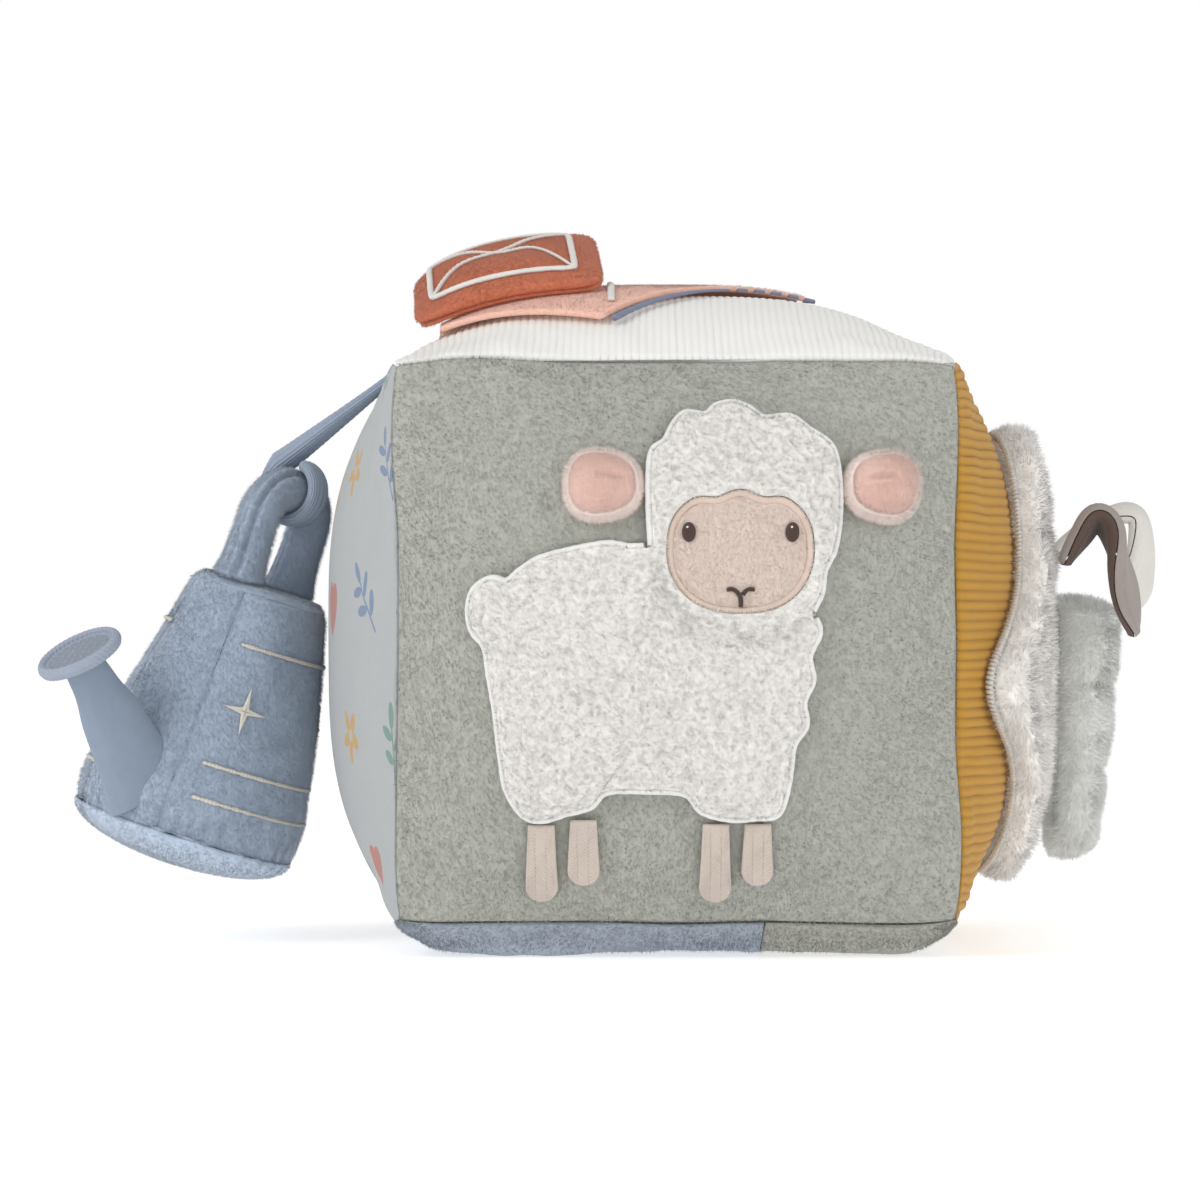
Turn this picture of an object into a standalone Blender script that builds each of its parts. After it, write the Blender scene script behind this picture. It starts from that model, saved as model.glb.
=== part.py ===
"""Soft activity block: sewn panels round a wadding core with a rattle inside, a sheep on the
front, a barn with a door flap on top, a quilted wing and two leaves on the right, and a padded
toy can that hangs on a strap at the left.

Metres, +Z up. The block rests on z = 0 with the origin at the middle of its flat resting face.
Its front looks along -Y and the can hangs at -X.
"""

import math

import bmesh
import bpy
from mathutils import Matrix, Vector

# Block
CUBE_EDGE = 0.150
CROWN = 0.0195
CROWN_POWER = 3.3
BASE_POWER = 2.2
BASE_FLAT_STEP = 4
REST_DROP = 0.0083
SEAM_PULL = 0.0018
PULL_POWER = 2
PANEL_THICKNESS = 0.0018
SEAM_GAP = 0.00025
FIT_GAP = 0.0003
SEW_GAP = 0.0007
GRID_COUNT = 12
GRID_BEND_SHARE = 0.25
BOTTOM_JOIN_X = 0.0226

# Rattle inside the wadding
CAPSULE_RADIUS = 0.0170
CAPSULE_WALL = 0.0014
CAPSULE_LIP = 0.0020
CAPSULE_STEPS = 18
BEAD_RADIUS = 0.0035
BEAD_COUNT = 3
BEAD_STEPS = 10
BEAD_APART_SHARE = 1.7

# Sheep; outlines in shares of half the block's edge, from the middle of the front panel
TEDDY_THICKNESS = 0.0034
VELOUR_THICKNESS = 0.0016
BORDER_WIDTH = 0.0026
BORDER_HEIGHT = 0.0022
BORDER_END_SHARE = 0.75
FACE_BORDER_WIDTH = 0.0018
SHEEP_HEAD_LINE_SHARES = (
    (0.447, 0.10), (0.478, 0.165), (0.487, 0.235), (0.52, 0.305), (0.537, 0.40), (0.54, 0.51), (0.53, 0.61),
    (0.505, 0.665), (0.44, 0.71), (0.375, 0.755), (0.29, 0.75), (0.24, 0.785), (0.185, 0.805), (0.13, 0.795),
    (0.095, 0.765), (0.025, 0.77), (-0.015, 0.725), (-0.04, 0.675), (-0.085, 0.635), (-0.095, 0.54),
    (-0.093, 0.42), (-0.088, 0.318),
)
SHEEP_BODY_LINE_SHARES = (
    (-0.088, 0.318), (-0.16, 0.315), (-0.23, 0.325), (-0.33, 0.31), (-0.45, 0.28), (-0.52, 0.24),
    (-0.57, 0.20), (-0.62, 0.21), (-0.675, 0.18), (-0.70, 0.12), (-0.69, 0.04), (-0.645, -0.02),
    (-0.63, -0.11), (-0.61, -0.22), (-0.59, -0.38), (-0.57, -0.495), (-0.515, -0.58), (-0.45, -0.597),
    (-0.37, -0.573), (-0.29, -0.55), (-0.235, -0.50), (-0.10, -0.497), (0.025, -0.507), (0.08, -0.567),
    (0.175, -0.592), (0.255, -0.588), (0.33, -0.578), (0.36, -0.507), (0.375, -0.413), (0.385, -0.342),
    (0.425, -0.277), (0.418, -0.20), (0.448, -0.128), (0.437, -0.048), (0.47, 0.03), (0.447, 0.10),
)
SHEEP_NECK_SHARES = (
    (-0.088, 0.318), (-0.068, 0.215), (-0.025, 0.12), (0.065, 0.045), (0.19, 0.015), (0.31, 0.022),
    (0.39, 0.055), (0.447, 0.10),
)
SHEEP_HEAD_SAMPLES = 56
SHEEP_BODY_SAMPLES = 90
SHEEP_NECK_SAMPLES = 18
SHEEP_FACE_SHARES = (0.207, 0.300, 0.222, 0.183)
SHEEP_CHIN_SHARE = 0.12
SHEEP_BROW_DEPTH = 0.0016
SHEEP_BROW_SHARE = 0.35
SHEEP_FACE_POWER = 2.6
SHEEP_FACE_STEPS = 40
LEG_WIDTH = 0.0082
LEG_SPACING = 0.0025
LEG_TAPER_SHARE = 0.82
LEG_THICKNESS = 0.0012
LEG_PAIR_SHARES = (-0.39, 0.20)
LEG_FOOT_SHARES = (-0.90, -0.84)
EYE_WIDTH = 0.0035
EYE_HEIGHT = 0.0050
EYE_THICKNESS = 0.0011
EYE_PLACE_SHARES = (0.77, 0.34)
NOSE_WIDTH = 0.0072
NOSE_HEIGHT = 0.0046
NOSE_THICKNESS = 0.0008
NOSE_DROP_SHARE = 0.76
NOSE_OUTLINE_SHARES = (
    (-1, 0.9), (-0.55, 1), (0, 0.42), (0.55, 1), (1, 0.9), (0.2, 0.05), (0.2, -1), (-0.2, -1), (-0.2, 0.05),
)
EAR_LENGTH = 0.0188
EAR_WIDTH = 0.0178
EAR_ROOT_SHARE = 0.84
EAR_PLY = 0.0012
EAR_FILL = 0.0030
EAR_HEIGHT_SHARE = 0.525
EAR_STEPS = 24

# Barn on top; outlines in shares of half the block's edge
BARN_THICKNESS = 0.0014
BARN_OUTLINE_SHARES = ((-0.89, -0.78), (-0.26, -0.81), (0.49, 0.0), (-0.26, 0.81), (-0.89, 0.78))
ROOF_CORD_WIDTH = 0.0028
ROOF_CORD_HEIGHT = 0.0014
ROOF_TIP_SHARE = 0.45
TRIM_WIDTH = 0.0019
TRIM_HEIGHT = 0.0008
TRIM_INSET = 0.0030
DOOR_WIDTH = 0.0480
DOOR_DEPTH = 0.0400
DOOR_PLY = 0.0010
DOOR_FILL = 0.0034
DOOR_PAD_SHARE = 0.7
DOOR_HINGE_SHARE = -0.60
DOOR_TRIM_CLEARANCE = 0.0006
DOOR_OPEN = math.radians(18)
DOOR_POWER = 3.5
DOOR_CORNER_POWER = 5
DOOR_STEPS = 28
DOOR_CORD_WIDTH = 0.0016
DOOR_CORD_HEIGHT = 0.0008
DOOR_CORD_INSET = 0.0054

# Field, wing and leaves on the right
FIELD_THICKNESS = 0.0088
FIELD_SHARES = (0.0, 0.0, 0.69, 0.82)
FIELD_RIM_SHARE = 0.55
FIELD_POWER = 3.4
FIELD_WAVE_SHARE = 0.19
FIELD_WAVE_AT_SHARE = -0.16
FIELD_WAVE_SPAN_SHARE = 0.26
FIELD_STEPS = 44
FIELD_CORD_WIDTH = 0.0018
FIELD_CORD_HEIGHT = 0.0016
WING_HEIGHT = 0.0690
WING_WIDTH = 0.0480
WING_THICKNESS = 0.0170
WING_BACKING = 0.0014
WING_TOP_SHARE = 0.14
WING_TAPER_SHARE = 0.42
WING_THIN_SHARE = 0.30
WING_CREASE_SHARE = 0.22
WING_LOBES = 3
WING_LEVEL_SHARES = (0.0, 0.14, 0.5, 0.86)
WING_END_SHARE = 0.35
WING_STEPS = 18
WING_SECTION_POWER = 2.5
LEAF_PLY = 0.0016
LEAF_WIDTH = 0.0180
LEAF_ROOT_SHARE = 0.55
LEAF_TIP_SHARE = 0.35
LEAF_CLEARANCE = 0.0020
LEAF_ROOT_SHARES = (0.27, 0.24)
LEAF_NEAR_REACH = 0.0196
LEAF_NEAR_RISE = 0.0130
LEAF_FAR_REACH = 0.0290
LEAF_FAR_RISE = 0.0170
LEAF_NEAR_SHARES = ((0, 0), (0.25, 0.56), (0.46, 0.96), (0.66, 0.7), (0.78, -0.1), (0.88, -0.8), (1, -1.5))
LEAF_FAR_SHARES = ((0, 0), (0.3, 0.52), (0.66, 0.92), (0.94, 0.98), (1, 0.5), (0.95, -0.2), (0.84, -0.65))
LEAF_SAMPLES = 20
LEAF_NEAR_TWIST = math.radians(10)
LEAF_FAR_TWIST = math.radians(3)

# Hanging can; its own axis runs up, its spout and handle lie in one plane through that axis
CAN_HEIGHT = 0.0680
CAN_BASE_RADIUS = 0.0310
CAN_TOP_RADIUS = 0.0190
CAN_BARREL = 0.0012
CAN_PLY = 0.0016
CAN_BULGE = 0.0090
CAN_STEPS = 24
CAN_LEAN = math.radians(18)
CAN_TURN = math.radians(60)
CAN_PLACE_SHARE = -0.08
CAN_TOP_LEVEL_SHARE = 0.16
SLOT_LENGTH = 0.0130
SLOT_WIDTH = 0.0026
HANDLE_RADIUS = 0.0058
HANDLE_SPREAD = 0.0125
HANDLE_RISE = 0.0300
HANDLE_BEND = 0.0090
HANDLE_SIDES = 12
SPOUT_REACH_LEFT = 0.0135
SPOUT_REACH_FRONT = 0.0120
SPOUT_RISE = 0.0300
SPOUT_ROOT_HEIGHT = 0.0130
SPOUT_ROOT_WIDTH = 0.0210
SPOUT_TIP_WIDTH = 0.0104
SPOUT_ROOT_DEPTH = 0.0100
SPOUT_TIP_DEPTH = 0.0080
SPOUT_SIDES = 14
ROSE_RADIUS = 0.0120
ROSE_THICKNESS = 0.0030
ROSE_RIM = 0.0018
BAND_WIDTH = 0.0012
BAND_HEIGHT = 0.0006
BAND_LEVEL_SHARES = (0.17, 0.31, 0.80)
BAND_BREAK = math.radians(32)
STAR_REACH = 0.0066
STAR_WAIST_SHARE = 0.2
STAR_THICKNESS = 0.0007
STAR_LEVEL_SHARE = 0.55
STAR_TURNS = (math.radians(47), math.radians(137))
STRAP_WIDTH = 0.0080
STRAP_THICKNESS = 0.0020
STRAP_PLAY = 0.0005
STRAP_LOOP_START = math.radians(135)
STRAP_LOOP_SWEEP = math.radians(305)
STRAP_LOOP_STEPS = 20
STRAP_DROP_STEPS = 6

# One run past a cut face for every cutter
OVERRUN = 0.0100
SLIVER = 0.0004
MERGE = 0.000001

HALF = CUBE_EDGE / 2
BLOCK_CENTRE = Vector((0, 0, HALF + REST_DROP))
PANEL_STACK = PANEL_THICKNESS + FIT_GAP

SIDES = {
    "front": (Vector((0, -1, 0)), Vector((1, 0, 0)), Vector((0, 0, 1))),
    "back": (Vector((0, 1, 0)), Vector((-1, 0, 0)), Vector((0, 0, 1))),
    "left": (Vector((-1, 0, 0)), Vector((0, -1, 0)), Vector((0, 0, 1))),
    "right": (Vector((1, 0, 0)), Vector((0, 1, 0)), Vector((0, 0, 1))),
    "top": (Vector((0, 0, 1)), Vector((1, 0, 0)), Vector((0, 1, 0))),
    "bottom": (Vector((0, 0, -1)), Vector((1, 0, 0)), Vector((0, -1, 0))),
}


def clear_scene():
    """Remove every object that the file opened with."""
    for old in list(bpy.data.objects):
        bpy.data.objects.remove(old, do_unlink=True)


def material(name, colour, roughness=0.95):
    """Make one Principled material with a plain cloth colour."""
    made = bpy.data.materials.new(name)
    made.use_nodes = True
    shader = made.node_tree.nodes["Principled BSDF"]
    shader.inputs["Base Color"].default_value = (*colour, 1)
    shader.inputs["Roughness"].default_value = roughness
    shader.inputs["Metallic"].default_value = 0
    return made


def pivot(name, place, parent=None):
    """Add an empty whose origin lies on a joint's axis."""
    empty = bpy.data.objects.new(name, None)
    bpy.context.collection.objects.link(empty)
    empty.location = place if parent is None else place - parent.location
    empty.parent = parent
    empty["world"] = tuple(place)
    return empty


def add_piece(name, shape, colour, carrier=None, roughness=0.95):
    """Turn a finished bmesh, built in world places, into an object under its carrier."""
    bmesh.ops.remove_doubles(shape, verts=shape.verts[:], dist=MERGE)
    bmesh.ops.recalc_face_normals(shape, faces=shape.faces[:])
    if carrier is not None:
        bmesh.ops.translate(shape, verts=shape.verts[:], vec=-Vector(carrier["world"]))
    mesh = bpy.data.meshes.new(name)
    shape.to_mesh(mesh)
    shape.free()
    mesh.shade_smooth()
    mesh.set_sharp_from_angle(angle=math.radians(40))
    piece = bpy.data.objects.new(name, mesh)
    bpy.context.collection.objects.link(piece)
    piece.parent = carrier
    mesh.materials.append(material(name, colour, roughness))
    return piece


def bent(share):
    """A place along a panel's grid, which closes up towards the seams."""
    return share * (1 + GRID_BEND_SHARE - GRID_BEND_SHARE * share ** 2)


def crown(across, upward, power=CROWN_POWER, flat=0.0):
    """Share of the full crown over a panel, at shares of half its edge from its middle."""
    levels = [max(0, (min(1, abs(share)) - flat) / (1 - flat)) for share in (across, upward)]
    return (1 - levels[0] ** power) * (1 - levels[1] ** power)


def drawn_in(place, reach):
    """Pull the middle of each seam in towards the block, as sewn corners stand out."""
    shares = [value / reach for value in place]
    pulled = []
    for axis in range(3):
        one, two = (abs(shares[(axis + step) % 3]) ** PULL_POWER for step in (1, 2))
        edge = one * (1 - min(1, two)) + two * (1 - min(1, one))
        pulled.append(place[axis] - math.copysign(SEAM_PULL, place[axis]) * shares[axis] ** PULL_POWER * edge)
    return Vector(pulled)


def surface(side, across, upward, lift=0.0):
    """World place over a panel, from lengths along it and a lift off its outer face."""
    outward, right, up = SIDES[side]
    reach = HALF + lift
    share_a, share_u = across / HALF, upward / HALF
    rise, bulge = CROWN, crown(share_a, share_u)
    if side == "bottom":
        flat = bent(BASE_FLAT_STEP * 2 / GRID_COUNT)
        rise, bulge = REST_DROP, crown(share_a, share_u, BASE_POWER, flat)
    place = outward * (reach + rise * bulge) + right * (reach * share_a) + up * (reach * share_u)
    return BLOCK_CENTRE + drawn_in(place, reach).lerp(place, bulge)


def grid_lines(count=GRID_COUNT):
    """Places of the grid lines over a panel, closer together towards the seams."""
    return [HALF * bent(2 * step / count - 1) for step in range(1, count)]


def superellipse(shares, power, steps):
    """Outline round a middle, counter-clockwise."""
    centre_x, centre_y, half_x, half_y = (HALF * share for share in shares)
    points = []
    for step in range(steps):
        turn = 2 * math.pi * step / steps
        cosine, sine = math.cos(turn), math.sin(turn)
        x = half_x * math.copysign(abs(cosine) ** (2 / power), cosine)
        y = half_y * math.copysign(abs(sine) ** (2 / power), sine)
        points.append(Vector((centre_x + x, centre_y + y)))
    return points


def shifted(outline, distance, closed=True):
    """The outline moved outwards along its own normals; it runs counter-clockwise."""
    count = len(outline)
    moved = []
    for index, point in enumerate(outline):
        before = outline[index - 1] if closed or index else point
        after = outline[(index + 1) % count] if closed or index < count - 1 else point
        along = (after - before).normalized()
        moved.append(point + Vector((along.y, -along.x)) * distance)
    return moved


def flat_region(loops, lines_x=(), lines_y=()):
    """A flat triangulated region inside its first loop and outside the others, cut along lines."""
    shape = bmesh.new()
    for loop in loops:
        corners = [shape.verts.new((point[0], point[1], 0)) for point in loop]
        for index, corner in enumerate(corners):
            shape.edges.new((corners[index - 1], corner))
    bmesh.ops.triangle_fill(shape, use_beauty=True, edges=shape.edges[:], normal=(0, 0, 1))
    bmesh.ops.dissolve_limit(
        shape, angle_limit=math.radians(1), use_dissolve_boundaries=False,
        verts=[], edges=[edge for edge in shape.edges if not edge.is_boundary],
    )
    for axis, lines in ((Vector((1, 0, 0)), lines_x), (Vector((0, 1, 0)), lines_y)):
        for line in lines:
            everything = shape.verts[:] + shape.edges[:] + shape.faces[:]
            bmesh.ops.bisect_plane(shape, geom=everything, dist=SLIVER, plane_co=axis * line, plane_no=axis)
    bmesh.ops.triangulate(shape, faces=shape.faces[:], quad_method="FIXED", ngon_method="BEAUTY")
    return shape


def sewn_solid(region, place, low, high):
    """Give a flat region a bottom and a top face over a surface; low and high may be functions."""
    made = bmesh.ops.extrude_face_region(region, geom=region.faces[:], use_keep_orig=True)
    top = {corner for corner in made["geom"] if isinstance(corner, bmesh.types.BMVert)}
    for corner in region.verts:
        lift = high if corner in top else low
        x, y = corner.co.x, corner.co.y
        corner.co = place(x, y, lift(x, y) if callable(lift) else lift)
    return region


def skin(rings, closed_rings=True, cap=True, closed_path=False):
    """Faces between rings of points, with flat ends; the rings all have as many points."""
    shape = bmesh.new()
    rows = [[shape.verts.new(point) for point in ring] for ring in rings]
    count = len(rows[0])
    pairs = list(zip(rows, rows[1:])) + ([(rows[-1], rows[0])] if closed_path else [])
    for one, two in pairs:
        for index in range(count if closed_rings else count - 1):
            after = (index + 1) % count
            shape.faces.new((one[index], one[after], two[after], two[index]))
    if cap and not closed_path:
        shape.faces.new(rows[0][::-1])
        shape.faces.new(rows[-1])
    return shape


def cord(path, width, height, place, lift, closed=True):
    """A low stitched cord along a path over a surface; width may be one value for each point."""
    count = len(path)
    widths = width if isinstance(width, list) else [width] * count
    rings = []
    for index, point in enumerate(path):
        before = path[index - 1] if closed or index else point
        after = path[(index + 1) % count] if closed or index < count - 1 else point
        along = (after - before).normalized()
        aside = Vector((along.y, -along.x)) * widths[index] / 2
        profile = ((-1, 0), (-0.5, height), (0.5, height), (1, 0))
        rings.append([place(*(point + aside * step), lift + rise) for step, rise in profile])
    return skin(rings, closed_path=closed)


def spun(profile, steps, closed=False):
    """Turn a chain of (radius, height) points a full circle about the upright axis."""
    shape = bmesh.new()
    corners = [shape.verts.new((radius, 0, height)) for radius, height in profile]
    chain = [shape.edges.new(pair) for pair in zip(corners, corners[1:])]
    if closed:
        chain.append(shape.edges.new((corners[-1], corners[0])))
    bmesh.ops.spin(
        shape, geom=corners + chain, cent=(0, 0, 0), axis=(0, 0, 1),
        angle=2 * math.pi, steps=steps, use_merge=True,
    )
    bmesh.ops.remove_doubles(shape, verts=shape.verts[:], dist=MERGE)
    return shape


def cut(piece, cutter_shape, name):
    """Take a hidden cutter away from a piece."""
    bmesh.ops.recalc_face_normals(cutter_shape, faces=cutter_shape.faces[:])
    mesh = bpy.data.meshes.new(name)
    cutter_shape.to_mesh(mesh)
    cutter_shape.free()
    cutter = bpy.data.objects.new(name, mesh)
    bpy.context.collection.objects.link(cutter)
    cutter.hide_render = True
    cutter.display_type = "WIRE"
    knife = piece.modifiers.new(name, "BOOLEAN")
    knife.operation = "DIFFERENCE"
    knife.object = cutter
    return cutter


def panel(name, side, colour, left=-HALF + SEAM_GAP, right=HALF - SEAM_GAP):
    """One crowned cloth panel of the block, mitred at its seams."""
    end = HALF - SEAM_GAP
    outline = [(left, -end), (right, -end), (right, end), (left, end)]
    region = flat_region([outline], grid_lines(), grid_lines())
    solid = sewn_solid(region, lambda x, y, lift: surface(side, x, y, lift), -PANEL_THICKNESS, 0.0)
    return add_piece(name, solid, colour)


def build_panels():
    """The block's cover: five whole panels and a bottom joined from two cloths."""
    panel("panel_front", "front", (0.40, 0.41, 0.36))
    panel("panel_back", "back", (0.40, 0.41, 0.36))
    panel("panel_left", "left", (0.48, 0.50, 0.50))
    panel("panel_right", "right", (0.50, 0.30, 0.08))
    panel("panel_top", "top", (0.80, 0.80, 0.78))
    panel("panel_bottom_blue", "bottom", (0.30, 0.34, 0.42), right=BOTTOM_JOIN_X - SEAM_GAP)
    panel("panel_bottom_sage", "bottom", (0.30, 0.31, 0.27), left=BOTTOM_JOIN_X + SEAM_GAP)


def core_shape():
    """The whole wadding core: the six inner faces as one closed shape."""
    shape = bmesh.new()
    outline = [(-HALF, -HALF), (HALF, -HALF), (HALF, HALF), (-HALF, HALF)]
    for side in SIDES:
        face = flat_region([outline], grid_lines(), grid_lines())
        for corner in face.verts:
            corner.co = surface(side, corner.co.x, corner.co.y, -PANEL_STACK)
        mesh = bpy.data.meshes.new("core_side")
        face.to_mesh(mesh)
        face.free()
        shape.from_mesh(mesh)
        bpy.data.meshes.remove(mesh)
    bmesh.ops.remove_doubles(shape, verts=shape.verts[:], dist=MERGE)
    bmesh.ops.recalc_face_normals(shape, faces=shape.faces[:])
    return shape


def build_core():
    """Two halves of wadding that meet round the rattle."""
    for name, way in (("fill_lower", 1), ("fill_upper", -1)):
        shape = core_shape()
        level = BLOCK_CENTRE - Vector((0, 0, way * FIT_GAP / 2))
        everything = shape.verts[:] + shape.edges[:] + shape.faces[:]
        made = bmesh.ops.bisect_plane(
            shape, geom=everything, dist=MERGE, plane_co=level, plane_no=(0, 0, way), clear_outer=True,
        )
        rim = [edge for edge in made["geom_cut"] if isinstance(edge, bmesh.types.BMEdge)]
        bmesh.ops.contextual_create(shape, geom=rim)
        bmesh.ops.triangulate(shape, faces=shape.faces[:])
        piece = add_piece(name, shape, (0.85, 0.85, 0.85))
        hollow = bmesh.new()
        bmesh.ops.create_uvsphere(
            hollow, u_segments=CAPSULE_STEPS, v_segments=CAPSULE_STEPS // 2,
            radius=CAPSULE_RADIUS + SEW_GAP, matrix=Matrix.Translation(BLOCK_CENTRE),
        )
        cut(piece, hollow, name + "_hollow")


def build_rattle():
    """A two-shell capsule with a lapped rim, and the beads that lie in it."""
    inner = CAPSULE_RADIUS - CAPSULE_WALL
    lap = CAPSULE_RADIUS - CAPSULE_WALL / 2
    quarter = [math.pi / 2 * step / 5 for step in range(6)]
    bowl = [(CAPSULE_RADIUS * math.sin(turn), -CAPSULE_RADIUS * math.cos(turn)) for turn in quarter]
    hollow = [(inner * math.sin(turn), -inner * math.cos(turn)) for turn in reversed(quarter)]
    play = FIT_GAP / 2
    lip = [(CAPSULE_RADIUS, -play), (lap - play, -play), (lap - play, CAPSULE_LIP), (inner, CAPSULE_LIP)]
    lower = bowl[:-1] + lip
    upper = bowl[:-1] + [(CAPSULE_RADIUS, -play), (lap + play, -play), (lap + play, -CAPSULE_LIP - FIT_GAP)]
    shapes = (
        ("rattle_shell_lower", lower + hollow[1:], 1),
        ("rattle_shell_upper", upper + [(inner, -CAPSULE_LIP - FIT_GAP)] + hollow[1:], -1),
    )
    for name, profile, way in shapes:
        shape = spun([(radius, way * height) for radius, height in profile], CAPSULE_STEPS)
        bmesh.ops.translate(shape, verts=shape.verts[:], vec=BLOCK_CENTRE)
        add_piece(name, shape, (0.75, 0.75, 0.78), roughness=0.4)
    out = BEAD_RADIUS * BEAD_APART_SHARE
    room = inner * math.cos(math.pi / CAPSULE_STEPS) - BEAD_RADIUS - SEW_GAP
    drop = math.sqrt(room ** 2 - out ** 2)
    for number in range(BEAD_COUNT):
        turn = 2 * math.pi * number / BEAD_COUNT
        place = BLOCK_CENTRE + Vector((out * math.cos(turn), out * math.sin(turn), -drop))
        carrier = pivot(f"bead_{number + 1}_pivot", place)
        shape = bmesh.new()
        bmesh.ops.create_uvsphere(
            shape, u_segments=BEAD_STEPS, v_segments=BEAD_STEPS // 2 + 1,
            radius=BEAD_RADIUS, matrix=Matrix.Translation(place),
        )
        add_piece(f"rattle_bead_{number + 1}", shape, (0.7, 0.3, 0.2), carrier, 0.3)


def on_front(x, y, lift):
    """Place on the front panel."""
    return surface("front", x, y, lift)


def belly(line, x):
    """Lowest place of the sheep's border line over a leg at a place across."""
    return min(point.y for point in line if abs(point.x - x) < (LEG_WIDTH + BORDER_WIDTH) / 2)


def face_outline():
    """Outline of the sheep's face, narrower towards the chin and with two dips in its brow."""
    centre_x, centre_y, half_x, half_y = (HALF * share for share in SHEEP_FACE_SHARES)
    outline = superellipse(SHEEP_FACE_SHARES, SHEEP_FACE_POWER, SHEEP_FACE_STEPS)
    for point in outline:
        level = (point.y - centre_y) / half_y
        across = abs(point.x - centre_x) / half_x
        dip = math.cos(math.pi / 2 * min(1, abs(across / SHEEP_BROW_SHARE - 1))) ** 2
        point.x = centre_x + (point.x - centre_x) * (1 - SHEEP_CHIN_SHARE * max(0, -level) ** 1.5)
        point.y -= SHEEP_BROW_DEPTH * dip * max(0, level) ** 2
    return outline


def sheep_line(shares, samples):
    """Evenly spread places on one of the sheep's lines."""
    return smooth_path([Vector((HALF * x, HALF * y)) for x, y in shares], samples)


def wool_outline(line, neck):
    """Outline of a piece of wool: within the border's line on one side, along the neck on the other."""
    loop = line + neck[1:-1]
    beside_border = shifted(loop, -BORDER_WIDTH / 2 - FIT_GAP)
    beside_neck = shifted(loop, -SEW_GAP / 2)
    return beside_border[:len(line)] + beside_neck[len(line):]


def build_sheep_cloth():
    """Body, head wool and face with their stitched borders."""
    teddy, border, velour = (0.80, 0.78, 0.74), (0.85, 0.83, 0.80), (0.75, 0.62, 0.54)
    lines = grid_lines()
    face_edge = FACE_BORDER_WIDTH + 2 * FIT_GAP
    face = face_outline()
    head = sheep_line(SHEEP_HEAD_LINE_SHARES, SHEEP_HEAD_SAMPLES)
    body = sheep_line(SHEEP_BODY_LINE_SHARES, SHEEP_BODY_SAMPLES)
    neck = sheep_line(SHEEP_NECK_SHARES, SHEEP_NECK_SAMPLES)

    region = flat_region([wool_outline(body, neck[::-1])], lines, lines)
    top = SEW_GAP + TEDDY_THICKNESS
    add_piece("sheep_body", sewn_solid(region, on_front, SEW_GAP, top), teddy)

    hole = shifted(face, face_edge)
    region = flat_region([wool_outline(head, neck), hole[::-1]], lines, lines)
    add_piece("sheep_head", sewn_solid(region, on_front, SEW_GAP, top), teddy)

    region = flat_region([face], lines, lines)
    add_piece("sheep_face", sewn_solid(region, on_front, SEW_GAP, SEW_GAP + VELOUR_THICKNESS), velour)

    solid = cord(head, BORDER_WIDTH, BORDER_HEIGHT, on_front, SEW_GAP, closed=False)
    add_piece("sheep_head_border", solid, border)
    ring = shifted(face, face_edge / 2)
    add_piece("sheep_face_border", cord(ring, FACE_BORDER_WIDTH, BORDER_HEIGHT, on_front, SEW_GAP), velour)
    room = BORDER_WIDTH * BORDER_END_SHARE + FIT_GAP
    clear = [point for point in body if all((point - other).length > room for other in head)]
    solid = cord(clear, BORDER_WIDTH, BORDER_HEIGHT, on_front, SEW_GAP, closed=False)
    add_piece("sheep_body_border", solid, border)
    return head, body


def build_sheep_details(body):
    """Legs under the body's line, eyes and nose stitch."""
    edge = BORDER_WIDTH / 2 + 2 * FIT_GAP
    for pair, pair_share in enumerate(LEG_PAIR_SHARES):
        for step, foot_share in enumerate(LEG_FOOT_SHARES):
            way = step * 2 - 1
            centre = HALF * pair_share + way * (LEG_WIDTH + LEG_SPACING) / 2
            half = LEG_WIDTH / 2
            top = belly(body, centre) - edge
            foot = HALF * foot_share + half
            arc = [math.pi * (1 + turn / 6) for turn in range(7)]
            sole = [(centre + half * math.cos(turn), foot + half * math.sin(turn)) for turn in arc]
            narrow = half * LEG_TAPER_SHARE
            outline = sole + [(centre + narrow, top), (centre - narrow, top)]
            region = flat_region([outline], (), grid_lines())
            solid = sewn_solid(region, on_front, SEW_GAP, SEW_GAP + LEG_THICKNESS)
            add_piece(f"sheep_leg_{pair * 2 + step + 1}", solid, (0.60, 0.50, 0.45))
    lift = SEW_GAP + VELOUR_THICKNESS + SEW_GAP
    face_x, face_y, face_w, face_h = (HALF * share for share in SHEEP_FACE_SHARES)
    for name, way in (("sheep_eye_left", -1), ("sheep_eye_right", 1)):
        eye_x = face_x + way * face_w * EYE_PLACE_SHARES[0]
        eye_y = face_y + face_h * EYE_PLACE_SHARES[1]
        turns = [2 * math.pi * step / 12 for step in range(12)]
        outline = [(eye_x + EYE_WIDTH / 2 * math.cos(t), eye_y + EYE_HEIGHT / 2 * math.sin(t)) for t in turns]
        region = flat_region([outline], (eye_x,), (eye_y,))
        solid = sewn_solid(region, on_front, lift, lift + EYE_THICKNESS)
        add_piece(name, solid, (0.06, 0.04, 0.03), roughness=0.5)
    nose_y = face_y - face_h * NOSE_DROP_SHARE
    outline = [(face_x + NOSE_WIDTH / 2 * x, nose_y + NOSE_HEIGHT / 2 * y) for x, y in NOSE_OUTLINE_SHARES]
    region = flat_region([outline[::-1]])
    solid = sewn_solid(region, on_front, lift, lift + NOSE_THICKNESS)
    add_piece("sheep_nose", solid, (0.10, 0.06, 0.05), roughness=0.6)


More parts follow.
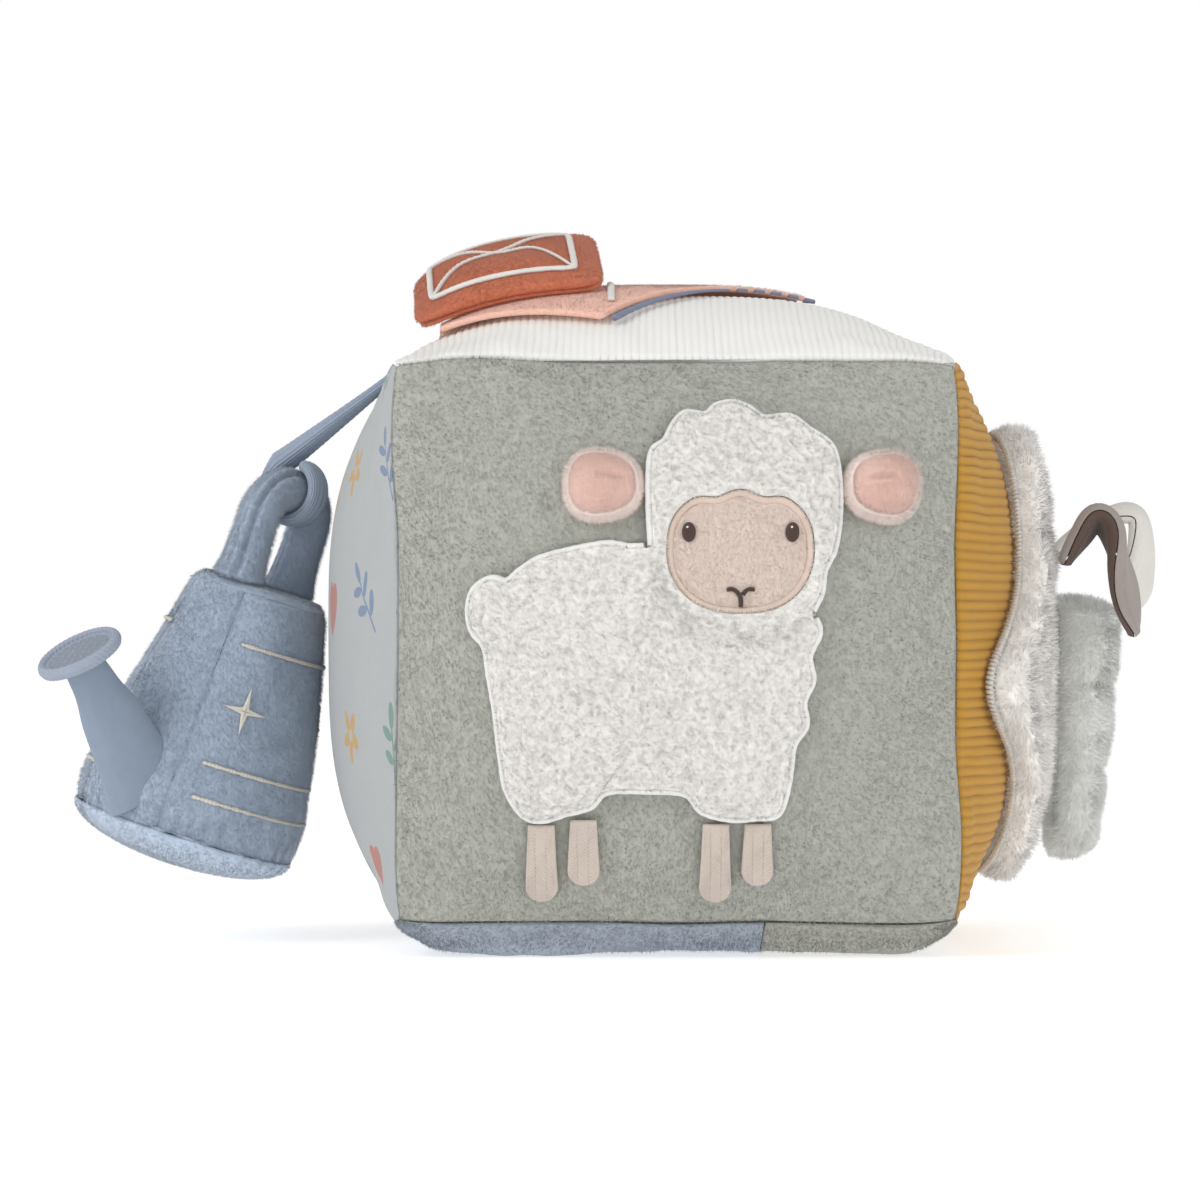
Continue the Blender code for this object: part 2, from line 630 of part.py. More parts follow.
def build_ears(head):
    """Two padded ears, each a cream back ply and a pink front ply, hinged beside the head's line."""
    middle_y = HALF * EAR_HEIGHT_SHARE
    beside = [point.x for point in head if abs(point.y - middle_y) < EAR_WIDTH / 2]
    rim = BORDER_WIDTH / 2 + 3 * FIT_GAP
    for side, way in (("left", -1), ("right", 1)):
        root_x = max(beside, key=lambda x: way * x) + way * rim
        centre_x = root_x + way * EAR_LENGTH / 2
        outline = []
        for step in range(EAR_STEPS):
            turn = 2 * math.pi * step / EAR_STEPS
            cosine, sine = math.cos(turn), math.sin(turn)
            x = math.copysign(abs(cosine) ** 0.7, cosine)
            slim = EAR_ROOT_SHARE + (1 - EAR_ROOT_SHARE) * min(1, (1 + way * x) * 0.8)
            y = math.copysign(abs(sine) ** 0.7, sine) * slim
            outline.append(Vector((centre_x + EAR_LENGTH / 2 * x, middle_y + EAR_WIDTH / 2 * y)))

        def dome(x, y, height, centre_x=centre_x):
            """Height of the padding over the ear's seam."""
            out = math.hypot((x - centre_x) / (EAR_LENGTH / 2), (y - middle_y) / (EAR_WIDTH / 2))
            return height * max(0, 1 - min(1, out) ** 3)

        carrier = pivot(f"ear_{side}_pivot", on_front(root_x, middle_y, SEW_GAP + 2 * EAR_PLY + FIT_GAP))
        lines_x = [centre_x + EAR_LENGTH / 2 * share for share in (-0.5, 0, 0.5)]
        lines_y = [middle_y + EAR_WIDTH / 2 * share for share in (-0.5, 0, 0.5)]
        region = flat_region([outline], lines_x, lines_y)
        solid = sewn_solid(region, on_front, SEW_GAP, SEW_GAP + EAR_PLY)
        add_piece(f"ear_{side}_back", solid, (0.80, 0.70, 0.62), carrier)
        base = SEW_GAP + EAR_PLY + FIT_GAP
        region = flat_region([shifted(outline, -EAR_PLY / 2)], lines_x, lines_y)
        solid = sewn_solid(region, on_front, base, lambda x, y: base + EAR_PLY + dome(x, y, EAR_FILL))
        add_piece(f"ear_{side}_front", solid, (0.75, 0.45, 0.40), carrier)


def on_top(x, y, lift):
    """Place on the top panel."""
    return surface("top", x, y, lift)


def on_right(x, y, lift):
    """Place on the right panel."""
    return surface("right", x, y, lift)


def line_points(first, last, steps):
    """Points evenly along a straight line."""
    return [first.lerp(last, step / steps) for step in range(steps + 1)]


def build_barn():
    """The barn's wall, its roof stitching and the trim under the roof."""
    corners = [Vector((HALF * x, HALF * y)) for x, y in BARN_OUTLINE_SHARES]
    lines = grid_lines()
    region = flat_region([corners], lines, lines)
    add_piece("barn_wall", sewn_solid(region, on_top, SEW_GAP, SEW_GAP + BARN_THICKNESS), (0.60, 0.26, 0.20))
    path = line_points(corners[1], corners[2], 8) + line_points(corners[2], corners[3], 8)[1:]
    run_out = len(path) - 1
    widths = [ROOF_CORD_WIDTH * (1 - (1 - ROOF_TIP_SHARE) * (1 - abs(1 - 2 * i / run_out))) for i in range(len(path))]
    path = [p + Vector((1, 0)) * (ROOF_CORD_WIDTH + FIT_GAP) for p in path]
    solid = cord(path, widths, ROOF_CORD_HEIGHT, on_top, SEW_GAP, closed=False)
    add_piece("barn_roof_cord", solid, (0.30, 0.33, 0.45))
    trim_x = corners[1].x + TRIM_INSET
    slack = TRIM_INSET + TRIM_WIDTH + ROOF_CORD_WIDTH
    ends = [Vector((trim_x, way * (abs(corners[1].y) - slack))) for way in (-1, 1)]
    lift = SEW_GAP + BARN_THICKNESS + FIT_GAP
    solid = cord(line_points(*ends, 12), TRIM_WIDTH, TRIM_HEIGHT, on_top, lift, closed=False)
    add_piece("barn_trim", solid, (0.80, 0.80, 0.78))
    return trim_x


def door_shape(trim_x):
    """The door's outline, its middle and its padding height over the closed place."""
    right = trim_x - TRIM_WIDTH / 2 - DOOR_TRIM_CLEARANCE
    centre = Vector((right - DOOR_WIDTH / 2, HALF * DOOR_HINGE_SHARE + DOOR_DEPTH / 2))
    outline = []
    for step in range(DOOR_STEPS):
        turn = 2 * math.pi * (step + 0.5) / DOOR_STEPS
        cosine, sine = math.cos(turn), math.sin(turn)
        x = DOOR_WIDTH / 2 * math.copysign(abs(cosine) ** (2 / DOOR_CORNER_POWER), cosine)
        y = DOOR_DEPTH / 2 * math.copysign(abs(sine) ** (2 / DOOR_CORNER_POWER), sine)
        outline.append(centre + Vector((x, y)))

    def padding(x, y):
        """Share of the full padding at a place on the door."""
        across = min(1, abs(x - centre.x) / (DOOR_WIDTH / 2))
        upward = min(1, abs(y - centre.y) / (DOOR_DEPTH / 2))
        return max(0, (1 - across ** DOOR_POWER) * (1 - upward ** DOOR_POWER))

    return outline, centre, padding


def build_door(trim_x):
    """The padded door flap, made lying shut on the barn and then turned open about its hinge."""
    outline, centre, padding = door_shape(trim_x)
    hinge_y = centre.y - DOOR_DEPTH / 2
    lift = SEW_GAP + BARN_THICKNESS + FIT_GAP
    ends = [on_top(centre.x + way * DOOR_WIDTH / 2, hinge_y, lift) for way in (-1, 1)]
    axis = (ends[1] - ends[0]).normalized()
    on_axis = on_top(centre.x, hinge_y, lift + DOOR_PLY)
    carrier = pivot("door_pivot", on_axis)
    opened = Matrix.Translation(on_axis) @ Matrix.Rotation(DOOR_OPEN, 4, axis) @ Matrix.Translation(-on_axis)
    carrier["axis"] = tuple(axis)
    rust = (0.42, 0.13, 0.07)

    def place(x, y, height):
        """Place on the door when it stands open."""
        return opened @ on_top(x, y, height)

    def front_low(x, y):
        return lift + DOOR_PLY + FIT_GAP + DOOR_FILL * padding(x, y)

    def front_high(x, y):
        return front_low(x, y) + DOOR_PLY

    lines_x = [centre.x + DOOR_WIDTH / 2 * share for share in (-0.8, -0.45, 0, 0.45, 0.8)]
    lines_y = [centre.y + DOOR_DEPTH / 2 * share for share in (-0.8, -0.45, 0, 0.45, 0.8)]
    region = flat_region([outline], lines_x, lines_y)
    add_piece("door_back", sewn_solid(region, place, lift, lift + DOOR_PLY), rust, carrier)
    region = flat_region([outline], lines_x, lines_y)
    add_piece("door_front", sewn_solid(region, place, front_low, front_high), rust, carrier)
    inside = shifted(outline, -DOOR_CORD_INSET / 2)
    region = flat_region([inside], lines_x, lines_y)
    low = lift + DOOR_PLY + FIT_GAP
    solid = sewn_solid(region, place, low, lambda x, y: low + DOOR_FILL * DOOR_PAD_SHARE * padding(x, y))
    add_piece("door_padding", solid, (0.85, 0.85, 0.85), carrier)

    half_x, half_y = DOOR_WIDTH / 2 - DOOR_CORD_INSET, DOOR_DEPTH / 2 - DOOR_CORD_INSET
    square = ((-1, -1), (1, -1), (1, 1), (-1, 1))
    outer = [centre + Vector((half_x * x, half_y * y)) for x, y in square]
    holes = []
    wide = DOOR_CORD_WIDTH
    for index, (x, y) in enumerate(square):
        next_x, next_y = square[(index + 1) % 4]
        middle = Vector(((x + next_x) / 2, (y + next_y) / 2))
        tip = centre + Vector((middle.x * wide, middle.y * wide))
        corners = []
        for at_x, at_y in ((x, y), (next_x, next_y)):
            into = Vector((half_x * at_x, half_y * at_y))
            shrink = Vector((wide * at_x, wide * at_y))
            slide = Vector(((middle.x - at_x) * wide, (middle.y - at_y) * wide))
            corners.append(centre + into - shrink + slide)
        holes.append([corners[0], tip, corners[1]])
    region = flat_region([outer] + holes, lines_x, lines_y)

    def cord_low(x, y):
        return front_high(x, y) + SEW_GAP

    solid = sewn_solid(region, place, cord_low, lambda x, y: cord_low(x, y) + DOOR_CORD_HEIGHT)
    add_piece("door_cord", solid, (0.80, 0.80, 0.78), carrier)
    return carrier


def field_outline():
    """Wavy outline of the long pile field on the right panel, the same towards front and back."""
    points = []
    for point in superellipse(FIELD_SHARES, FIELD_POWER, FIELD_STEPS):
        level = (point.y / HALF - FIELD_WAVE_AT_SHARE) / FIELD_WAVE_SPAN_SHARE
        wave = 1 + FIELD_WAVE_SHARE * math.exp(-level ** 2) * 2 - FIELD_WAVE_SHARE
        points.append(Vector((point.x * wave, point.y)))
    return points


def build_field():
    """The long pile field and the stitching round it."""
    outline = field_outline()
    lines = grid_lines()
    region = flat_region([outline], lines, lines)

    def pile(x, y):
        """Pile height, lower at the outline."""
        return SEW_GAP + FIELD_THICKNESS * min(1, FIELD_RIM_SHARE + crown(x / HALF, y / HALF))

    add_piece("plush_field", sewn_solid(region, on_right, SEW_GAP, pile), (0.62, 0.57, 0.54))
    ring = shifted(outline, FIELD_CORD_WIDTH / 2 + FIT_GAP)
    solid = cord(ring, FIELD_CORD_WIDTH, FIELD_CORD_HEIGHT, on_right, SEW_GAP)
    add_piece("field_edge_cord", solid, (0.80, 0.80, 0.78))


def field_face(across, upward):
    """Outermost place of the field near a place on the right panel."""
    return on_right(across, upward, SEW_GAP + FIELD_THICKNESS).x


def build_wing():
    """The quilted wing: three stuffed lobes on a flat backing, sewn on along its top."""
    top_z = BLOCK_CENTRE.z + HALF * WING_TOP_SHARE
    hang_x = field_face(0, HALF * WING_TOP_SHARE) + SEW_GAP
    carrier = pivot("wing_pivot", Vector((hang_x, 0, top_z)))
    fronts, backs = [], []
    levels = [(lobe + share) / WING_LOBES for lobe in range(WING_LOBES) for share in WING_LEVEL_SHARES] + [1.0]
    for level in levels:
        within = level * WING_LOBES % 1 if level < 1 else 0
        bulge = math.sqrt(max(0, 1 - (2 * within - 1) ** 2))
        end = WING_END_SHARE if level in (0.0, 1.0) else 1 - WING_CREASE_SHARE * (1 - bulge)
        half_wide = WING_WIDTH / 2 * (1 - WING_TAPER_SHARE * level ** 2) * end
        thick = (WING_THICKNESS - WING_BACKING - FIT_GAP) * (1 - WING_THIN_SHARE * level ** 2) * end
        z = top_z - WING_HEIGHT * level
        start = hang_x + WING_BACKING + FIT_GAP
        ring = []
        for step in range(WING_STEPS):
            turn = 2 * math.pi * step / WING_STEPS
            cosine, sine = math.cos(turn), math.sin(turn)
            bulk = math.copysign(abs(cosine) ** (2 / WING_SECTION_POWER), cosine)
            side = math.copysign(abs(sine) ** (2 / WING_SECTION_POWER), sine)
            ring.append(Vector((start + thick * (1 + bulk) / 2, half_wide * side, z)))
        fronts.append(ring)
        flat = half_wide - EAR_PLY
        backs.append([
            Vector((hang_x, -flat, z)), Vector((hang_x + WING_BACKING, -flat, z)),
            Vector((hang_x + WING_BACKING, flat, z)), Vector((hang_x, flat, z)),
        ])
    add_piece("wing_front", skin(fronts), (0.48, 0.48, 0.45), carrier)
    add_piece("wing_backing", skin(backs), (0.42, 0.42, 0.40), carrier)


def smooth_path(points, samples):
    """Evenly spread places on a smooth curve through the points."""
    ends = [2 * points[0] - points[1]] + list(points) + [2 * points[-1] - points[-2]]
    fine = []
    for index in range(1, len(ends) - 2):
        before, one, two, after = ends[index - 1:index + 3]
        for step in range(8):
            t = step / 8
            fine.append(0.5 * (
                2 * one + (two - before) * t + (2 * before - 5 * one + 4 * two - after) * t ** 2
                + (3 * one - before - 3 * two + after) * t ** 3
            ))
    fine.append(points[-1])
    lengths = [0.0]
    for one, two in zip(fine, fine[1:]):
        lengths.append(lengths[-1] + (two - one).length)
    places = []
    for step in range(samples + 1):
        goal = lengths[-1] * step / samples
        index = max(i for i in range(len(lengths)) if lengths[i] <= goal + MERGE)
        index = min(index, len(fine) - 2)
        share = (goal - lengths[index]) / max(lengths[index + 1] - lengths[index], MERGE)
        places.append(fine[index].lerp(fine[index + 1], min(1, share)))
    return places


def build_leaf(name, way, root_share, reach, rise, twist, shape_shares, colour):
    """One leaf of two plies that rises from the field and folds over."""
    middle_y = way * (WING_WIDTH / 2 + LEAF_CLEARANCE + LEAF_WIDTH / 2)
    root_z = HALF * root_share
    root_x = field_face(middle_y, root_z) + SEW_GAP + LEAF_PLY + FIT_GAP
    root = Vector((root_x, middle_y, BLOCK_CENTRE.z + root_z))
    carrier = pivot(f"leaf_{name}_pivot", root)
    path = smooth_path([root + Vector((reach * x, 0, rise * z)) for x, z in shape_shares], LEAF_SAMPLES)
    for ply, start in (("front", FIT_GAP / 2), ("back", -FIT_GAP / 2 - LEAF_PLY)):
        rings = []
        for index, point in enumerate(path):
            before, after = path[max(0, index - 1)], path[min(len(path) - 1, index + 1)]
            along = (after - before).normalized()
            level = index / LEAF_SAMPLES
            turned = Matrix.Rotation(-twist * math.sin(2 * math.pi * level), 3, along)
            outer = turned @ Vector((-along.z, 0, along.x))
            wide = turned @ Vector((0, 1, 0))
            swell = LEAF_ROOT_SHARE + (1 - LEAF_ROOT_SHARE) * math.sin(math.pi * min(1, level * 1.15) * 0.62)
            tip = 1 if level < 0.8 else math.sqrt(max(0.12, 1 - ((level - 0.8) / 0.2) ** 2))
            half = LEAF_WIDTH / 2 * swell * max(LEAF_TIP_SHARE, tip)
            rings.append([
                point + outer * lift + wide * half * side
                for lift, side in (
                    (start, -1), (start, 1), (start + LEAF_PLY, 0.94), (start + LEAF_PLY, -0.94),
                )
            ])
        add_piece(f"leaf_{name}_{ply}", skin(rings), colour, carrier)


def can_radius(height):
    """Outer radius of the can's wall at a height over its base seam."""
    share = height / CAN_HEIGHT
    taper = CAN_BASE_RADIUS + (CAN_TOP_RADIUS - CAN_BASE_RADIUS) * share
    return taper + CAN_BARREL * math.sin(math.pi * min(1, max(0, share)))


def can_reach_points():
    """Places round the can's wall and handle, in its own frame, that could touch the block."""
    points = []
    for step in range(CAN_STEPS * 2):
        turn = math.pi * step / CAN_STEPS
        for share in (0, 0.25, 0.5, 0.75, 1):
            radius = can_radius(CAN_HEIGHT * share)
            height = CAN_HEIGHT * share + (CAN_PLY + FIT_GAP) * (share == 1)
            points.append(Vector((radius * math.cos(turn), radius * math.sin(turn), height)))
    for middle in handle_path()[0]:
        for step in range(HANDLE_SIDES):
            turn = 2 * math.pi * step / HANDLE_SIDES
            points.append(middle + Vector((math.cos(turn), math.sin(turn), 0)) * HANDLE_RADIUS)
    return points


def can_matrix():
    """Place of the can: it leans on the left panel."""
    rim_z = BLOCK_CENTRE.z + HALF * CAN_TOP_LEVEL_SHARE
    up = Vector((math.sin(CAN_LEAN), 0, math.cos(CAN_LEAN)))
    base = Vector((-HALF - CROWN, HALF * CAN_PLACE_SHARE, rim_z)) - up * CAN_HEIGHT
    turned = Matrix.Rotation(CAN_LEAN, 4, "Y") @ Matrix.Rotation(CAN_TURN, 4, "Z")
    over = []
    for point in can_reach_points():
        place = base + turned @ point
        across, upward = -place.y, place.z - BLOCK_CENTRE.z
        if abs(across) < HALF and abs(upward) < HALF:
            over.append(place.x - surface("left", across, upward, SEW_GAP).x)
    base.x -= max(over)
    return Matrix.Translation(base) @ turned


def placed(shape, matrix):
    """Move a shape into its place."""
    bmesh.ops.transform(shape, matrix=matrix, verts=shape.verts[:])
    return shape


def handle_path():
    """Middle line of the handle: two legs, two bends and a level crest."""
    foot = CAN_HEIGHT + CAN_PLY + SEW_GAP
    crest = CAN_HEIGHT + HANDLE_RISE
    bend_z = crest - HANDLE_BEND
    flat = HANDLE_SPREAD - HANDLE_BEND
    turns = [math.pi / 2 * step / 4 for step in range(5)]
    bend = [(-flat - HANDLE_BEND * math.cos(t), bend_z + HANDLE_BEND * math.sin(t)) for t in turns]
    half = [(-HANDLE_SPREAD, foot), (-HANDLE_SPREAD, (foot + bend_z) / 2)] + bend
    other = [(-x, z) for x, z in reversed(half)]
    return [Vector((x, 0, z)) for x, z in half + other], foot


def tube_rings(path, half_wide, half_deep, sides):
    """Round rings along a path that lies in the XZ plane."""
    rings = []
    for index, point in enumerate(path):
        before, after = path[max(0, index - 1)], path[min(len(path) - 1, index + 1)]
        along = (after - before).normalized()
        outer = Vector((-along.z, 0, along.x))
        ring = []
        for step in range(sides):
            turn = 2 * math.pi * step / sides
            ring.append(point + outer * half_wide * math.cos(turn) + Vector((0, half_deep * math.sin(turn), 0)))
        rings.append(ring)
    return rings


def build_can_body(matrix, carrier):
    """Wall, base, top and wadding of the can."""
    blue, deep = (0.25, 0.32, 0.42), (0.20, 0.25, 0.32)
    levels = [CAN_HEIGHT * step / 6 for step in range(7)]
    outer = [(can_radius(z), z) for z in levels]
    inner = [(can_radius(z) - CAN_PLY, z) for z in reversed(levels)]
    add_piece("can_wall", placed(spun(outer + inner, CAN_STEPS, closed=True), matrix), blue, carrier)

    turns = [math.pi / 2 * step / 5 for step in range(6)]
    bowl_out = [(CAN_BASE_RADIUS * math.sin(t), -FIT_GAP - CAN_BULGE * math.cos(t)) for t in turns]
    deep_in = CAN_BULGE - CAN_PLY
    wide_in = CAN_BASE_RADIUS - CAN_PLY
    bowl_in = [(wide_in * math.sin(t), -FIT_GAP - deep_in * math.cos(t)) for t in reversed(turns)]
    add_piece("can_base", placed(spun(bowl_out + bowl_in, CAN_STEPS), matrix), deep, carrier)

    lid_low, lid_high = CAN_HEIGHT + FIT_GAP, CAN_HEIGHT + FIT_GAP + CAN_PLY
    lid = spun([(0, lid_low), (CAN_TOP_RADIUS, lid_low), (CAN_TOP_RADIUS, lid_high), (0, lid_high)], CAN_STEPS)
    piece = add_piece("can_top", placed(lid, matrix), blue, carrier)
    slot = bmesh.new()
    bmesh.ops.create_cube(slot, size=1)
    bmesh.ops.scale(slot, vec=(SLOT_LENGTH, SLOT_WIDTH, OVERRUN), verts=slot.verts[:])
    bmesh.ops.translate(slot, vec=(0, 0, lid_low), verts=slot.verts[:])
    cut(piece, placed(slot, matrix), "can_slot")

    gap = CAN_PLY + FIT_GAP * 2
    sides = [(can_radius(z) - gap, z) for z in levels]
    sides[-1] = (sides[-1][0], CAN_HEIGHT)
    floor = [((wide_in - FIT_GAP * 2) * math.sin(t), -(deep_in - FIT_GAP * 2) * math.cos(t)) for t in turns]
    profile = floor[:-1] + sides + [(0, CAN_HEIGHT)]
    add_piece("can_fill", placed(spun(profile, CAN_STEPS), matrix), (0.85, 0.85, 0.85), carrier)


def build_handle(matrix, carrier):
    """The padded carrying loop on the can's top."""
    path, foot = handle_path()
    rings = tube_rings(path, HANDLE_RADIUS, HANDLE_RADIUS, HANDLE_SIDES)
    for ring in (rings[0], rings[-1]):
        for point in ring:
            point.z = foot
    add_piece("can_handle", placed(skin(rings), matrix), (0.27, 0.34, 0.44), carrier)


def on_wall_distance(point, inverse):
    """How far a world place stands off the can's wall."""
    local = inverse @ point
    return math.hypot(local.x, local.y) - can_radius(min(CAN_HEIGHT, max(0, local.z)))


def build_spout(matrix, carrier):
    """The tapered spout, its root fitted to the wall, with its rose on the end."""
    inverse = matrix.inverted()
    root = matrix @ Vector((-can_radius(SPOUT_ROOT_HEIGHT), 0, SPOUT_ROOT_HEIGHT))
    run = Vector((-SPOUT_REACH_LEFT, -SPOUT_REACH_FRONT, SPOUT_RISE))
    along = run.normalized()
    seam = (matrix.to_3x3() @ Vector((0, 0, 1))).normalized()
    deep = along.cross(seam).normalized()
    wide = deep.cross(along).normalized()
    tip = root + run
    rings = [[], [], []]
    for step in range(SPOUT_SIDES):
        turn = 2 * math.pi * step / SPOUT_SIDES
        cosine, sine = math.cos(turn), math.sin(turn)
        at_tip = tip + wide * SPOUT_TIP_WIDTH / 2 * cosine + deep * SPOUT_TIP_DEPTH / 2 * sine
        at_root = root + wide * SPOUT_ROOT_WIDTH / 2 * cosine + deep * SPOUT_ROOT_DEPTH / 2 * sine
        inward = (at_root - at_tip).normalized()
        near, far = 0.0, (at_root - at_tip).length + CAN_BASE_RADIUS / 2
        for _ in range(40):
            middle = (near + far) / 2
            if on_wall_distance(at_tip + inward * middle, inverse) > SEW_GAP * 1.4:
                near = middle
            else:
                far = middle
        end = at_tip + inward * near
        rings[0].append(end)
        rings[1].append(end.lerp(at_tip, 0.5))
        rings[2].append(at_tip)
    add_piece("can_spout", skin(rings), (0.20, 0.25, 0.32), carrier)

    inside = ROSE_RADIUS - ROSE_RIM
    back, face, rim = FIT_GAP, FIT_GAP + ROSE_THICKNESS - ROSE_RIM, FIT_GAP + ROSE_THICKNESS
    profile = [(0, back), (inside, back), (ROSE_RADIUS, face), (ROSE_RADIUS, rim)]
    profile += [(inside, rim), (inside, face), (0, face)]
    disc = spun(profile, CAN_STEPS - 4)
    turned = Matrix.Translation(tip) @ along.to_track_quat("Z", "Y").to_matrix().to_4x4()
    add_piece("can_rose", placed(disc, turned), (0.36, 0.38, 0.43), carrier)


def build_can_stitching(matrix, carrier):
    """Bands round the wall and the two stars that show."""
    thread = (0.72, 0.68, 0.60)

    def on_wall(turn_length, height, lift):
        """Place on the wall from a length round it and a height."""
        radius = can_radius(height)
        turn = turn_length / CAN_BASE_RADIUS
        spread = (radius + lift) / math.cos(math.pi / CAN_STEPS)
        return matrix @ Vector((spread * math.cos(turn), spread * math.sin(turn), height))

    for number, share in enumerate(BAND_LEVEL_SHARES):
        first, last = (-math.pi + BAND_BREAK) * CAN_BASE_RADIUS, (math.pi - BAND_BREAK) * CAN_BASE_RADIUS
        level = CAN_HEIGHT * share
        path = line_points(Vector((first, level)), Vector((last, level)), CAN_STEPS)
        solid = cord(path, BAND_WIDTH, BAND_HEIGHT, on_wall, FIT_GAP, closed=False)
        add_piece(f"can_band_{number + 1}", solid, thread, carrier)

    for number, turn in enumerate(STAR_TURNS):
        level = CAN_HEIGHT * STAR_LEVEL_SHARE
        start = (math.pi + turn) * CAN_BASE_RADIUS
        stretch = CAN_BASE_RADIUS / can_radius(level)
        outline = []
        for step in range(8):
            angle = math.pi / 4 * step
            reach = STAR_REACH if step % 2 == 0 else STAR_REACH * STAR_WAIST_SHARE
            outline.append((start + reach * math.cos(angle) * stretch, level + reach * math.sin(angle)))
        region = flat_region([outline], (start - STAR_REACH / 2, start, start + STAR_REACH / 2), (level,))
        solid = sewn_solid(region, on_wall, FIT_GAP, FIT_GAP + STAR_THICKNESS)
        add_piece(f"can_star_{number + 1}", solid, thread, carrier)


def build_strap(matrix, carrier):
    """The hanging strap: from the top seam down to a loop round the handle's crest."""
    crest = matrix @ Vector((0, 0, CAN_HEIGHT + HANDLE_RISE))
    turn = matrix.to_3x3()
    tube = (turn @ Vector((1, 0, 0))).normalized()
    aside = (turn @ Vector((0, -1, 0))).normalized()
    up = (turn @ Vector((0, 0, 1))).normalized()
    radius = HANDLE_RADIUS + STRAP_PLAY + STRAP_THICKNESS / 2
    root = Vector(carrier["world"])
    start = crest + (aside * math.cos(STRAP_LOOP_START) + up * math.sin(STRAP_LOOP_START)) * radius
    rings = []

    def ring(point, outer, wide):
        """A flat section, square to the strap."""
        thick, half = STRAP_THICKNESS / 2, STRAP_WIDTH / 2
        return [
            point + outer * thick - wide * half, point + outer * thick + wide * half,
            point - outer * thick + wide * half, point - outer * thick - wide * half,
        ]

    seam_wide = Vector((0, 1, 0))
    for step in range(STRAP_DROP_STEPS):
        share = step / STRAP_DROP_STEPS
        wide = seam_wide.lerp(tube, share).normalized()
        outer = (start - root).cross(wide).normalized()
        rings.append(ring(root.lerp(start, share), outer, wide))
    for step in range(STRAP_LOOP_STEPS + 1):
        angle = STRAP_LOOP_START + STRAP_LOOP_SWEEP * step / STRAP_LOOP_STEPS
        outward = aside * math.cos(angle) + up * math.sin(angle)
        rings.append(ring(crest + outward * radius, outward, tube))
    if rings[0][0].z < rings[0][3].z:
        rings[:STRAP_DROP_STEPS] = [[r[3], r[2], r[1], r[0]] for r in rings[:STRAP_DROP_STEPS]]
    add_piece("can_strap", skin(rings), (0.28, 0.31, 0.36), carrier)


def build_can():
    """The hanging can with its strap."""
    matrix = can_matrix()
    seam = surface("left", -HALF * CAN_PLACE_SHARE, HALF, FIT_GAP + STRAP_THICKNESS / 2)
    strap_carrier = pivot("strap_pivot", seam)
    crest = matrix @ Vector((0, 0, CAN_HEIGHT + HANDLE_RISE))
    can_carrier = pivot("can_pivot", crest, strap_carrier)
    build_strap(matrix, strap_carrier)
    build_can_body(matrix, can_carrier)
    build_handle(matrix, can_carrier)
    build_spout(matrix, can_carrier)
    build_can_stitching(matrix, can_carrier)


def main():
    """Build every piece of the block."""
    clear_scene()
    build_panels()
    build_core()
    build_rattle()
    head, body = build_sheep_cloth()
    build_sheep_details(body)
    build_ears(head)
    build_door(build_barn())
    build_field()
    build_wing()
    near_root, far_root = LEAF_ROOT_SHARES
    taupe, cream = (0.26, 0.23, 0.23), (0.55, 0.52, 0.50)
    build_leaf("near", -1, near_root, LEAF_NEAR_REACH, LEAF_NEAR_RISE, LEAF_NEAR_TWIST, LEAF_NEAR_SHARES, taupe)
    build_leaf("far", 1, far_root, LEAF_FAR_REACH, LEAF_FAR_RISE, LEAF_FAR_TWIST, LEAF_FAR_SHARES, cream)
    build_can()


main()
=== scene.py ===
"""Soft activity block: the cloths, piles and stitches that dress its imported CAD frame.

Metres, +Z up. The block rests on z = 0, the sheep looks along -Y and the can hangs at -X.
"""

import logging
import math
from dataclasses import dataclass, field
from enum import Enum
from typing import Callable, Optional, Sequence, Union

import bmesh
import bpy
import numpy as np
from mathutils import Matrix, Vector


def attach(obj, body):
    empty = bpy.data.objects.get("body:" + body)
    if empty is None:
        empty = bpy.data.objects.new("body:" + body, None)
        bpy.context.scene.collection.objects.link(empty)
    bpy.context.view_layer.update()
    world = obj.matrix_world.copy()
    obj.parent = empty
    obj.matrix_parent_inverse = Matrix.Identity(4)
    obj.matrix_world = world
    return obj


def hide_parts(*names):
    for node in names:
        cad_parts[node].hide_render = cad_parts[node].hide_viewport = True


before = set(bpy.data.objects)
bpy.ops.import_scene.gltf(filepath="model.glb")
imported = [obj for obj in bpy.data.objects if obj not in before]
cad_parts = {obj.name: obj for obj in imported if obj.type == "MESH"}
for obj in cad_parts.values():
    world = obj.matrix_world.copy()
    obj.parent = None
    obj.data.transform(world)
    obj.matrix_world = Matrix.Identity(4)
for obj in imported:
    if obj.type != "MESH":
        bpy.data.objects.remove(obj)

Array = np.ndarray
Colour = tuple[float, float, float]
Mapping = Callable[[Array, Array], tuple[Array, Array]]
Place = Callable[[Array, Array, Array], Array]

LOG = logging.getLogger("soft_block")
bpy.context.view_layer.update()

# Block, the same values as the CAD's
HALF = 0.075
CENTRE = np.array((0, 0, 0.0833))
CROWN = 0.0195
CROWN_POWER = 3.3
BASE_POWER = 2.2
BASE_FLAT_SHARE = 0.7593
REST_DROP = 0.0083
SEAM_PULL = 0.0018
CORNER_PULL = 0.0022
SEAM_WOBBLE = 0.0007
SEAM_GAP = 0.00025
FIT_GAP = 0.0003
SEW_GAP = 0.0007
PANEL_THICKNESS = 0.0018
BAKE_MAP = "OFBake"
# Share of its pile height that the cloth under standing fibres keeps: painted shade beneath the pile.
ROOT_LIGHT = 0.90
FLOOR_ROOM = 0.0002
HAIR = 1e-6
OUTLINE_POINTS = 240

# Noise
TABLE_SIZE = 4096
HASH_STEPS = (73856093, 19349663, 83492791)
FAR_CELL = 1000


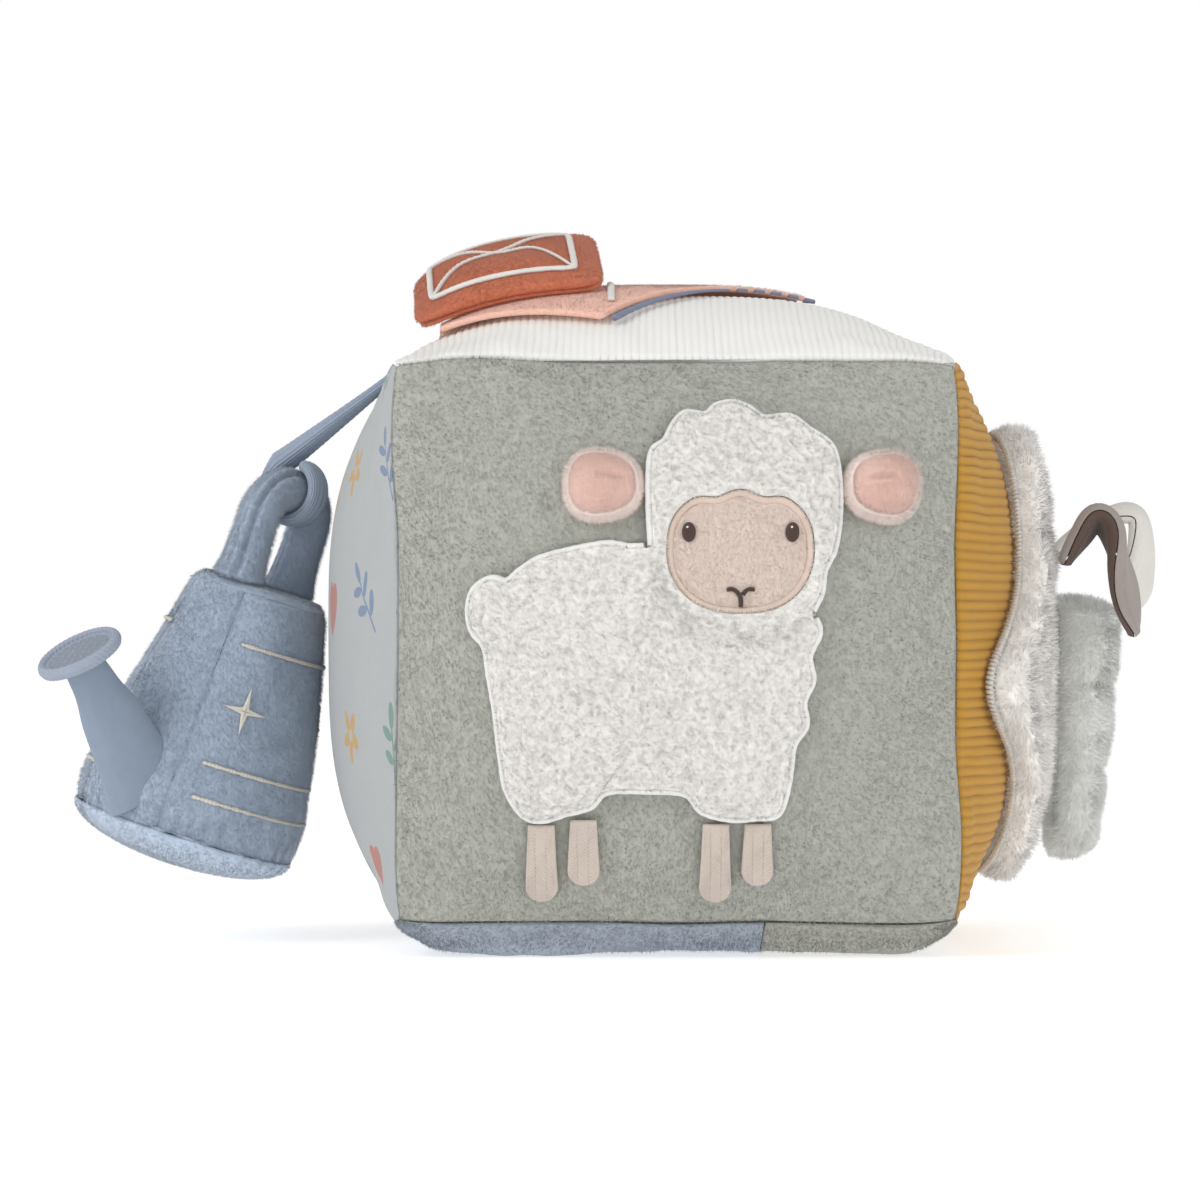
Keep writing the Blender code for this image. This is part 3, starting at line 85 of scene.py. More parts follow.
class Side(Enum):
    """The block's six faces, each with its outward, right and up directions."""

    FRONT = ((0, -1, 0), (1, 0, 0), (0, 0, 1))
    BACK = ((0, 1, 0), (-1, 0, 0), (0, 0, 1))
    LEFT = ((-1, 0, 0), (0, -1, 0), (0, 0, 1))
    RIGHT = ((1, 0, 0), (0, 1, 0), (0, 0, 1))
    TOP = ((0, 0, 1), (1, 0, 0), (0, 1, 0))
    BOTTOM = ((0, 0, -1), (1, 0, 0), (0, -1, 0))


def crown(across: Array, upward: Array, power: float = CROWN_POWER, flat: float = 0.0) -> Array:
    """Share of the full crown over a panel.

    Args:
        across: Places along the panel, in shares of half its edge.
        upward: Places up the panel, in shares of half its edge.
        power: How square the crown is.
        flat: Share of the panel that stays flat.

    Returns:
        1 in the middle, 0 at the seams.
    """
    levels = [np.clip((np.minimum(1, np.abs(share)) - flat) / (1 - flat), 0, 1) for share in (across, upward)]
    return (1 - levels[0] ** power) * (1 - levels[1] ** power)


def unit(rows: Array) -> Array:
    """Rows scaled to a length of one."""
    return rows / np.linalg.norm(rows, axis=-1, keepdims=True)


def full_turn(count: int, start: float = 0.0) -> Array:
    """Angles spread evenly round a circle."""
    return 2 * np.pi * (np.arange(count) + start) / count


def squared_up(turn: Array, power: float) -> tuple[Array, Array]:
    """A circle's places across and up, each raised to a power, which squares it up."""
    return tuple(np.copysign(np.abs(wave) ** power, wave) for wave in (np.cos(turn), np.sin(turn)))


def turned_place(out: Array, turn: Array, height: Array) -> Array:
    """Places about the upright axis from radii, turns and heights."""
    return np.stack((out * np.cos(turn), out * np.sin(turn), height + 0 * turn), axis=-1)


def turn_between(turn: Array, other: float) -> Array:
    """The angle between turns and another one, the short way round."""
    return np.abs((turn - other + np.pi) % (2 * np.pi) - np.pi)


def bell(distance: Array, width: float) -> Array:
    """A smooth bump: 1 at no distance, and near nothing past twice the width."""
    return np.exp(-(distance / width) ** 2)


def drawn_in(place: Array, reach: Array) -> Array:
    """Pull the middle of each seam in, as sewn corners stand out.

    Args:
        place: Places from the block's centre.
        reach: Half the edge of the cube that they lie on.

    Returns:
        The places moved.
    """
    shares = place / reach[..., None]
    power = np.abs(shares) ** 2
    pulled = place.copy()
    for axis in range(3):
        one, two = power[..., (axis + 1) % 3], power[..., (axis + 2) % 3]
        edge = one * (1 - np.minimum(1, two)) + two * (1 - np.minimum(1, one))
        pulled[..., axis] -= np.copysign(SEAM_PULL, place[..., axis]) * power[..., axis] * edge
    corner = np.minimum(1, np.abs(np.prod(shares, axis=-1))) ** 7
    wobble = np.stack([lattice(place, 0.026, seed) for seed in (41, 42, 43)], axis=-1) * SEAM_WOBBLE
    return pulled - np.copysign(CORNER_PULL, place) * corner[..., None] + wobble


def surface(side: Side, across: Array, upward: Array, lift: Union[Array, float] = 0.0) -> Array:
    """World places over a panel.

    Args:
        side: The face of the block.
        across: Lengths along it from its middle.
        upward: Lengths up it from its middle.
        lift: Heights off its outer face.

    Returns:
        One place for each length.
    """
    outward, right, up = (np.array(way, float) for way in side.value)
    across, upward, lift = np.broadcast_arrays(across, upward, lift)
    reach = HALF + lift
    share_a, share_u = across / HALF, upward / HALF
    rise, bulge = CROWN, crown(share_a, share_u)
    if side is Side.BOTTOM:
        rise, bulge = REST_DROP, crown(share_a, share_u, BASE_POWER, BASE_FLAT_SHARE)
    place = outward * (reach + rise * bulge)[..., None]
    place = place + right * (reach * share_a)[..., None] + up * (reach * share_u)[..., None]
    drawn = drawn_in(place, reach)
    return drawn + (place - drawn) * bulge[..., None] + CENTRE


def shuffled(at: Array) -> Array:
    """A place in the noise table for each cell.

    Args:
        at: The cells' whole numbers, two or three of them.

    Returns:
        Whole numbers under the table's size.
    """
    key = at[..., 0] * HASH_STEPS[0]
    for axis in range(1, at.shape[-1]):
        key = key ^ (at[..., axis] * HASH_STEPS[axis])
    return key % TABLE_SIZE


def lattice(places: Array, cell: float, seed: int = 0) -> Array:
    """Smooth noise over places.

    Args:
        places: Points, one row each.
        cell: Size of a lump.
        seed: Picks the pattern.

    Returns:
        Values from -1 to 1.
    """
    table = np.random.default_rng(seed + 11).uniform(-1, 1, TABLE_SIZE)
    scaled = places / cell + FAR_CELL
    low = np.floor(scaled).astype(np.int64)
    part = scaled - low
    part = part * part * (3 - 2 * part)
    total = np.zeros(places.shape[:-1])
    for corner in range(8):
        step = np.array([(corner >> axis) & 1 for axis in range(3)])
        weight = np.prod(np.where(step, part, 1 - part), axis=-1)
        total += weight * table[shuffled(low + step)]
    return total


def flat_noise(x: Array, y: Array, cell: float, seed: int) -> Array:
    """Smooth noise over flat places, from -1 to 1."""
    return lattice(np.stack((x, y, 0 * x), axis=-1), cell, seed)


def cells(places: Array, cell: float, seed: int = 0) -> Array:
    """Distance to the nearest of one scattered point in each cell, on a plane.

    Args:
        places: Flat points, two columns.
        cell: Size of a cell.
        seed: Picks the pattern.

    Returns:
        Distances in shares of the cell.
    """
    table = np.random.default_rng(seed + 5).uniform(0.1, 0.9, (TABLE_SIZE, 2))
    scaled = places / cell + FAR_CELL
    low = np.floor(scaled).astype(np.int64)
    nearest = np.full(places.shape[:-1], 9.0)
    for step_x in (-1, 0, 1):
        for step_y in (-1, 0, 1):
            at = low + np.array((step_x, step_y))
            nearest = np.minimum(nearest, np.linalg.norm(at + table[shuffled(at)] - scaled, axis=-1))
    return nearest


def superellipse(shares: Sequence[float], power: float, count: int) -> Array:
    """Outline round a middle, counter-clockwise.

    Args:
        shares: Middle and half sizes, in shares of half the block's edge.
        power: How square the outline is.
        count: Number of points.

    Returns:
        Flat points, two columns.
    """
    centre_x, centre_y, half_x, half_y = (HALF * share for share in shares)
    x, y = squared_up(full_turn(count), 2 / power)
    return np.stack((centre_x + half_x * x, centre_y + half_y * y), axis=-1)


def box_outline(half_x: float, half_y: float, power: float) -> Array:
    """A rectangle's outline with round corners, about the middle.

    Args:
        half_x: Half its width.
        half_y: Half its height.
        power: How round the corners are.

    Returns:
        Flat points, two columns.
    """
    x, y = squared_up(full_turn(OUTLINE_POINTS, 0.5), power)
    return np.stack((half_x * x, half_y * y), axis=-1)


def resampled(path: Array, count: int, closed: bool = True) -> Array:
    """Evenly spread points along a path.

    Args:
        path: Points in order.
        count: Number of points to return.
        closed: Whether the path comes back to its start.

    Returns:
        The new points.
    """
    whole = np.vstack((path, path[:1])) if closed else path
    lengths = np.concatenate(([0], np.cumsum(np.linalg.norm(np.diff(whole, axis=0), axis=1))))
    goals = np.linspace(0, lengths[-1], count, endpoint=not closed)
    return np.stack([np.interp(goals, lengths, whole[:, axis]) for axis in range(whole.shape[1])], axis=-1)


def normals_of(path: Array, closed: bool = True) -> Array:
    """Outward directions along a flat, counter-clockwise path.

    Args:
        path: Flat points.
        closed: Whether the path comes back to its start.

    Returns:
        Unit directions.
    """
    if closed:
        along = np.roll(path, -1, axis=0) - np.roll(path, 1, axis=0)
    else:
        along = np.gradient(path, axis=0)
    along = along / np.maximum(np.linalg.norm(along, axis=1, keepdims=True), 1e-12)
    return np.stack((along[:, 1], -along[:, 0]), axis=-1)


def shifted(path: Array, distance: float, closed: bool = True) -> Array:
    """The path moved outwards along its normals."""
    return path + normals_of(path, closed) * distance


def smooth_curve(points: Sequence[Sequence[float]], count: int) -> Array:
    """A smooth curve through points.

    Args:
        points: Points to pass through.
        count: Number of points to return.

    Returns:
        Evenly spread points on the curve.
    """
    given = np.array(points, float)
    ends = np.vstack((2 * given[0] - given[1], given, 2 * given[-1] - given[-2]))
    fine = []
    share = np.linspace(0, 1, 12, endpoint=False)[:, None]
    for index in range(1, len(ends) - 2):
        before, one, two, after = ends[index - 1:index + 3]
        fine.append(0.5 * (
            2 * one + (two - before) * share + (2 * before - 5 * one + 4 * two - after) * share ** 2
            + (3 * one - before - 3 * two + after) * share ** 3
        ))
    return resampled(np.vstack(fine + [given[-1:]]), count, closed=False)


# Node maths


class Wire:
    """A node's output that sums and products can be written with."""

    def __init__(self, sheet: "NodeSheet", socket: bpy.types.NodeSocket) -> None:
        """Keep the socket and the sheet that new nodes go on."""
        self.sheet, self.socket = sheet, socket

    def maths(self, operation: str, *others: Union["Wire", float], first: bool = True) -> "Wire":
        """Add a Math node.

        Args:
            operation: The node's operation.
            others: The other inputs.
            first: Whether this wire is the first input.

        Returns:
            The node's output.
        """
        inputs = (self, *others) if first else (*others, self)
        node = self.sheet.node("ShaderNodeMath", {"operation": operation}, dict(enumerate(inputs)))
        return Wire(self.sheet, node.outputs[0])

    def __add__(self, other: Union["Wire", float]) -> "Wire":
        """Sum."""
        return self.maths("ADD", other)

    def __radd__(self, other: float) -> "Wire":
        """Sum with a number first."""
        return self.maths("ADD", other, first=False)

    def __sub__(self, other: Union["Wire", float]) -> "Wire":
        """Difference."""
        return self.maths("SUBTRACT", other)

    def __rsub__(self, other: float) -> "Wire":
        """Difference with a number first."""
        return self.maths("SUBTRACT", other, first=False)

    def __mul__(self, other: Union["Wire", float]) -> "Wire":
        """Product."""
        return self.maths("MULTIPLY", other)

    def __rmul__(self, other: float) -> "Wire":
        """Product with a number first."""
        return self.maths("MULTIPLY", other, first=False)

    def __truediv__(self, other: Union["Wire", float]) -> "Wire":
        """Quotient."""
        return self.maths("DIVIDE", other)

    def __pow__(self, other: float) -> "Wire":
        """Power."""
        return self.maths("POWER", other)

    def __lt__(self, other: Union["Wire", float]) -> "Wire":
        """1 where this is the smaller."""
        return self.maths("LESS_THAN", other)

    def __gt__(self, other: Union["Wire", float]) -> "Wire":
        """1 where this is the larger."""
        return self.maths("GREATER_THAN", other)

    def __abs__(self) -> "Wire":
        """Size without sign."""
        return self.maths("ABSOLUTE")


class NodeSheet:
    """The nodes of one material."""

    def __init__(self, name: str) -> None:
        """Make the material with an empty tree.

        Args:
            name: The material's name.
        """
        self.material = bpy.data.materials.new(name)
        self.material.use_nodes = True
        self.tree = self.material.node_tree
        self.tree.nodes.clear()

    def node(
        self, kind: str, settings: Optional[dict] = None, inputs: Optional[dict] = None,
    ) -> bpy.types.Node:
        """Add a node.

        Args:
            kind: The node's type.
            settings: Its own settings, set first.
            inputs: Values or wires for its sockets, by name or number.

        Returns:
            The node.
        """
        made = self.tree.nodes.new(kind)
        for key, value in (settings or {}).items():
            setattr(made, key, value)
        for key, value in (inputs or {}).items():
            if isinstance(value, Wire):
                self.tree.links.new(value.socket, made.inputs[key])
            else:
                made.inputs[key].default_value = value
        return made

    def wire(
        self, kind: str, output: Union[str, int], settings: Optional[dict] = None,
        **inputs: Union[Wire, float, Sequence[float]],
    ) -> Wire:
        """Add a node and give one of its outputs; input names take underscores for spaces."""
        named = {key.replace("_", " "): value for key, value in inputs.items()}
        return Wire(self, self.node(kind, settings, named).outputs[output])

    def place(self) -> Wire:
        """Object coordinates, in metres."""
        return self.wire("ShaderNodeTexCoord", "Object")

    def attribute(self, name: str) -> Wire:
        """A value kept on the mesh's points."""
        return self.wire("ShaderNodeAttribute", "Fac", {"attribute_name": name})

    def nap_normal(self) -> Wire:
        """The shading direction kept on the mesh's points, turned with the piece.

        Returns:
            A direction.
        """
        kept = self.wire("ShaderNodeAttribute", "Vector", {"attribute_name": "nap_normal"})
        settings = {"vector_type": "NORMAL", "convert_from": "OBJECT", "convert_to": "WORLD"}
        return self.wire("ShaderNodeVectorTransform", 0, settings, Vector=kept)

    def noise(self, vector: Wire, size: float, detail: float = 2.0) -> Wire:
        """Noise from 0 to 1 with lumps of a size."""
        return self.wire("ShaderNodeTexNoise", "Fac", None, Vector=vector, Scale=1 / size, Detail=detail)

    def stretched(self, vector: Wire, scale: Sequence[float], turn: Sequence[float] = (0, 0, 0)) -> Wire:
        """A vector turned and scaled."""
        return self.wire("ShaderNodeMapping", "Vector", None, Vector=vector, Scale=scale, Rotation=turn)

    def blended(
        self, factor: Union[Wire, float], one: Union[Wire, tuple], two: Union[Wire, tuple], way: str = "MIX",
    ) -> Wire:
        """Two colours mixed.

        Args:
            factor: Share of the second.
            one: First colour.
            two: Second colour.
            way: The blend type.

        Returns:
            The mixed colour.
        """
        settings = {"data_type": "RGBA", "blend_type": way}
        node = self.node("ShaderNodeMix", settings, {0: factor, 6: one, 7: two})
        return Wire(self, node.outputs[2])


# Finishes


class Weave(Enum):
    """Kinds of cloth and other stuff."""

    PILE = "pile"
    RIBBED = "ribbed"
    PRINTED = "printed"
    THREAD = "thread"
    FELT = "felt"
    WADDING = "wadding"
    MOULDED = "moulded"


def paint(screen: Colour) -> tuple[float, ...]:
    """A colour in linear light and with full cover.

    Args:
        screen: The colour as a screen shows it, each part 0 to 255.

    Returns:
        Four shares.
    """
    parts = (value / 255 for value in screen)
    light = (part / 12.92 if part <= 0.04045 else ((part + 0.055) / 1.055) ** 2.4 for part in parts)
    return (*light, 1)


@dataclass(frozen=True)
class Finish:
    """How one cloth looks."""

    name: str
    screen: Colour
    weave: Weave
    # deep: share of full brightness left at the bottom of the pile; lower values paint more shade down among
    # the fibres.
    deep: float = 0.6
    mottle: float = 0.08
    mottle_size: float = 0.010
    grain_size: float = 0.0005
    bump: float = 0.25
    roughness: float = 0.9
    sheen: float = 0.15
    nap: float = 0.35
    nap_size: float = 0.0009
    # Painted light: a glow in the cloth's own colour that lifts pile and panels out of their shade.
    painted_glow: float = 0.0
    knit_row: float = 0.0008
    knit_column: float = 0.0006

    def napped(self, sheet: NodeSheet, place: Wire) -> Wire:
        """Brushed streaks of a short pile, from -0.5 to 0.5."""
        bent = sheet.stretched(place, (1.0, 1.0, 0.42), (0.2, 0.55, 0.3))
        return sheet.noise(bent, self.nap_size, 3) - 0.5

    def grained(self, sheet: NodeSheet, place: Wire) -> Wire:
        """Height of the cloth's fine grain.

        Args:
            sheet: The nodes.
            place: Object coordinates.

        Returns:
            A height from 0 to 1.
        """
        grain = sheet.noise(place, self.grain_size, 3)
        if self.weave is Weave.PRINTED:
            parts = sheet.node("ShaderNodeSeparateXYZ", None, {0: place})
            rows = (Wire(sheet, parts.outputs[2]) * (2 * math.pi / self.knit_row)).maths("SINE")
            columns = (Wire(sheet, parts.outputs[1]) * (2 * math.pi / self.knit_column)).maths("SINE")
            return (rows * columns) * 0.35 + grain
        if self.weave is Weave.PILE:
            return grain * 0.4 + self.napped(sheet, place) * 1.2 + 0.3
        return grain

    def dyed_and_shaded(self, sheet: NodeSheet, place: Wire) -> Wire:
        """The cloth's colour, mottled, and darker down in its pile.

        Args:
            sheet: The nodes.
            place: Object coordinates.

        Returns:
            A colour.
        """
        patches = sheet.noise(place, self.mottle_size, 3) - 0.5
        fine = sheet.noise(place, self.grain_size * 3, 1) - 0.5
        light = patches * (2 * self.mottle) + fine * self.mottle + 1.0
        if self.weave is Weave.PILE:
            light = light + self.napped(sheet, place) * self.nap
        if self.weave is not Weave.MOULDED:
            # Painted shade: the colour darkens where pile_height is low, down among the fibres, in grooves,
            # between threads and on hidden backs.
            height, tone = sheet.attribute("pile_height"), sheet.attribute("pile_tone")
            light = light * (height * (1 - self.deep) + self.deep) * (tone * (1.4 * self.mottle) + 1.0)
        base = paint(self.screen)
        if self.weave is Weave.PRINTED:
            return sheet.blended(1.0, Motifs().drawn(sheet, base), light, "MULTIPLY")
        return sheet.blended(1.0, base, light, "MULTIPLY")

    def made(self) -> bpy.types.Material:
        """Build the material.

        Returns:
            The material.
        """
        sheet = NodeSheet(self.name)
        place = sheet.place()
        grain = self.grained(sheet, place)
        reach = self.nap_size * 0.5 if self.weave is Weave.PILE else self.grain_size
        inputs = {"Strength": self.bump, "Distance": reach, "Height": grain}
        if self.weave is Weave.PILE:
            inputs["Normal"] = sheet.nap_normal()
        bump = sheet.wire("ShaderNodeBump", "Normal", None, **inputs)
        rough = (grain - 0.5) * 0.12 + self.roughness
        dye_and_shade = self.dyed_and_shaded(sheet, place)
        inputs = {"Base_Color": dye_and_shade, "Roughness": rough, "Normal": bump}
        # Painted light: the cloth glows in its own colour, standing in for light that reaches it in shade.
        if self.painted_glow:
            inputs |= {"Emission_Color": dye_and_shade, "Emission_Strength": self.painted_glow}
        shader = sheet.wire(
            "ShaderNodeBsdfPrincipled", "BSDF", None, Sheen_Weight=self.sheen, Sheen_Roughness=0.6,
            Specular_IOR_Level=0.2, **inputs,
        )
        sheet.node("ShaderNodeOutputMaterial", None, {"Surface": shader})
        return sheet.material


@dataclass(frozen=True)
class Motifs:
    """Small scattered prints: sprigs, hearts, blossoms and dots."""

    cell: float = 0.0245
    size: float = 0.0058
    cloth_edge: float = 0.150
    greens: Colour = (120, 152, 142)
    reds: Colour = (186, 122, 112)
    greys: Colour = (120, 122, 126)
    ochres: Colour = (196, 160, 104)
    blues: Colour = (122, 140, 168)

    def drawn(self, sheet: NodeSheet, ground: tuple) -> Wire:
        """The ground colour with the prints on it.

        Args:
            sheet: The nodes.
            ground: The cloth's colour.

        Returns:
            A colour.
        """
        flat = sheet.wire("ShaderNodeUVMap", "UV", {"uv_map": BAKE_MAP})
        parts = sheet.node("ShaderNodeSeparateXYZ", None, {0: flat})
        count = self.cloth_edge / self.cell
        across, upward = (Wire(sheet, parts.outputs[index]) * count for index in (0, 1))
        row = upward.maths("FLOOR")
        across = across + row.maths("MODULO", 2.0) * 0.5
        column = across.maths("FLOOR")
        key = sheet.wire("ShaderNodeCombineXYZ", "Vector", None, X=column, Y=row)
        dice = sheet.node("ShaderNodeTexWhiteNoise", None, {"Vector": key})
        kind = Wire(sheet, dice.outputs["Value"])
        throws = sheet.node("ShaderNodeSeparateColor", None, {0: Wire(sheet, dice.outputs["Color"])})
        turn, hue, jitter = (Wire(sheet, throws.outputs[index]) for index in (0, 1, 2))
        unit = self.cell / self.size
        local_x = (across - column - 0.5) * unit + (jitter - 0.5) * 1.2
        local_y = (upward - row - 0.5) * unit + (hue - 0.5) * 1.2
        angle = (turn - 0.5) * 1.5
        cosine, sine = angle.maths("COSINE"), angle.maths("SINE")
        x = local_x * cosine - local_y * sine
        y = local_x * sine + local_y * cosine
        sprig = self.sprig(x, y)
        square = x * x + y * y
        heart = ((square * 1.3 - 0.7) ** 3 - x * x * (y * y * y) * 1.6) < 0.0
        petal = (y.maths("ARCTAN2", x) * 5.0).maths("COSINE") * 0.26 + 0.62
        blossom = (square ** 0.5 < petal) * (square ** 0.5 > 0.2)
        side = abs(x)
        low_dots = ((side - 0.55) ** 2 + y * y) ** 0.5 < 0.22
        dots = low_dots.maths("MAXIMUM", (x * x + (y - 0.8) ** 2) ** 0.5 < 0.22)
        shapes = ((sprig, 0.0, 0.40), (heart, 0.40, 0.58), (blossom, 0.58, 0.82), (dots, 0.82, 1.01))
        inked = None
        for shape, low, high in shapes:
            shown = shape * ((kind > low) * (kind < high))
            inked = shown if inked is None else inked.maths("MAXIMUM", shown)
        ink = sheet.blended(hue < 0.5, paint(self.greens), paint(self.blues))
        for share, colour in ((0.40, self.reds), (0.66, self.ochres), (0.86, self.greys)):
            ink = sheet.blended(kind > share, ink, paint(colour))
        return sheet.blended(inked * 0.9, ground, ink)

    def sprig(self, x: Wire, y: Wire) -> Wire:
        """A stem with five leaves.

        Args:
            x: Places across the print.
            y: Places up the print.

        Returns:
            1 inside the print.
        """
        shape = (abs(x) < 0.05) * (abs(y) < 1.15)
        for level, way in ((-0.55, 1), (-0.2, -1), (0.2, 1), (0.55, -1)):
            along = (x * way - 0.38) * 0.8 + (y - level - 0.25) * 0.6
            aside = (y - level - 0.25) * 0.8 - (x * way - 0.38) * 0.6
            leaf = (along * along) / 0.16 + (aside * aside) / 0.028
            shape = shape.maths("MAXIMUM", leaf < 1.0)
        tip = (x * x) / 0.03 + ((y - 1.25) ** 2) / 0.16
        return shape.maths("MAXIMUM", tip < 1.0)


class Cloths(Enum):
    """Every finish on the block."""

    SAGE = Finish("sage_plush", (181, 182, 173), Weave.PILE, deep=0.9, mottle=0.06, bump=0.5)
    # The bottom panels face the floor and carry a painted glow that lifts their shade; the bottom sage is a
    # copy of the front's sage plush in a slightly darker colour with that glow.
    BLUE_BASE = Finish("light_blue_plush", (166, 174, 186), Weave.PILE, deep=0.9, mottle=0.06, painted_glow=0.05)
    SAGE_BASE = Finish(
        "bottom_sage_plush", (176, 176, 168), Weave.PILE, deep=0.9, mottle=0.06, painted_glow=0.04,
    )
    PRINT = Finish("printed_jersey", (179, 182, 183), Weave.PRINTED, mottle=0.02, bump=0.3)
    MUSTARD = Finish("mustard_corduroy", (195, 145, 56), Weave.RIBBED, deep=0.55, mottle=0.05)
    WHITE_RIB = Finish("white_corduroy", (244, 243, 239), Weave.RIBBED, deep=0.88, mottle=0.02)
    TEDDY = Finish(
        "cream_teddy", (238, 235, 230), Weave.PILE, deep=0.9, mottle=0.02, nap=0.06, painted_glow=0.06,
    )
    CREAM_THREAD = Finish("cream_thread", (250, 249, 246), Weave.THREAD, deep=0.75, roughness=0.6)
    FACE = Finish("face_velour", (230, 211, 199), Weave.PILE, deep=0.9, mottle=0.03, nap=0.14)
    FACE_THREAD = Finish("face_thread", (232, 210, 195), Weave.THREAD, deep=0.75, roughness=0.6)
    LEG_THREAD = Finish("leg_thread", (206, 193, 183), Weave.THREAD, deep=0.6, roughness=0.6)
    DARK_THREAD = Finish("dark_thread", (78, 60, 52), Weave.THREAD, deep=0.6, roughness=0.5)
    EAR_CREAM = Finish(
        "ear_cream_plush", (250, 233, 225), Weave.PILE, deep=0.9, mottle=0.03, nap=0.15, painted_glow=0.22,
    )
    EAR_PINK = Finish(
        "ear_pink_velour", (244, 210, 198), Weave.PILE, deep=0.9, mottle=0.04, nap=0.18, painted_glow=0.22,
    )
    SALMON = Finish(
        "salmon_velour", (240, 192, 174), Weave.PILE, deep=0.9, mottle=0.05, nap=0.25, painted_glow=0.05,
    )
    SLATE = Finish("slate_thread", (140, 148, 172), Weave.THREAD, deep=0.6, roughness=0.6)
    WHITE_THREAD = Finish("white_thread", (240, 238, 232), Weave.THREAD, deep=0.75, roughness=0.6)
    RUST = Finish("rust_velour", (200, 116, 86), Weave.PILE, deep=0.85, mottle=0.07, painted_glow=0.08)
    PINK_PILE = Finish(
        "pink_long_pile", (238, 234, 229), Weave.PILE, deep=0.8, mottle=0.03, nap=0.1, painted_glow=0.24,
        sheen=0.5,
    )
    GREY_PILE = Finish(
        "grey_long_pile", (226, 227, 222), Weave.PILE, deep=0.8, mottle=0.04, nap=0.1, painted_glow=0.24,
        sheen=0.5,
    )
    # Painted light: the backing is given a light colour and a strong glow to lift the shade it sits in.
    WING_BACK = Finish("wing_backing_velour", (206, 206, 200), Weave.FELT, painted_glow=0.2)
    TAUPE = Finish("taupe_velour", (158, 148, 143), Weave.FELT, mottle=0.06, mottle_size=0.003)
    LINING = Finish("brown_lining", (92, 76, 68), Weave.FELT)
    CREAM_JERSEY = Finish("cream_jersey", (222, 218, 212), Weave.FELT, mottle=0.05)
    CAN = Finish(
        "can_blue_velour", (164, 179, 198), Weave.PILE, deep=0.92, mottle=0.08, bump=0.2, nap=0.2,
        painted_glow=0.05, sheen=0.4,
    )
    # Painted light: the same velour as the can's wall, in a lighter colour with a stronger glow to lift the
    # base out of its shade.
    CAN_BASE = Finish(
        "can_base_velour", (188, 203, 222), Weave.PILE, deep=0.92, mottle=0.08, bump=0.2, nap=0.2,
        painted_glow=0.08, sheen=0.4,
    )
    SPOUT = Finish("spout_felt", (140, 154, 172), Weave.FELT, mottle=0.06, mottle_size=0.004)
    ROSE = Finish("rose_jersey", (160, 170, 186), Weave.FELT)
    STRAP = Finish("strap_knit", (156, 168, 186), Weave.THREAD, deep=0.55, roughness=0.8)
    STRIPE = Finish("stripe_thread", (222, 217, 206), Weave.THREAD, deep=0.7, roughness=0.6)
    WADDING = Finish("wadding", (240, 240, 238), Weave.WADDING, grain_size=0.002, bump=0.6)
    CAPSULE = Finish("capsule_plastic", (226, 226, 230), Weave.MOULDED, mottle=0.01, roughness=0.4)
    BEAD = Finish("bead_plastic", (214, 148, 122), Weave.MOULDED, mottle=0.02, roughness=0.35)


@dataclass(frozen=True)
class Pile:
    """The fibres that stand on a cloth."""

    length: float
    count: int
    width: float = 0.00022
    lean: Colour = (0, 0, -0.35)
    spread: float = 0.35
    swirl: float = 0.25
    swirl_size: float = 0.012
    bend: float = 0.0
    curl: float = 0.0
    joints: int = 0


# Meshes


def laid_grid(columns: int, rows: int, mapping: Mapping, weld: float = 0.000002) -> bpy.types.Mesh:
    """A cloth mesh: a flat grid moved into place, with the edges that meet welded.

    Args:
        columns: Number of squares across.
        rows: Number of squares up.
        mapping: Gives places and pile heights from shares across and up.
        weld: How near points are that become one.

    Returns:
        The mesh, with the grid's own shares as its map.
    """
    shape = bmesh.new()
    shape.loops.layers.uv.new(BAKE_MAP)
    bmesh.ops.create_grid(shape, x_segments=columns, y_segments=rows, size=0.5, calc_uvs=True)
    mesh = bpy.data.meshes.new("cloth")
    shape.to_mesh(mesh)
    flat = np.zeros(len(mesh.vertices) * 3)
    mesh.vertices.foreach_get("co", flat)
    flat = flat.reshape(-1, 3)
    places, heights = mapping(flat[:, 0] + 0.5, flat[:, 1] + 0.5)
    mesh.vertices.foreach_set("co", np.ascontiguousarray(places, np.float32).ravel())
    layer = mesh.attributes.new("pile_height", "FLOAT", "POINT")
    layer.data.foreach_set("value", np.broadcast_to(heights, len(places)).astype(np.float32))
    shape.clear()
    shape.from_mesh(mesh)
    bmesh.ops.remove_doubles(shape, verts=shape.verts[:], dist=weld)
    bmesh.ops.recalc_face_normals(shape, faces=shape.faces[:])
    if shape.calc_volume(signed=True) < 0:
        bmesh.ops.reverse_faces(shape, faces=shape.faces[:])
    shape.to_mesh(mesh)
    shape.free()
    mesh.update()
    return mesh


def closed_sides(mesh: bpy.types.Mesh) -> bpy.types.Mesh:
    """Close the open ends of a cloth that is folded back under itself.

    Args:
        mesh: The cloth.

    Returns:
        The same mesh, closed.
    """
    shape = bmesh.new()
    shape.from_mesh(mesh)
    rim = [edge for edge in shape.edges if edge.is_boundary]
    bmesh.ops.holes_fill(shape, edges=rim, sides=0)
    bmesh.ops.triangulate(shape, faces=[face for face in shape.faces if len(face.verts) > 4])
    bmesh.ops.recalc_face_normals(shape, faces=shape.faces[:])
    shape.to_mesh(mesh)
    shape.free()
    mesh.update()
    return mesh


def gathered(meshes: Sequence[bpy.types.Mesh]) -> bpy.types.Mesh:
    """Several meshes as one.

    Args:
        meshes: The parts, removed afterwards.

    Returns:
        The joined mesh.
    """
    shape = bmesh.new()
    for mesh in meshes:
        shape.from_mesh(mesh)
        bpy.data.meshes.remove(mesh)
    joined = bpy.data.meshes.new("cloth")
    shape.to_mesh(joined)
    shape.free()
    return joined


def moved(mesh: bpy.types.Mesh, places: Array) -> None:
    """Set the places of a mesh's points."""
    mesh.vertices.foreach_set("co", places.astype(np.float32).ravel())
    mesh.update()


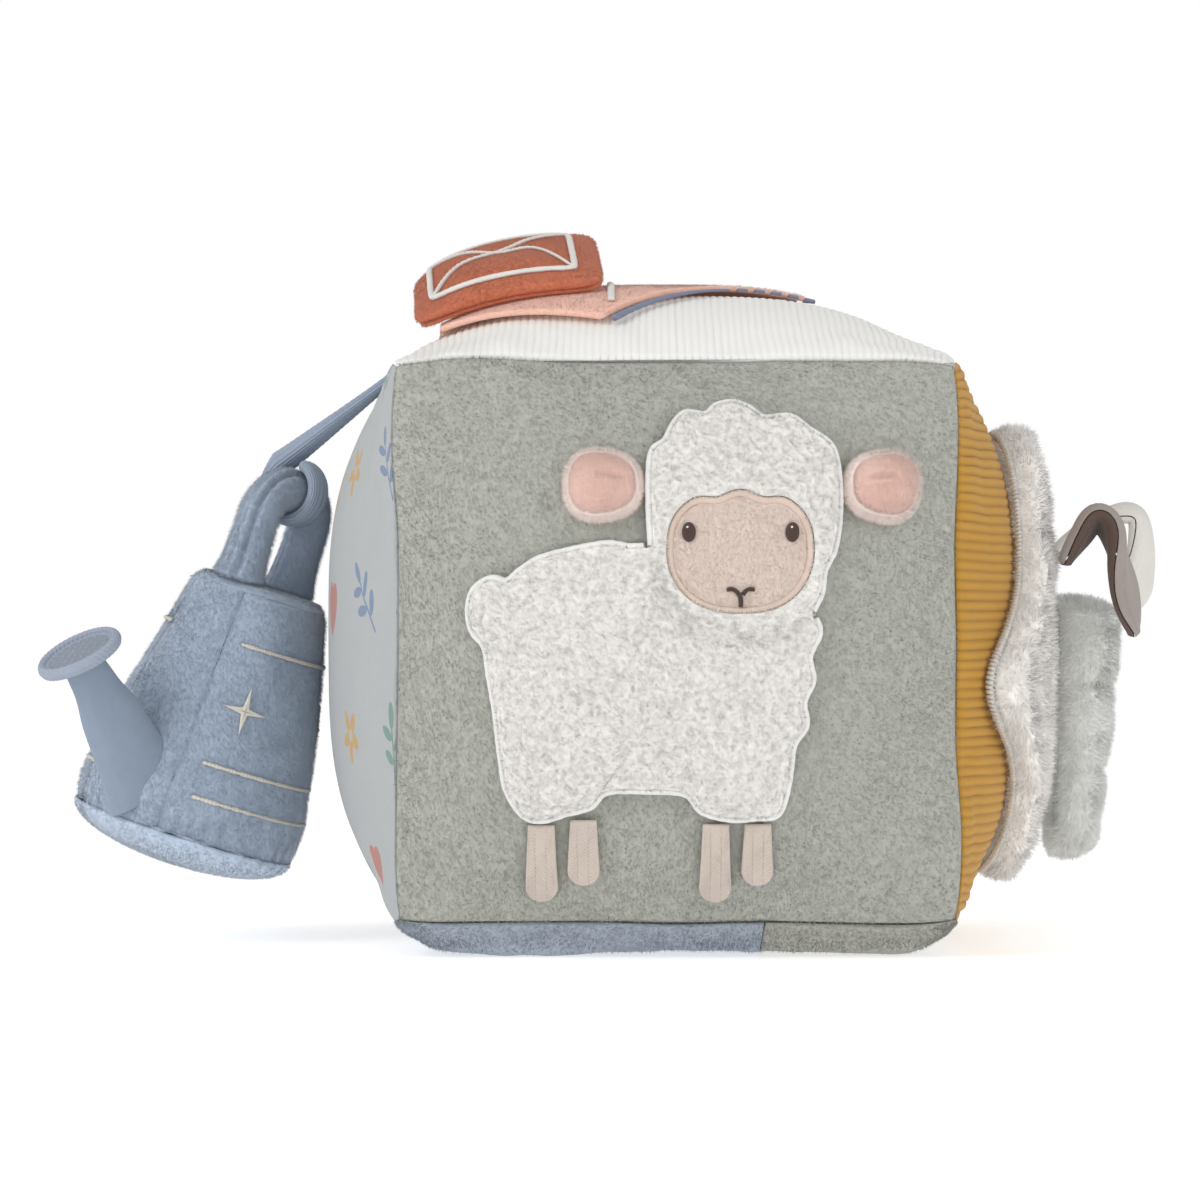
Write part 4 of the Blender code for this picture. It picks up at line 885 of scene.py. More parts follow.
class Grower:
    """Stands fibres on a mesh."""

    scatter = 0.6
    least_rise, mended_rise = 0.25, 0.35
    length_shares = (0.7, 1.15)
    taper_share = 0.45
    turn_spread, shade_spread, shade_lean = 0.12, 0.16, 0.25
    map_jog = 0.0004
    # Pile height at a fibre's root, which paints shade along each fibre.
    root_height = 0.6

    def __init__(self, mesh: bpy.types.Mesh, seed: int) -> None:
        """Read the mesh into arrays.

        Args:
            mesh: The cloth.
            seed: Picks the fibres' places.
        """
        self.mesh, self.random = mesh, np.random.default_rng(seed)
        self.points = self.read(mesh.vertices, "co", 3)
        self.normals = self.read(mesh.vertex_normals, "vector", 3)
        mesh.calc_loop_triangles()
        self.corners = self.read(mesh.loop_triangles, "vertices", 3, np.int32)
        self.loops = self.read(mesh.loop_triangles, "loops", 3, np.int32)
        self.flat = self.read(mesh.uv_layers[BAKE_MAP].uv, "vector", 2)

    @staticmethod
    def read(source: bpy.types.bpy_prop_collection, key: str, wide: int, kind: type = np.float32) -> Array:
        """One of the mesh's lists as an array.

        Args:
            source: The list.
            key: What to read of each item.
            wide: How many numbers each item holds.
            kind: The numbers' type.

        Returns:
            One row for each item.
        """
        values = np.zeros(len(source) * wide, kind)
        source.foreach_get(key, values)
        return values.reshape(-1, wide) if wide > 1 else values

    def rooted(self, pile: Pile, keep: Array) -> tuple[Array, Array, Array]:
        """Scatter the fibres' roots.

        Args:
            pile: The fibres.
            keep: Share of full density at each point.

        Returns:
            Places, surface normals and map places.
        """
        one, two, three = (self.points[self.corners[:, index]] for index in range(3))
        area = np.linalg.norm(np.cross(two - one, three - one), axis=1) * keep[self.corners].mean(1)
        pick = self.random.choice(len(area), pile.count, p=area / area.sum())
        share = self.random.random((pile.count, 2))
        share = np.where(share.sum(1, keepdims=True) > 1, 1 - share, share)
        weights = np.column_stack((1 - share.sum(1), share))[..., None]
        root = (self.points[self.corners[pick]] * weights).sum(1)
        normal = unit((self.normals[self.corners[pick]] * weights).sum(1))
        return root, normal, (self.flat[self.loops[pick]] * weights).sum(1)

    def stood(self, pile: Pile, keep: Array) -> bpy.types.Mesh:
        """Build the mesh with its fibres.

        Args:
            pile: The fibres.
            keep: Share of full density at each point.

        Returns:
            A new mesh.
        """
        root, normal, flat = self.rooted(pile, keep)
        count, lean = pile.count, np.array(pile.lean)
        swirl = np.stack([lattice(root, pile.swirl_size, axis) for axis in (1, 2, 3)], axis=-1) * pile.swirl
        way = unit(normal + lean + swirl + self.random.normal(0, pile.spread, (count, 3)) * self.scatter)
        inside = (way * normal).sum(1, keepdims=True)
        way = unit(np.where(inside < self.least_rise, way + normal * (self.mended_rise - inside), way))
        long = pile.length * self.random.uniform(*self.length_shares, (count, 1))
        aside = unit(np.cross(way, normal + self.random.normal(0, self.turn_spread, (count, 3))))
        curl = np.cross(aside, self.random.normal(size=(count, 3))) * pile.curl + lean * pile.bend
        stations = [step / (pile.joints + 1) for step in range(pile.joints + 1)]
        rings = []
        for station in stations:
            middle = root + way * long * station + curl * long * station ** 2
            half = aside * pile.width / 2 * (1 - self.taper_share * station)
            rings += [middle - half, middle + half]
        rings.append(root + way * long + curl * long)
        each = len(rings)
        new_points = np.stack(rings, axis=1).reshape(-1, 3)
        new_points[:, 2] = np.maximum(new_points[:, 2], FLOOR_ROOM)
        faces = []
        for step in range(pile.joints):
            low = 2 * step
            faces += [(low, low + 1, low + 3), (low, low + 3, low + 2)]
        faces.append((each - 3, each - 2, each - 1))
        firsts = np.arange(count)[:, None, None] * each + len(self.points)
        indices = (firsts + np.array(faces)[None]).reshape(-1)
        heights = np.tile([station for station in stations for _ in (0, 1)] + [1.0], count)
        tone = np.repeat(self.random.uniform(-1, 1, count), each)
        shade = unit(normal + self.random.normal(0, self.shade_spread, (count, 3)) + way * self.shade_lean)
        jog = self.random.uniform(-self.map_jog, self.map_jog, (count, each, 2))
        new_flat = np.clip(flat[:, None, :] + jog, 0, 1).reshape(-1, 2)
        return self.joined(new_points, indices, heights, tone, np.repeat(shade, each, axis=0), new_flat)

    def joined(
        self, points: Array, indices: Array, heights: Array, tone: Array, shade: Array, flat: Array,
    ) -> bpy.types.Mesh:
        """The mesh with the fibres' triangles added.

        Args:
            points: The fibres' points.
            indices: Their corners, three for each triangle.
            heights: Height in the pile at each point.
            tone: Lighter or darker at each point.
            shade: Shading normals.
            flat: Map places of the points.

        Returns:
            A new mesh; the old one is removed.
        """
        old = self.mesh
        base = len(self.points)
        old_loops = self.read(old.loops, "vertex_index", 1, np.int32)
        sizes = self.read(old.polygons, "loop_total", 1, np.int32)
        old_heights = self.read(old.attributes["pile_height"].data, "value", 1)
        corner = np.concatenate((old_loops, indices)).astype(np.int32)
        totals = np.concatenate((sizes, np.full(len(indices) // 3, 3))).astype(np.int32)
        made = bpy.data.meshes.new("piled_cloth")
        made.vertices.add(base + len(points))
        made.vertices.foreach_set("co", np.vstack((self.points, points)).astype(np.float32).ravel())
        made.loops.add(len(corner))
        made.loops.foreach_set("vertex_index", corner)
        made.polygons.add(len(totals))
        made.polygons.foreach_set("loop_start", (np.cumsum(totals) - totals).astype(np.int32))
        layer = made.uv_layers.new(name=BAKE_MAP, do_init=False)
        flats = np.vstack((self.flat, flat[indices - base])).astype(np.float32)
        layer.uv.foreach_set("vector", flats.ravel())
        # Painted shade: fibres darken from the tip down to the root, and the cloth beneath keeps only
        # ROOT_LIGHT of its pile height.
        lit = self.root_height + (1 - self.root_height) * heights
        values = {
            "pile_height": np.concatenate((old_heights * ROOT_LIGHT, lit)),
            "pile_tone": np.concatenate((np.zeros(base), tone)),
        }
        for name, value in values.items():
            made.attributes.new(name, "FLOAT", "POINT").data.foreach_set("value", value.astype(np.float32))
        made.update(calc_edges=True)
        made.polygons.foreach_set("use_smooth", np.ones(len(totals), bool))
        facing = np.vstack((self.normals, shade))
        made.attributes.new("nap_normal", "FLOAT_VECTOR", "POINT").data.foreach_set(
            "vector", facing.astype(np.float32).ravel())
        made.normals_split_custom_set_from_vertices(facing.astype(float).tolist())
        bpy.data.meshes.remove(old)
        return made


class Workshop:
    """Finishes pieces and puts them on the frame."""

    def __init__(self) -> None:
        """Start with no dyed cloth."""
        self.dyed_and_shaded: dict[str, bpy.types.Material] = {}
        self.made = 0

    def cloth(self, cloth: Cloths) -> bpy.types.Material:
        """The material of a finish, made once.

        Args:
            cloth: The finish.

        Returns:
            Its material.
        """
        if cloth.name not in self.dyed_and_shaded:
            self.dyed_and_shaded[cloth.name] = cloth.value.made()
        return self.dyed_and_shaded[cloth.name]

    def piece(
        self, name: str, mesh: bpy.types.Mesh, cloth: Cloths, body: str, nodes: Sequence[str] = (),
        pile: Optional[Pile] = None, keep: Optional[Callable[[Array], Array]] = None,
        stuffed: Optional[float] = None,
    ) -> bpy.types.Object:
        """Turn a mesh into a finished piece.

        Args:
            name: The piece's name.
            mesh: Its mesh, in world places.
            cloth: Its finish.
            body: The CAD body that it moves with.
            nodes: The CAD nodes that it stands for.
            pile: Fibres to stand on it.
            keep: Gives the share of full density of the fibres from the mesh's points.
            stuffed: How full a stuffed piece is; not used.

        Returns:
            The piece.
        """
        self.made += 1
        mesh.polygons.foreach_set("use_smooth", np.ones(len(mesh.polygons), bool))
        if pile is not None:
            grower = Grower(mesh, self.made)
            heights = Grower.read(mesh.attributes["pile_height"].data, "value", 1)
            weights = heights if keep is None else heights * keep(grower.points)
            mesh = grower.stood(pile, weights)
        mesh.name = name
        mesh.materials.clear()
        mesh.materials.append(self.cloth(cloth))
        item = bpy.data.objects.new(name, mesh)
        bpy.context.scene.collection.objects.link(item)
        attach(item, body)
        if nodes:
            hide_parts(*nodes)
        LOG.info("%s: %d faces on %s", name, len(mesh.polygons), body)
        return item

    def dressed(self, cloth: Cloths, *nodes: str) -> None:
        """Give CAD nodes that stay a finish.

        Args:
            cloth: The finish.
            nodes: The nodes' names.
        """
        for node in nodes:
            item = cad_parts[node]
            item.data.materials.clear()
            item.data.materials.append(self.cloth(cloth))
            LOG.info("%s: dressed with %s", node, cloth.value.name)


# Shared shapes


def rim_rise(distance: Array, radius: float) -> Array:
    """Share of the full height near a rounded rim."""
    return np.sqrt(1 - (1 - np.clip(distance / radius, 0, 1)) ** 2)


@dataclass
class Patch:
    """A cloth patch on a panel, with a rounded rim and a flat back."""

    place: Place
    outline: Array
    low: float
    thick: float
    rim: float
    inner: Optional[Array] = None
    centre: Optional[Array] = None
    relief: Callable[[Array, Array, Array], Array] = lambda x, y, edge: np.zeros_like(x)
    dome: Callable[[Array, Array], Array] = lambda x, y: np.zeros_like(x)
    rows: int = 60
    rim_start: float = 0.15
    top_share: float = 0.8

    def mesh(self) -> bpy.types.Mesh:
        """Build the patch.

        Returns:
            The mesh; its pile height is the share of the full thickness.
        """
        count = len(self.outline)
        outer = np.vstack((self.outline, self.outline[:1]))
        if self.inner is None:
            middle = self.outline.mean(0) if self.centre is None else self.centre
            start = np.repeat(middle[None], count + 1, axis=0)
        else:
            start = np.vstack((self.inner, self.inner[:1]))
        ray = outer - start
        length = np.linalg.norm(ray, axis=1)
        facing = np.vstack((normals_of(self.outline), normals_of(self.outline)[:1]))
        slant = np.abs((ray * facing).sum(1)) / np.maximum(length, 1e-9)

        def mapping(across: Array, upward: Array) -> tuple[Array, Array]:
            """Top over most of the grid, the back over the rest.

            Args:
                across: Shares round the outline.
                upward: Shares from the middle to the rim and back.

            Returns:
                Places, and 1 on the top.
            """
            column, top = np.rint(across * count).astype(int), self.top_share
            share = np.where(upward < top, upward / top, (1 - upward) / (1 - top))
            if self.inner is None:
                share = np.where(upward < top, 1 - (1 - share) ** 1.5, share)
            else:
                share = np.where(upward < top, 0.5 - 0.5 * np.cos(np.pi * share), share)
            flat = start[column] + ray[column] * share[:, None]
            edge = (1 - share) * length[column] * slant[column]
            if self.inner is not None:
                edge = np.minimum(edge, share * length[column])
            x, y = flat[:, 0], flat[:, 1]
            rise = self.rim_start + (1 - self.rim_start) * rim_rise(edge, self.rim)
            high = self.low + self.thick * rise + self.dome(x, y) * rim_rise(edge, self.rim * 3)
            high = high + self.relief(x, y, edge)
            shown = upward <= top + HAIR
            lift = np.where(shown, high, self.low)
            return self.place(x, y, lift), np.where(shown, 1.0, 0.0)

        return laid_grid(count, self.rows, mapping)


@dataclass
class Stitching:
    """A satin stitched cord over a surface: a low round ridge of threads laid across it."""

    place: Place
    path: Array
    width: float
    height: float
    lift: Union[float, Callable[[Array, Array], Array]]
    closed: bool = True
    pitch: float = 0.00055
    ridge: float = 0.00013
    widths: Optional[Array] = None
    ragged: float = 0.08
    ragged_size: float = 0.0009
    rows: int = 10

    def mesh(self) -> bpy.types.Mesh:
        """Build the cord.

        Returns:
            The mesh.
        """
        whole = np.vstack((self.path, self.path[:1])) if self.closed else self.path
        length = np.linalg.norm(np.diff(whole, axis=0), axis=1).sum()
        count = max(12, int(length / self.pitch) * 2)
        line = resampled(self.path, count, self.closed)
        sides = normals_of(line, self.closed)
        if self.closed:
            line, sides = np.vstack((line, line[:1])), np.vstack((sides, sides[:1]))
        steps = len(line) - 1
        spread = np.full(len(line), self.width)
        if self.widths is not None:
            spread = np.interp(np.linspace(0, 1, len(line)), np.linspace(0, 1, len(self.widths)), self.widths)
        rough = 1 + self.ragged * flat_noise(line[:, 0], line[:, 1], self.ragged_size, 3)
        if self.closed:
            rough[-1] = rough[0]

        def mapping(across: Array, upward: Array) -> tuple[Array, Array]:
            """Across the cord by rows, along it by columns.

            Args:
                across: Shares along the cord.
                upward: Shares round it.

            Returns:
                Places and the threads' heights.
            """
            column = np.rint(across * steps).astype(int)
            turn = upward * 2 * np.pi
            ended = np.logical_and((column == 0) | (column == steps), not self.closed)
            ridge = np.where(ended, 0.0, np.where(column % 2 == 0, 1.0, 0.0))
            over = np.maximum(0, np.sin(turn))
            half = spread[column] * rough[column] / 2 + ridge * self.ridge * 0.5
            aside = np.cos(turn) * half
            flat = line[column] + sides[column] * aside[:, None]
            base = self.lift(flat[:, 0], flat[:, 1]) if callable(self.lift) else self.lift
            high = self.height * np.minimum(1, spread[column] / self.width) * over ** 0.8
            high = np.where(ended, 0.0, high + ridge * self.ridge * over)
            # The second value paints shade between the thread ridges and on the cord's underside.
            return self.place(flat[:, 0], flat[:, 1], base + high), 0.35 + 0.65 * ridge * over

        return laid_grid(steps, self.rows, mapping)


def tube(
    middles: Array, axes: tuple[Array, Array], halves: tuple[Array, Array], columns: int, power: float,
    relief: Callable[[Array, Array], Array],
) -> bpy.types.Mesh:
    """A closed tube with round ends.

    Args:
        middles: Centres of the rings.
        axes: The two directions of each ring.
        halves: Half sizes of each ring along them.
        columns: Number of points round a ring.
        power: How square the rings are.
        relief: Adds to the radius, from the turn round the tube and the share along it.

    Returns:
        The mesh.
    """
    rows = len(middles) - 1

    def mapping(across: Array, upward: Array) -> tuple[Array, Array]:
        """Round the tube by columns, along it by rows.

        Args:
            across: Shares round it.
            upward: Shares along it.

        Returns:
            Places and pile heights.
        """
        row = np.rint(upward * rows).astype(int)
        turn = across * 2 * np.pi
        end = (row > 0) & (row < rows)
        extra = relief(np.where(across > 1 - HAIR, 0, turn), upward) * end
        place = middles[row]
        for axis, half, share in zip(axes, halves, squared_up(turn, 2 / power)):
            place = place + axis[row] * ((half[row] * end + extra * (half[row] > 0)) * share)[:, None]
        return place, np.ones(len(row))

    return laid_grid(columns, rows, mapping)


# Sub-assemblies


@dataclass
class Cover:
    """The block's panels."""

    shop: Workshop
    mesh_count: int = 110
    bottom_rows: int = 100
    top_rows: int = 64
    right_columns: int = 56
    join_x: float = 0.0226
    pucker: float = 0.0009
    pucker_reach: float = 0.0055
    pucker_sizes: tuple = (0.0065, 0.012)
    pucker_share: float = 0.6
    lump: float = 0.0007
    lump_size: float = 0.034
    sink: float = 0.0005
    sink_reach: float = 0.015
    top_ribs: int = 76
    side_ribs: int = 58
    rib_steps: int = 8
    rib_height: float = 0.00045
    rib_wander: float = 0.00012
    rib_fade: float = 0.004
    top_rib_share: float = 0.65
    outer_share: float = 0.75
    crowding: float = 0.18
    front_pile: Pile = Pile(0.0012, 64000, 0.00017, (0.25, 0, -0.45), spread=0.25, swirl=0.45)
    back_pile: Pile = Pile(0.0009, 46000, 0.00017, (-0.25, 0, -0.45), spread=0.25, swirl=0.45)
    blue_pile: Pile = Pile(0.0008, 30000, 0.00018, (0.0, -0.3, 0), swirl=0.45)
    sage_pile: Pile = Pile(0.0008, 20000, 0.00018, (0.0, -0.3, 0), swirl=0.45)

    def seam_shape(self, side: Side, x: Array, y: Array) -> Array:
        """Puckers beside the seams and slow lumps of the stuffing.

        Args:
            side: The face.
            x: Places along it.
            y: Places up it.

        Returns:
            Heights off the plain panel, nothing at the seams themselves.
        """
        places = surface(side, x, y)
        edge = np.maximum(0, HALF - SEAM_GAP - np.maximum(np.abs(x), np.abs(y)))
        near = edge / self.pucker_reach
        fold = sum(lattice(places, size, seed) for size, seed in zip(self.pucker_sizes, (2, 4)))
        pucker = near * np.exp(1 - near) * fold * self.pucker_share * self.pucker
        inside = np.minimum(1, edge / self.sink_reach)
        return pucker + (lattice(places, self.lump_size, 6) * self.lump - self.sink) * inside

    def panel(
        self, side: Side, columns: int, rows: int, relief: Callable[[Array, Array], tuple[Array, Array]],
        left: float = -HALF + SEAM_GAP, right: float = HALF - SEAM_GAP,
    ) -> bpy.types.Mesh:
        """One panel as a thin closed cloth.

        Args:
            side: The face.
            columns: Squares across.
            rows: Squares up.
            relief: Height and pile share from places across and up.
            left: Where it starts across.
            right: Where it ends across.

        Returns:
            The mesh.
        """
        def crowded(share: Array) -> Array:
            """Places from -1 to 1, nearer each other towards the seams."""
            level = 2 * share - 1
            return level * (1 + self.crowding * (1 - level ** 2))

        def mapping(across: Array, upward: Array) -> tuple[Array, Array]:
            """Outer face on most of the rows, inner face on the rest.

            Args:
                across: Shares across the panel.
                upward: Shares up its outer face and down its inner face.

            Returns:
                Places and pile heights.
            """
            outer = upward < self.outer_share + HAIR
            share = np.where(outer, upward / self.outer_share, (1 - upward) / (1 - self.outer_share))
            y = (HALF - SEAM_GAP) * crowded(share)
            x = (left + right) / 2 + (right - left) / 2 * crowded(across)
            high, pile = relief(x, y)
            lift = np.where(outer, high + self.seam_shape(side, x, y), -PANEL_THICKNESS)
            return surface(side, x, y, lift), np.where(outer, pile, 0.0)

        return closed_sides(laid_grid(columns, rows, mapping))

    def build(self, masks: "Masks") -> None:
        """Make every panel.

        Args:
            masks: Tells where no pile needs to grow.
        """
        count, rows = self.mesh_count, int(self.mesh_count / self.outer_share)

        def plain(x: Array, y: Array) -> tuple[Array, Array]:
            """No relief."""
            return np.zeros_like(x), np.ones_like(x)

        for name, side, cloth, pile, keep in (
            ("front", Side.FRONT, Cloths.SAGE, self.front_pile, masks.front),
            ("back", Side.BACK, Cloths.SAGE, self.back_pile, None),
            ("left", Side.LEFT, Cloths.PRINT, None, None),
        ):
            mesh = self.panel(side, count, rows, plain)
            self.shop.piece(f"{name}_panel", mesh, cloth, "block", [f"panel_{name}"], pile, keep)
        for name, columns, ends, cloth, pile in (
            ("blue", 80, {"right": self.join_x - SEAM_GAP}, Cloths.BLUE_BASE, self.blue_pile),
            ("sage", 50, {"left": self.join_x + SEAM_GAP}, Cloths.SAGE_BASE, self.sage_pile),
        ):
            mesh = self.panel(Side.BOTTOM, columns, self.bottom_rows, plain, **ends)
            node = f"panel_bottom_{name}"
            self.shop.piece(f"bottom_{name}_panel", mesh, cloth, "block", [node], pile, masks.bottom)

        def ribs_across(x: Array, y: Array) -> tuple[Array, Array]:
            """Ribs that run front to back on the top."""
            high, pile = self.ribs(x, self.top_ribs, y)
            return high * self.top_rib_share, pile

        def ribs_upward(x: Array, y: Array) -> tuple[Array, Array]:
            """Ribs that run front to back on the right."""
            return self.ribs(y, self.side_ribs, x)

        mesh = self.panel(Side.TOP, self.top_ribs * self.rib_steps, self.top_rows, ribs_across)
        self.shop.piece("top_panel", mesh, Cloths.WHITE_RIB, "block", ["panel_top"])
        rows = int(self.side_ribs * self.rib_steps / self.outer_share)
        mesh = self.panel(Side.RIGHT, self.right_columns, rows, ribs_upward)
        self.shop.piece("right_panel", mesh, Cloths.MUSTARD, "block", ["panel_right"])

    def ribs(self, along: Array, count: int, other: Array) -> tuple[Array, Array]:
        """Height and share of the corduroy's ribs.

        Args:
            along: Places across the ribs.
            count: Number of ribs over the panel.
            other: Places along the ribs.

        Returns:
            Heights, and 1 on a rib's back down to 0 in a groove.
        """
        wander = self.rib_wander * np.sin(other * 90) * np.sin(along * 47)
        wave = np.abs(np.sin(np.pi * count * (along + wander + HALF) / (2 * HALF)))
        rib = wave ** 0.6
        edge = np.clip((HALF - np.maximum(np.abs(along), np.abs(other))) / self.rib_fade, 0, 1)
        # The second value paints shade into the grooves: the cloth is darker down in each groove.
        return self.rib_height * (rib - 0.5) * edge, 0.15 + 0.85 * rib


@dataclass
class Sheep:
    """The sheep on the front: wool, face, legs and ears."""

    shop: Workshop
    head_shares: tuple = (
        (0.447, 0.10), (0.478, 0.165), (0.487, 0.235), (0.52, 0.305), (0.537, 0.40), (0.54, 0.51),
        (0.53, 0.61), (0.505, 0.665), (0.44, 0.71), (0.375, 0.755), (0.29, 0.75), (0.24, 0.785),
        (0.185, 0.805), (0.13, 0.795), (0.095, 0.765), (0.025, 0.77), (-0.015, 0.725), (-0.04, 0.675),
        (-0.085, 0.635), (-0.095, 0.54), (-0.093, 0.42), (-0.088, 0.318),
    )
    body_shares: tuple = (
        (-0.088, 0.318), (-0.16, 0.315), (-0.23, 0.325), (-0.33, 0.31), (-0.45, 0.28), (-0.52, 0.24),
        (-0.57, 0.20), (-0.62, 0.21), (-0.675, 0.18), (-0.70, 0.12), (-0.69, 0.04), (-0.645, -0.02),
        (-0.63, -0.11), (-0.61, -0.22), (-0.59, -0.38), (-0.57, -0.495), (-0.515, -0.58), (-0.45, -0.597),
        (-0.37, -0.573), (-0.29, -0.55), (-0.235, -0.50), (-0.10, -0.497), (0.025, -0.507),
        (0.08, -0.567), (0.175, -0.592), (0.255, -0.588), (0.33, -0.578), (0.36, -0.507), (0.375, -0.413),
        (0.385, -0.342), (0.425, -0.277), (0.418, -0.20), (0.448, -0.128), (0.437, -0.048), (0.47, 0.03),
        (0.447, 0.10),
    )
    neck_shares: tuple = (
        (-0.088, 0.318), (-0.068, 0.215), (-0.025, 0.12), (0.065, 0.045), (0.19, 0.015), (0.31, 0.022),
        (0.39, 0.055), (0.447, 0.10),
    )
    face_shares: tuple = (0.207, 0.300, 0.222, 0.183)
    chin_share: float = 0.12
    brow_depth: float = 0.0016
    brow_share: float = 0.35
    border: float = 0.0026
    border_end_share: float = 0.5
    neck_lap: float = 0.0034
    face_border: float = 0.0018
    wool: float = 0.0034
    velour: float = 0.0016
    leg_width: float = 0.0082
    leg_spacing: float = 0.0025
    leg_pairs: tuple = (-0.39, 0.20)
    leg_feet: tuple = (-0.90, -0.84)
    leg_taper: float = 0.82
    eye_place: tuple = (0.77, 0.34)
    eye_size: tuple = (0.00175, 0.0025)
    nose_drop: float = 0.85
    ear_length: float = 0.0188
    ear_width: float = 0.0178
    ear_ply: float = 0.0012
    ear_fill: float = 0.0030
    ear_level: float = 0.525
    ear_root: float = 0.84
    ear_power: float = 0.78
    ear_rim: float = 0.0018
    stitch_height: float = 0.0024
    face_stitch_height: float = 0.0019
    tuft_size: float = 0.0030
    strand_size: float = 0.0013
    warp_size: float = 0.0026
    warp: float = 0.0014
    wool_pile: Pile = Pile(0.0010, 40000, 0.00018, (0, 0, -0.06), 0.6, 0.6, 0.0014, curl=0.4, joints=1)
    face_pile: Pile = Pile(0.0005, 14000, 0.00014, (0, 0, -0.4), 0.3, 0.4)
    rim_pile: Pile = Pile(0.0015, 18000, 0.00017, (0, 0, -0.1), 0.5, 0.4)
    pink_pile: Pile = Pile(0.0012, 14000, 0.00017, (0, 0, -0.1), 0.5, 0.4)
    head: Array = field(init=False)
    body: Array = field(init=False)
    neck: Array = field(init=False)

    def __post_init__(self) -> None:
        """Draw the lines round the head and the body and along the neck."""
        self.head = smooth_curve(HALF * np.array(self.head_shares), 420)
        self.body = smooth_curve(HALF * np.array(self.body_shares), 680)
        self.neck = smooth_curve(HALF * np.array(self.neck_shares), 130)

    def on_front(self, x: Array, y: Array, lift: Array) -> Array:
        """Places on the front panel."""
        return surface(Side.FRONT, x, y, lift)

    def wool_outline(self, line: Array, neck: Array) -> Array:
        """Outline of a piece of wool.

        Args:
            line: The border's middle line.
            neck: The line along the neck, from the border's end to its start.

        Returns:
            The outline inside the border, lapped over the neck.
        """
        loop = np.vstack((line, neck[1:-1]))
        beside_border = shifted(loop, -self.border / 2 + 0.0008)
        lap = self.neck_lap * np.sin(np.pi * np.linspace(0, 1, len(neck))[1:-1]) ** 0.6
        run = slice(len(line), None)
        return np.vstack((beside_border[:len(line)], loop[run] + normals_of(loop)[run] * lap[:, None]))

    def face_outline(self) -> Array:
        """Outline of the face, with a wavy brow and a narrower chin.

        Returns:
            Flat points.
        """
        outline = superellipse(self.face_shares, 2.6, 240)
        centre_x, centre_y, half_x, half_y = (HALF * share for share in self.face_shares)
        level = (outline[:, 1] - centre_y) / half_y
        across = np.abs(outline[:, 0] - centre_x) / half_x
        dip = np.cos(np.pi / 2 * np.minimum(1, np.abs(across / self.brow_share - 1))) ** 2
        slim = 1 - self.chin_share * np.maximum(0, -level) ** 1.5
        outline[:, 0] = centre_x + (outline[:, 0] - centre_x) * slim
        outline[:, 1] -= self.brow_depth * dip * np.maximum(0, level) ** 2
        return outline

    def curls(self, x: Array, y: Array, edge: Array) -> Array:
        """Relief of the curly wool.

        Args:
            x: Places across.
            y: Places up.
            edge: Distance to the patch's edge.

        Returns:
            Heights.
        """
        shift_x, shift_y = (flat_noise(x, y, self.warp_size, seed) * self.warp for seed in (21, 22))
        lump = 1 - np.clip(cells(np.stack((x + shift_x, y + shift_y), axis=-1), self.tuft_size, 7), 0, 1)
        strand = np.stack((x + 0.3 + shift_x, y + 0.3 + shift_y, 0 * x + 0.3), axis=-1)
        curl = 1 - np.abs(lattice(strand, self.strand_size, 9))
        inside = np.clip(edge / 0.0010, 0, 1)
        return (lump * 0.0008 - 0.0005 + (curl ** 2 - 0.6) * 0.0004) * inside

    def build(self) -> None:
        """Make the wool, borders and face."""
        face_edge = self.face_border + 2 * FIT_GAP
        face = self.face_outline()
        body = resampled(self.wool_outline(self.body, self.neck[::-1]), 360)
        patch = Patch(
            self.on_front, body, SEW_GAP, self.wool - 0.0004, 0.0020, centre=np.array((-0.0090, -0.0225)),
            relief=self.curls, rows=130, rim_start=0.6,
        )
        wool = [patch.mesh()]
        centre = np.array((HALF * self.face_shares[0], HALF * self.face_shares[1]))
        outer = resampled(self.wool_outline(self.head, self.neck), 300)
        hole = shifted(face, face_edge - 2 * FIT_GAP)
        turns = np.arctan2(*(outer - centre).T[::-1])
        hole_turns = np.arctan2(*(hole - centre).T[::-1])
        order = np.argsort(hole_turns)
        reach = np.interp(
            turns, hole_turns[order], np.linalg.norm(hole - centre, axis=1)[order], period=2 * np.pi,
        )
        inner = centre + np.stack((np.cos(turns), np.sin(turns)), axis=-1) * reach[:, None]
        patch = Patch(
            self.on_front, outer, SEW_GAP, self.wool - 0.0003, 0.0016, inner=inner, relief=self.curls,
            rows=80, rim_start=0.6,
        )
        wool.append(patch.mesh())
        nodes = ["sheep_body", "sheep_head"]
        self.shop.piece("sheep_wool", gathered(wool), Cloths.TEDDY, "block", nodes, self.wool_pile)
        room = self.border * self.border_end_share + FIT_GAP
        apart = np.min(np.linalg.norm(self.body[:, None] - self.head[None], axis=-1), axis=1)
        edge = (self.border - FIT_GAP, self.stitch_height)
        face_line = shifted(face, face_edge / 2 - 0.0001)
        rim = (self.face_border + 0.0004, self.face_stitch_height)
        for name, path, size, cloth, closed in (
            ("head", self.head, edge, Cloths.CREAM_THREAD, False),
            ("body", self.body[apart > room], edge, Cloths.CREAM_THREAD, False),
            ("face", face_line, rim, Cloths.FACE_THREAD, True),
        ):
            cord = Stitching(self.on_front, path, *size, SEW_GAP, closed)
            self.shop.piece(f"sheep_{name}_edging", cord.mesh(), cloth, "block", [f"sheep_{name}_border"])
        self.build_face(face)
        self.build_legs()
        self.build_ears()

    def build_face(self, face: Array) -> None:
        """The velour face with its eyes and nose.

        Args:
            face: The face's outline.
        """
        face_x, face_y, face_w, face_h = (HALF * share for share in self.face_shares)

        def dome(x: Array, y: Array) -> Array:
            """A slight fullness."""
            out = ((x - face_x) / face_w) ** 2 + ((y - face_y) / face_h) ** 2
            return 0.0006 * np.maximum(0, 1 - out)

